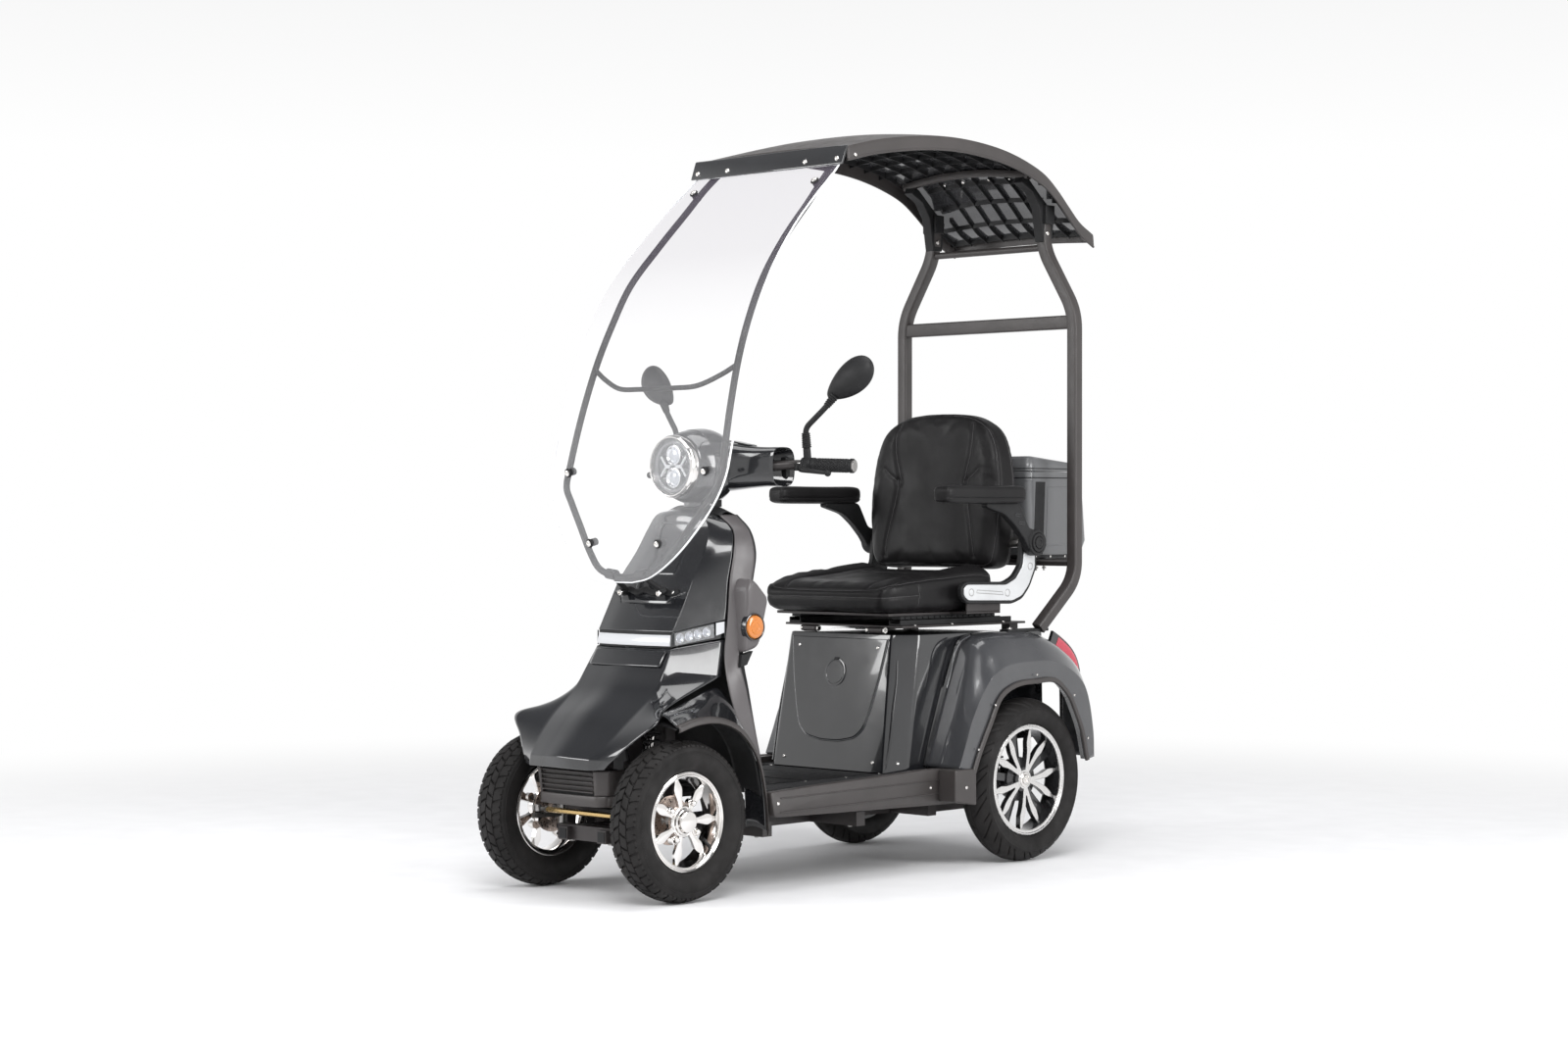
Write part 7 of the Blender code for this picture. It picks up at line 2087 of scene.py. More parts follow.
def build_grip(label, side):
    """Rubber sleeve with a diamond pattern between two flanges, and a metal end cap."""
    along, end = on_side(GRIP_ALONG, side), on_side(GRIP_END, side)
    inner = end - along * GRIP_LENGTH
    turn = along.to_track_quat("Z", "Y").to_matrix().to_4x4()
    rings = []
    steps, sides = 78, 64
    for i in range(steps + 1):
        t = i / steps
        z = GRIP_LENGTH * t
        ring = []
        for k in range(sides):
            angle = math.tau * k / sides
            u, v = angle / math.tau * 14, z / 0.0075
            diamond = abs(((u + v) % 1) - 0.5) + abs(((u - v) % 1) - 0.5)
            inside = smooth_step(t, 0.10, 0.13) * (1 - smooth_step(t, 0.87, 0.90))
            radius = 0.0148 + 0.0017 * smooth_step(diamond, 0.25, 0.55) * inside
            if t < 0.07 or t > 0.93:
                radius = 0.0172
            elif t < 0.10 or t > 0.90:
                radius = 0.0158
            ring.append(Vector((radius * math.cos(angle), radius * math.sin(angle), z)))
        rings.append(ring)
    sleeve = moved(grid(rings, wrap=True, caps=True), Matrix.Translation(inner) @ turn)
    piece(f"grip_sleeve_{label}", sleeve, "black_plastic", "steering", 25, (f"grip_{label}",))
    cap = lathe([(-0.001, 0.0), (-0.001, 0.0150), (0.0032, 0.0150), (0.0045, 0.0138), (0.0050, 0.0060),
                 (0.0042, 0.0)],
                (0, 0, 0), axis="Z", steps=32)
    piece(f"grip_cap_{label}", moved(cap, Matrix.Translation(end) @ turn), "steel", "steering", 35)
    # Brake perch, lever and knob
    perch = bmesh.new()
    collar = lathe([(0.0, 0.0120), (0.0, 0.0160), (0.0020, 0.0172), (0.0230, 0.0172), (0.0255, 0.0160),
                    (0.0255, 0.0120), (0.0, 0.0120)], (0, 0, 0), axis="Z", steps=36)
    absorb(perch, collar, Matrix.Translation(inner - along * 0.0265) @ turn)
    foot = on_side(GRIP_END - GRIP_ALONG * (GRIP_LENGTH + 0.012), side)
    rod(foot, foot + Vector((0, -0.004, 0.0395)), 0.0095, 0.0088, 24, perch)
    root = foot + Vector((0, -0.032, -0.006))
    rod(foot, root + Vector((0, -0.004, 0)), 0.0105, 0.0090, 20, perch)
    rod(root + Vector((0, 0, -0.0085)), root + Vector((0, 0, 0.0085)), 0.0100, sides=24, bm=perch)
    made = piece(f"brake_perch_{label}", perch, "black_plastic", "steering", 35, (f"brake_lever_{label}",))
    soften(made, 0.001, 2, 40)
    tip = end - along * 0.030 + Vector((0, -0.048, -0.018))
    bend = root + on_side((0.022, -0.014, -0.006), side)
    path = spline((root, bend, bend.lerp(tip, 0.45) + Vector((0, -0.005, 0)), tip), 8)
    scales = [1.15 - 0.45 * i / (len(path) - 1) for i in range(len(path))]
    section = [(0.0045 * u, 0.0066 * v) for u, v in circle(1, 14)]
    lever = sweep(path, section, scales=scales, up=(0, 0, 1))
    ball(tip, (0.0082, 0.0082, 0.0082), lever, 8)
    piece(f"brake_blade_{label}", lever, "black_plastic", "steering", 40)
    pin = bmesh.new()
    screw(pin, root + Vector((0, 0, 0.0088)), (0, 0, 1), 0.0045, 0.0022)
    piece(f"brake_pin_{label}", pin, "chrome", "steering")


def teardrop(a):
    """Height of the mirror's head, from 1 at its wide outer end (a = 1) to the end at the stalk (a = -1)."""
    return (0.84 + 0.16 * a) * (1 - 0.22 * max(-a, 0) ** 2)


def build_mirror(label, side):
    """Stalk with ribbed boots, a teardrop head and its glass."""
    foot = on_side(GRIP_END - GRIP_ALONG * (GRIP_LENGTH + 0.012), side)
    top = foot + Vector((0, -0.004, 0.040))
    up = (top - foot).normalized()
    neck = top + up * 0.046
    bend = on_side((0.268, -0.240, 1.122), side)
    joint = on_side((0.292, -0.230, 1.152), side)
    stalk = tube(rounded((top, neck, bend, joint), 0.014, 6), 0.0068, sides=18)
    piece(f"mirror_stalk_{label}", stalk, "black_plastic", "steering", 60, (f"mirror_{label}",))
    boots = bmesh.new()
    # Foot, axis, length, ribs, and radius at the foot and how it changes, of each boot
    for start, axis, length, ribs, wide, growth in (
            (top, up, 0.036, 7, 0.0112, -0.00112),
            (bend.lerp(joint, 0.15), (joint - bend).normalized(), 0.034, 6, 0.00861, 0.00315)):
        profile = [(0.0, 0.0)]
        pitch = length / ribs
        for i in range(ribs):
            low = pitch * i
            swell = wide + growth * i / ribs
            profile += [(low, swell * 0.86), (low + pitch * 0.2, swell), (low + pitch * 0.6, swell),
                        (low + pitch * 0.8, swell * 0.86)]
        profile.append((length, 0.0))
        boot = lathe(profile, (0, 0, 0), axis="Z", steps=28)
        absorb(boots, boot, Matrix.Translation(start) @ axis.to_track_quat("Z", "Y").to_matrix().to_4x4())
    piece(f"mirror_boots_{label}", boots, "black_plastic", "steering", 30)

    centre = on_side((0.330, -0.214, 1.191), side)
    turn = (Matrix.Translation(centre) @ mirror_matrix(side)
            @ Matrix.Rotation(-math.radians(33), 4, "Y") @ Matrix.Rotation(math.radians(8), 4, "Z"))
    head = ball((0, 0, 0), (1, 1, 1), detail=22)
    for vert in head.verts:
        a, b, c = vert.co
        height = 0.0485 * teardrop(a)
        depth = 0.024 if b < 0 else 0.009
        squared = math.copysign(abs(b) ** 0.7, b) if b > 0 else b
        vert.co = Vector((a * (0.067 if a > 0 else 0.079), depth * squared, height * c))
    piece(f"mirror_head_{label}", moved(head, turn), "black_plastic", "steering", 40)
    outline = []
    for i in range(56):
        angle = math.tau * i / 56
        a, c = math.cos(angle), math.sin(angle)
        outline.append((a * (0.0595 if a > 0 else 0.0680), 0.0425 * teardrop(a) * c))
    glass = prism(outline, "Y", 0.0075, 0.0096)
    piece(f"mirror_glass_{label}", moved(glass, turn), "mirror_glass", "steering", 30)


def build_steering():
    """Handlebar and column, and all that turns with them."""
    half = [GRIP_END, GRIP_END - GRIP_ALONG * 0.152, (0.135, -0.300, 0.986), (0.070, -0.360, 0.985)]
    path = rounded([*half, BAR_POINT, *mirrored(reversed(half))], 0.016, 5)
    bar = tube(path, BAR_RADIUS, sides=20)
    foot = Vector((0, STEER_POINT.y + (0.302 - STEER_POINT.z) * math.tan(STEER_RAKE), 0.302))
    rod(foot, BAR_POINT, 0.017, sides=32, bm=bar)
    piece("steering_bar", bar, "frame_paint", "steering", 40, ("steering_column",))
    build_nacelle()
    build_headlamp()
    for label, side in SIDES:
        build_grip(label, side)
        build_mirror(label, side)


# Roof, screen and frame

# Roof from front to rear along its edge: y, height of the edge, crown in the middle, half width
ROOF_STATIONS = (
    (-0.146, 1.747, 0.006, 0.250), (-0.050, 1.770, 0.014, 0.250), (0.045, 1.786, 0.018, 0.250),
    (0.145, 1.798, 0.020, 0.250), (0.243, 1.803, 0.022, 0.250), (0.350, 1.799, 0.022, 0.250),
    (0.450, 1.787, 0.022, 0.249), (0.540, 1.766, 0.021, 0.247), (0.611, 1.740, 0.020, 0.245),
    (0.665, 1.705, 0.018, 0.243), (0.711, 1.668, 0.016, 0.241), (0.760, 1.630, 0.012, 0.239),
    (0.818, 1.603, 0.008, 0.236),
)
ROOF_CROWN = ((1.0, 0.0), (0.92, 0.15), (0.6, 0.62), (0.3, 0.92), (0.0, 1.0))
ROOF_SKIRT = 0.033
ROOF_WALL = 0.0032


def roof_line():
    """The stations as a smooth line: y, height, crown and half width at every few millimetres."""
    places = spline([(row[0], row[1], 0) for row in ROOF_STATIONS], 12)
    shapes = spline([(row[0], row[2], row[3]) for row in ROOF_STATIONS], 12)
    return [(a.x, a.y, b.y, b.z) for a, b in zip(places, shapes)]


def roof_rise(share):
    """Rise of the roof at a share of its half width, as a share of the crown."""
    share = abs(share)
    for (outer, low), (inner, high) in zip(ROOF_CROWN, ROOF_CROWN[1:]):
        if inner <= share <= outer:
            t = (share - outer) / (inner - outer)
            return low + (high - low) * t
    return 0.0


def under_roof(x, y, line):
    """Height of the underside of the roof."""
    for a, b in zip(line, line[1:]):
        if a[0] <= y <= b[0]:
            t = (y - a[0]) / (b[0] - a[0])
            _, z, crown, half = (p + (q - p) * t for p, q in zip(a, b))
            slope = math.atan2(b[1] - a[1], b[0] - a[0])
            return z + crown * roof_rise(x / half) - ROOF_WALL / math.cos(slope), half
    return line[-1][1] - 0.004, line[-1][3]


def build_roof_shell():
    """The roof's skin with its skirts, rolled rims and turned-down rear edge."""
    line = roof_line()
    rows = []
    for y, z, crown, half in line:
        across = [(half * width, y, z + crown * rise) for width, rise in ROOF_CROWN]
        rows.append(spline(both_sides([(half + 0.0038, y, z - ROOF_SKIRT), (half + 0.0015, y, z - 0.006),
                                       *across]), 5,
                           (1, 2, 10, 11)))
    shell = piece("roof_skin", grid(rows), "satin_brown_grey", stands_for=("roof_shell",), smooth=30,
                  away=(0, 0.3, 0.9))
    soften(shell, 0.003, 3, 24)
    thicken(shell, ROOF_WALL)
    # Rolled rim along the skirt, and the turned-down rear edge
    for label, side in SIDES:
        rim = [on_side((half + 0.0020, y, z - ROOF_SKIRT), side) for y, z, _, half in line]
        piece(f"roof_rim_{label}", tube(rim, 0.0030, sides=10), "satin_brown_grey", smooth=60)
    y, z, crown, half = line[-1]
    tail = [Vector((half * share, y - 0.001, z + crown * roof_rise(share) - 0.012)) for share in
            [1 - i / 20 for i in range(41)]]
    band = sweep(tail, [(-0.0025, -0.010), (0.0025, -0.010), (0.0025, 0.011), (-0.0025, 0.011)], up=(0, 0, 1))
    soften(piece("roof_tail", band, "satin_brown_grey", smooth=35), 0.0015, 2, 40)


def build_roof_ribs():
    """The moulded grid under the roof."""
    line = roof_line()
    ribs = bmesh.new()
    depth, pitch = 0.0125, 0.0565
    for x in (0.0, 0.056, -0.056, 0.112, -0.112, 0.168, -0.168, 0.222, -0.222):
        for low, high in ((-0.132, 0.560), (0.606, 0.806)):
            # Behind the bow, room is left for the brackets of the roll frame
            if abs(x) == 0.168 and low > 0.5:
                low = 0.715
            count = max(int((high - low) / 0.012), 4)
            places = [low + (high - low) * i / count for i in range(count + 1)]
            rings = []
            for y in places:
                top, _ = under_roof(x, y, line)
                rings.append([Vector((x - 0.0017, y, top + 0.0012)), Vector((x + 0.0017, y, top + 0.0012)),
                              Vector((x + 0.0010, y, top - depth)), Vector((x - 0.0010, y, top - depth))])
            grid(rings, ribs, wrap=True, caps=True)
    y = -0.105
    while y < 0.80:
        if not 0.556 < y < 0.606:
            _, half = under_roof(0, y, line)
            reach = half - 0.003
            spans = [(-0.168, 0.168), (0.206, reach), (-reach, -0.206)]
            if y < 0.55 or y > 0.712:
                spans = [(-reach, reach)]
            for low, high in spans:
                count = max(int((high - low) / 0.014), 3)
                rings = []
                for i in range(count + 1):
                    x = low + (high - low) * i / count
                    top, _ = under_roof(x, y, line)
                    rings.append([Vector((x, y - 0.0017, top + 0.0012)),
                                  Vector((x, y + 0.0017, top + 0.0012)),
                                  Vector((x, y + 0.0010, top - depth + 0.001)),
                                  Vector((x, y - 0.0010, top - depth + 0.001))])
                grid(rings, ribs, wrap=True, caps=True)
        y += pitch
    piece("roof_ribs", ribs, "black_plastic", smooth=30)
    liner = []
    for y, _, _, half in line[1:-1]:
        row = []
        for i in range(25):
            x = (half - 0.0045) * (1 - i / 12)
            top, _ = under_roof(x, y, line)
            row.append(Vector((x, y, top - 0.0006)))
        liner.append(row)
    thicken(piece("roof_lining", grid(liner), "gloss_liner", smooth=40), 0.0005, 0.0)


def build_roof_lip():
    """Strip that clamps the screen to the roof's front edge, with its screws."""
    outline = ((-0.1465, 1.7455), (-0.1500, 1.7500), (-0.1535, 1.7480), (-0.1690, 1.7050), (-0.1685, 1.7025),
               (-0.1660, 1.7020), (-0.1640, 1.7030), (-0.1500, 1.7385))
    lip = piece("roof_lip_band", prism(outline, "X", -0.256, 0.256), "gloss_black", stands_for=("roof_lip",))
    soften(lip, 0.0012, 2, 30)
    heads = bmesh.new()
    for x in (0.236, 0.132, -0.132, -0.236):
        screw(heads, (x, -0.1650, 1.7165), (0, -0.94, 0.34), 0.0062, 0.0034)
    for side in (1, -1):
        screw(heads, (side * 0.2545, -0.120, 1.728), (side, 0, 0.1), 0.0045, 0.0025)
    piece("roof_lip_screws", heads, "chrome", smooth=35)


# Screen from top to bottom: y, z, half width
SCREEN_ROWS = (
    (-0.1627, 1.7040, 0.241), (-0.184, 1.683, 0.243), (-0.254, 1.623, 0.249), (-0.334, 1.545, 0.256),
    (-0.425, 1.439, 0.271), (-0.482, 1.345, 0.283), (-0.525, 1.225, 0.292), (-0.558, 1.115, 0.297),
    (-0.580, 1.030, 0.298), (-0.597, 0.959, 0.295), (-0.612, 0.900, 0.275), (-0.632, 0.819, 0.219),
    (-0.643, 0.762, 0.158), (-0.649, 0.727, 0.098), (-0.651, 0.716, 0.045),
)

# Tube behind the screen, left side from the top down to the middle
HOOP_PATH = (
    (0.197, -0.118, 1.724), (0.203, -0.175, 1.672), (0.208, -0.232, 1.612), (0.214, -0.320, 1.522),
    (0.226, -0.404, 1.423), (0.232, -0.456, 1.330), (0.240, -0.498, 1.235), (0.250, -0.537, 1.115),
    (0.258, -0.569, 0.990), (0.256, -0.583, 0.936), (0.232, -0.590, 0.902), (0.185, -0.602, 0.842),
    (0.140, -0.613, 0.784), (0.100, -0.6205, 0.746), (0.050, -0.625, 0.731), (0, -0.627, 0.727),
)


def build_screen():
    """Screen with a bright edge, the hoop behind it, its stay, bolts and clamps."""
    dense = spline(SCREEN_ROWS, 7)
    rows = []
    for y, z, half in dense:
        rows.append([Vector((half * (1 - i / 12), y, z)) for i in range(25)])
    pane = piece("screen_pane", grid(rows), "acrylic", stands_for=("windscreen",), smooth=60,
                 away=(0, 0, 1.0))
    thicken(pane, 0.0035)
    edge = [Vector((half, y - 0.0002, z)) for y, z, half in dense]
    outline = edge + mirrored(reversed(edge))
    thin = [(-0.0010, -0.0019), (0.0010, -0.0019), (0.0010, 0.0019), (-0.0010, 0.0019)]
    rings = []
    for index, point in enumerate(outline):
        before, after = outline[index - 1], outline[(index + 1) % len(outline)]
        tangent = (after - before).normalized()
        out = Vector((0, -0.93, 0.37)) if point.z > 1.5 else Vector((0, -0.98, 0.2))
        across = tangent.cross(out).normalized()
        out = across.cross(tangent)
        rings.append([point + across * u + out * (v - 0.0017) for u, v in thin])
    rings.append(rings[0])
    made = grid(rings, wrap=True)
    bmesh.ops.remove_doubles(made, verts=made.verts, dist=1e-6)
    piece("screen_edge", made, "acrylic_edge", smooth=40)

    path = spline([Vector(p) for p in HOOP_PATH] + mirrored(reversed(HOOP_PATH[:-1])), 7)
    hoop = tube(path, 0.008, sides=18)
    for side in (1, -1):
        rod((side * 0.197, -0.118, 1.716), (side * 0.197, -0.118, 1.7505), 0.010, sides=20, bm=hoop)
    piece("hoop_tube", hoop, "black_plastic", stands_for=("screen_hoop",), smooth=60)
    half = ((0.2405, -0.502, 1.217), (0.195, -0.513, 1.193), (0.132, -0.526, 1.170), (0.060, -0.5300, 1.1665),
            (0, -0.5305, 1.1665))
    stay = spline([*half, *mirrored(reversed(half[:-1]))], 8)
    piece("hoop_stay", tube(stay, 0.006, sides=16), "black_plastic", smooth=60)
    pucks, bolts = bmesh.new(), bmesh.new()
    # Screen bolts: x, y, z on the screen's outer face, then how far back the hoop lies
    for x, y, z, back in ((0.2310, -0.6000, 0.9710, 0.020), (0.1150, -0.6360, 0.8050, 0.020),
                          (0.2050, -0.2080, 1.6620, 0.022)):
        for side in (1, -1):
            out = Vector((0, -0.975, -0.22)) if z < 1.2 else Vector((0, -0.70, 0.71))
            place = Vector((side * x, y, z))
            rod(place - out * back, place - out * 0.0042, 0.0090, sides=20, bm=pucks)
            rod(place, place + out * 0.0035, 0.0112, 0.0100, 24, pucks)
            screw(bolts, place + out * 0.0036, out, 0.0074, 0.0032)
    soften(piece("screen_pucks", pucks, "black_plastic", smooth=40), 0.001, 2, 40)
    piece("screen_bolts", bolts, "chrome", smooth=35)
    clamps = bmesh.new()
    for side in (1, -1):
        tube([Vector((side * 0.050, -0.6245, 0.7340)), Vector((side * 0.055, -0.600, 0.715)),
              Vector((side * 0.060, -0.5735, 0.698))], 0.0068, clamps, 14)
        rod((side * 0.036, -0.6255, 0.7315), (side * 0.066, -0.6245, 0.7350), 0.0125, sides=20, bm=clamps)
    soften(piece("hoop_clamps", clamps, "black_plastic", smooth=40), 0.001, 2, 40)


# The roll frame stands upright at this y
FRAME_Y = 0.672


def build_roll_frame():
    """Rear posts, crossbars, the bow under the roof, brackets, foot plates and bolts."""
    posts = bmesh.new()
    for side in (1, -1):
        path = rounded([on_side(p, side) for p in (
            (0.188, FRAME_Y, 1.660), (0.188, FRAME_Y, 1.561), (0.291, FRAME_Y, 1.392),
            (0.291, FRAME_Y, 0.706), (0.262, 0.560, 0.5815))], 0.045, 9)
        sweep(path, square_tube(0.015, 0.0045, 3), posts, hint=(0, 1, 0))
    piece("frame_posts", posts, "satin_brown_grey", stands_for=("roll_frame",), smooth=40)
    bars = bmesh.new()
    flat = [(u * 0.8, v * 1.2) for u, v in square_tube(0.0145, 0.004, 3)]
    sweep([(-0.278, FRAME_Y, 1.3655), (0.278, FRAME_Y, 1.3655)], flat, bars, up=(0, 0, 1))
    rod((-0.186, FRAME_Y, 1.562), (0.186, FRAME_Y, 1.562), 0.009, sides=24, bm=bars)
    piece("frame_bars", bars, "satin_brown_grey", smooth=40)
    line = roof_line()
    bow = []
    for i in range(25):
        x = 0.212 * (1 - i / 12)
        y = 0.577 + 0.008 * (abs(x) / 0.212) ** 2
        height, _ = under_roof(x, y + 0.009, line)
        bow.append(Vector((x, y, height - 0.0095)))
    bow = sweep(bow, square_tube(0.009, 0.0025, 2), up=(0, 0, 1))
    piece("frame_bow", bow, "satin_brown_grey", smooth=40)
    brackets, heads = bmesh.new(), bmesh.new()
    for side in (1, -1):
        outline = [(0.655, 1.575), (0.690, 1.575), (0.701, 1.650), (0.648, 1.690), (0.598, 1.732),
                   (0.577, 1.742), (0.568, 1.722), (0.612, 1.700), (0.640, 1.660)]
        prism(outline, "X", *sorted((side * 0.174, side * 0.202)), brackets)
        low, high = sorted((side * 0.166, side * 0.212))
        block((low, 0.655, 1.622), (high, 0.6895, 1.6700), brackets)
        for y, z in ((0.690, 1.662), (0.690, 1.600), (0.690, 1.582)):
            screw(heads, (side * 0.188, y, z), (0, 1, 0.1), 0.0062, 0.0038)
        for y, z in ((0.668, 1.650), (0.668, 1.598)):
            screw(heads, (side * 0.2040, y, z), (side, 0, 0), 0.0058, 0.0036)
            screw(heads, (side * 0.1720, y, z), (-side, 0, 0), 0.0058, 0.0036)
        for x in (0.045, 0.110):
            height, _ = under_roof(x, 0.625, line)
            screw(heads, (side * x, 0.625, height - 0.0022), (0, -0.54, -0.84), 0.0054, 0.0030)
        foot = [(0.232, 0.442), (0.262, 0.440), (0.270, 0.452), (0.270, 0.592), (0.262, 0.602),
                (0.232, 0.602)]
        outline = [(side * x, y) for x, y in foot]
        prism(outline, "Z", 0.5745, 0.5815, brackets)
        for y in (0.458, 0.586):
            screw(heads, (side * 0.252, y, 0.5815), (0, 0, 1), 0.0062, 0.0042)
    soften(piece("frame_brackets", brackets, "black_plastic", smooth=35), 0.0016, 2, 35)
    piece("frame_bolts", heads, "chrome", smooth=35)


def build_roof():
    """Roof, screen and the frame that carries them."""
    build_roof_shell()
    build_roof_ribs()
    build_roof_lip()
    build_screen()
    build_roll_frame()


# Top box and rack

# Tub from foot to rim: z, half width, front y, rear y
BOX_SECTIONS = (
    (0.7575, 0.1930, 0.6050, 0.8210), (0.7640, 0.1950, 0.6030, 0.8265), (0.8030, 0.1978, 0.6015, 0.8455),
    (0.8900, 0.2010, 0.5965, 0.8330), (0.9560, 0.2036, 0.5935, 0.8225), (0.9585, 0.2048, 0.5922, 0.8185),
    (0.9810, 0.2049, 0.5921, 0.8178),
)


def wall_at(z):
    """Half width of the tub at a height."""
    for low, high in zip(BOX_SECTIONS, BOX_SECTIONS[1:]):
        if low[0] <= z <= high[0]:
            return low[1] + (high[1] - low[1]) * (z - low[0]) / (high[0] - low[0])
    return BOX_SECTIONS[-1][1]


def box_ring(half, front, rear, z, corner=0.022):
    """A level rectangle with rounded corners."""
    outline = rounded_loop(((half, front), (half, rear), (-half, rear), (-half, front)), corner, 5)
    return [Vector((p[0], p[1], z)) for p in outline]


def build_tub():
    """Tub with its wall, the strips and creases on its sides, rim, base and screws."""
    rings = [box_ring(half, front, rear, z) for z, half, front, rear in BOX_SECTIONS]
    inner = [box_ring(half - 0.004, front + 0.004, rear - 0.004, z)
             for z, half, front, rear in reversed(BOX_SECTIONS)]
    inner[-1] = [Vector((p.x, p.y, p.z + 0.004)) for p in inner[-1]]
    tub = grid([*rings, *inner], caps=True, wrap=True)
    made = piece("box_tub", tub, "box_grey", stands_for=("top_box_tub",), smooth=30)
    soften(made, 0.0014, 3, 30)
    strips, lines = bmesh.new(), bmesh.new()
    for _, side in SIDES:
        # Black strip down each side, near the front
        rows = []
        for i in range(17):
            z = 0.7680 + (0.9550 - 0.7680) * i / 16
            rows.append([Vector((side * (wall_at(z) + rise), y, z)) for y, rise in
                         ((0.6220, -0.001), (0.6220, 0.0007), (0.6600, 0.0007), (0.6600, -0.001))])
        grid(rows, strips, wrap=True, caps=True)
        frame = []
        for y, z in ((0.6720, 0.7900), (0.8200, 0.7950), (0.8200, 0.8030), (0.8060, 0.8900), (0.7980, 0.9420),
                     (0.6720, 0.9420), (0.6720, 0.8900), (0.6720, 0.8030)):
            frame.append(Vector((side * (wall_at(z) + 0.0001), y, z)))
        tube(frame, 0.0010, lines, 8, closed=True)
    piece("box_strips", strips, "black_plastic", smooth=30)
    piece("box_creases", lines, "box_grey", smooth=60)
    rim = box_ring(0.2050, 0.5920, 0.8180, 0.9655)
    piece("box_rim", tube(rim, 0.0014, sides=10, closed=True), "black_plastic", smooth=60)
    base = [box_ring(0.1925, 0.6055, 0.8200, 0.7568), box_ring(0.1965, 0.6025, 0.8280, 0.7595),
            box_ring(0.1968, 0.6020, 0.8300, 0.7660), box_ring(0.1950, 0.6040, 0.8270, 0.7668)]
    piece("box_base", grid(base, wrap=True, caps=True), "black_plastic", smooth=35)
    screws = bmesh.new()
    for _, side in SIDES:
        for y in (0.630, 0.690, 0.750, 0.805):
            screw(screws, (side * 0.1968, y, 0.7625), (side, 0, 0), 0.0030, 0.0016, socket=False)
    piece("box_screws", screws, "chrome", smooth=35)


def build_lid():
    """Lid with a raised panel, latch, lock and bead."""
    body = "top_box_lid_body"
    rings = [box_ring(0.2040, 0.5930, 0.8170, 0.9826), box_ring(0.2050, 0.5920, 0.8182, 0.9835),
             box_ring(0.2050, 0.5920, 0.8182, 0.9950), box_ring(0.2036, 0.5934, 0.8168, 0.9990),
             box_ring(0.1985, 0.5985, 0.8110, 1.0035), box_ring(0.1900, 0.6060, 0.8040, 1.0048)]
    # The top rises towards the latch at the front
    for ring, share in zip(rings[3:], (0.25, 0.75, 1.0)):
        for point in ring:
            rise = smooth_step(0.70 - point.y, 0.0, 0.085)
            point.z += 0.0165 * share * rise
    lid = grid(rings, wrap=True, caps=True)
    made = piece("lid_shell", lid, "box_grey", body, 30, ("top_box_lid",))
    soften(made, 0.0012, 2, 30)
    panel = [box_ring(0.1500, 0.6600, 0.7860, 1.0038, 0.018), box_ring(0.1500, 0.6600, 0.7860, 1.0062, 0.018),
             box_ring(0.1470, 0.6630, 0.7830, 1.0072, 0.016)]
    piece("lid_panel", grid(panel, wrap=True, caps=True), "box_grey", body, 30)
    latch = prism([(0.5915, 0.9860), (0.5905, 0.9960), (0.5960, 1.0100), (0.6120, 1.0205), (0.6500, 1.0235),
                   (0.6560, 1.0180), (0.6240, 1.0080), (0.6020, 0.9860)], "X", -0.060, 0.060)
    soften(piece("lid_latch", latch, "black_plastic", body, 35), 0.002, 3, 30)
    key = lathe([(0.0, 0.0), (0.0, 0.0080), (0.0016, 0.0080), (0.0022, 0.0066), (0.0022, 0.0)], (0, 0, 0),
                "Z", 28)
    piece("lid_lock", moved(key, Matrix.Translation((0, 0.6350, 1.0222))), "chrome", body, 30)
    seam = box_ring(0.2049, 0.5921, 0.8181, 0.9895)
    piece("lid_bead", tube(seam, 0.0012, sides=10, closed=True), "black_plastic", body, 60)


def build_rack():
    """Bars under the box, from post to post, with studs."""
    bars = bmesh.new()
    z = 0.7508
    lines = [((x, 0.6060, z), (x, 0.7940, z)) for x in (-0.164, -0.055, 0.055, 0.164)]
    lines += [((-0.1690, y, z), (0.1690, y, z)) for y in (0.6065, 0.7000, 0.7935)]
    for line in lines:
        sweep(line, square_tube(0.0056, 0.0016, 2), bars, up=(0, 0, 1))
    flat = [(u * 2.3, v) for u, v in square_tube(0.0058, 0.0014, 2)]
    sweep([(-0.2750, FRAME_Y, 0.7440), (0.2750, FRAME_Y, 0.7440)], flat, bars, up=(0, 0, 1))
    piece("rack_bars", bars, "frame_paint", stands_for=("rack",), smooth=40)
    studs = bmesh.new()
    for x, y in ((0.150, 0.6900), (0.150, 0.7220), (-0.150, 0.6900), (-0.150, 0.7220)):
        rod((x, y, 0.7250), (x, y, 0.7440), 0.0026, sides=14, bm=studs)
        rod((x, y, 0.7300), (x, y, 0.7350), 0.0055, sides=6, bm=studs)
    piece("rack_studs", studs, "steel", smooth=35)


def build_luggage():
    """Top box and its rack."""
    build_tub()
    build_lid()
    build_rack()


# Everything

def build_all():
    """Every visible piece. Together they stand for all CAD nodes."""
    build_wheels()
    build_chassis()
    build_body()
    build_seat()
    build_steering()
    build_roof()
    build_luggage()


# Studio

# The photograph's camera: metres, degrees, and a focal length in pixels of the photograph
CAMERA_PLACE = (4.9337, -5.2128, 0.886)
CAMERA_AZIMUTH = 43.984
CAMERA_DOWN = 0.283
CAMERA_FOCAL_PIXELS = 2963.5
PHOTO_WIDTH = 1600


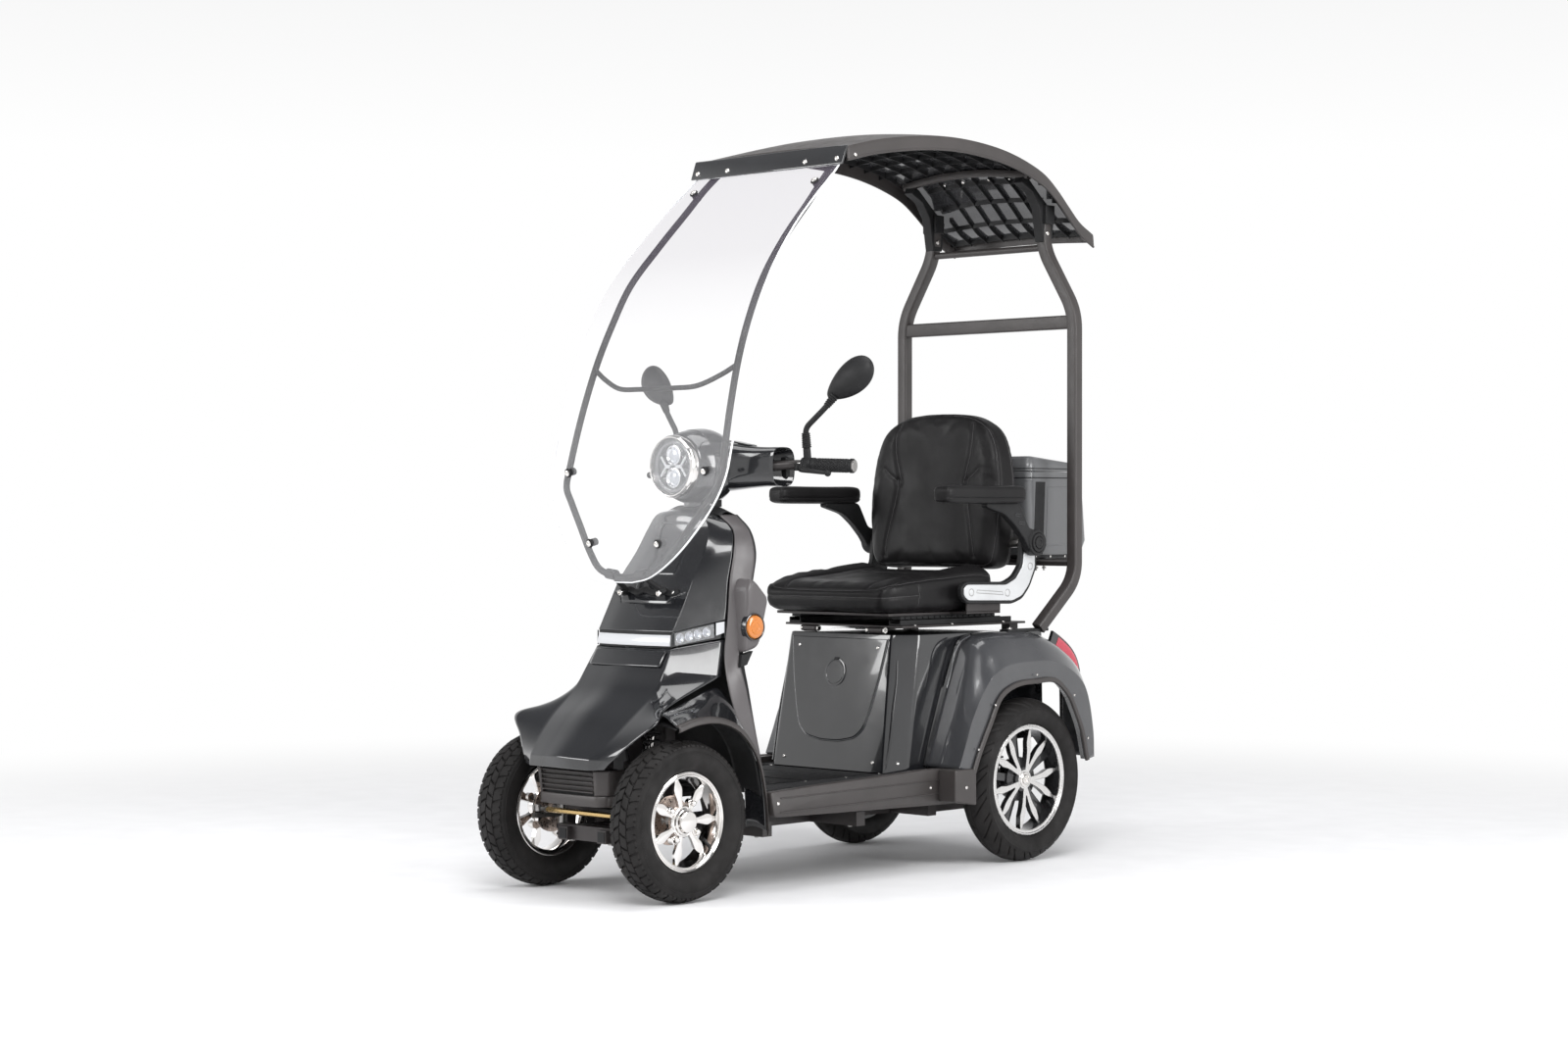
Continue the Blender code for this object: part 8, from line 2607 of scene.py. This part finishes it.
def pale_floor(name):
    """A matt pale floor that turns to plain white away from the scooter."""
    made = speckled(name, (0.86, 0.86, 0.87), (0.90, 0.90, 0.91), (0.6, 0.7), 30.0, 0.01, specular=0.2)
    tree = made.node_tree
    distance = tree.nodes.new("ShaderNodeVectorMath")
    distance.operation = "LENGTH"
    tree.links.new(object_coordinates(made), distance.inputs[0])
    far = tree.nodes.new("ShaderNodeMapRange")
    far.interpolation_type = "SMOOTHSTEP"
    far.inputs["From Min"].default_value = 1.3
    far.inputs["From Max"].default_value = 4.5
    tree.links.new(distance.outputs["Value"], far.inputs["Value"])
    white = tree.nodes.new("ShaderNodeEmission")
    mix = tree.nodes.new("ShaderNodeMixShader")
    tree.links.new(far.outputs["Result"], mix.inputs["Fac"])
    tree.links.new(tree.nodes["Principled BSDF"].outputs["BSDF"], mix.inputs[1])
    tree.links.new(white.outputs["Emission"], mix.inputs[2])
    tree.links.new(mix.outputs["Shader"], tree.nodes["Material Output"].inputs["Surface"])
    return made


def build_stage():
    """A pale floor, soft lights and the camera of the photograph."""
    scene = bpy.context.scene
    floor = bpy.data.meshes.new("floor")
    bm = bmesh.new()
    bmesh.ops.create_grid(bm, x_segments=1, y_segments=1, size=30)
    bm.to_mesh(floor)
    bm.free()
    stage = bpy.data.objects.new("floor", floor)
    stage.data.materials.append(pale_floor("floor"))
    scene.collection.objects.link(stage)

    world = bpy.data.worlds.new("studio")
    scene.world = world
    world.use_nodes = True
    scene.view_settings.view_transform = "Standard"
    # White at the horizon and grey overhead
    tree = world.node_tree
    place = tree.nodes.new("ShaderNodeTexCoord")
    split = tree.nodes.new("ShaderNodeSeparateXYZ")
    shades = tree.nodes.new("ShaderNodeValToRGB")
    shades.color_ramp.elements[0].color = (1.0, 1.0, 1.0, 1)
    shades.color_ramp.elements[0].position = 0.12
    shades.color_ramp.elements[1].color = (0.20, 0.203, 0.212, 1)
    shades.color_ramp.elements[1].position = 0.75
    tree.links.new(place.outputs["Generated"], split.inputs["Vector"])
    tree.links.new(split.outputs["Z"], shades.inputs["Fac"])
    tree.links.new(shades.outputs["Color"], tree.nodes["Background"].inputs["Color"])

    # Name, place, target, width, height, power
    lights = (
        ("key", (3.4, -3.6, 4.2), (0, -0.1, 0.8), 3.0, 2.2, 190),
        ("left_box", (4.6, 1.2, 2.2), (0, 0.2, 0.8), 1.6, 2.8, 110),
        ("front_box", (-2.4, -4.6, 2.4), (0, -0.3, 0.7), 2.6, 2.0, 110),
        ("top", (0.2, 0.0, 4.6), (0, 0, 1.0), 3.2, 3.2, 105),
    )
    for name, place, target, width, height, power in lights:
        data = bpy.data.lights.new(name, "AREA")
        data.shape = "RECTANGLE"
        data.size = width
        data.size_y = height
        data.energy = power
        lamp = bpy.data.objects.new(name, data)
        lamp.location = place
        lamp.rotation_euler = (Vector(target) - Vector(place)).to_track_quat("-Z", "Y").to_euler()
        scene.collection.objects.link(lamp)

    data = bpy.data.cameras.new("camera")
    data.sensor_width = 36.0
    data.lens = CAMERA_FOCAL_PIXELS / PHOTO_WIDTH * data.sensor_width
    camera = bpy.data.objects.new("camera", data)
    camera.location = CAMERA_PLACE
    camera.rotation_euler = (math.radians(90 - CAMERA_DOWN), 0, math.radians(CAMERA_AZIMUTH))
    scene.collection.objects.link(camera)
    scene.camera = camera


build_all()
build_stage()
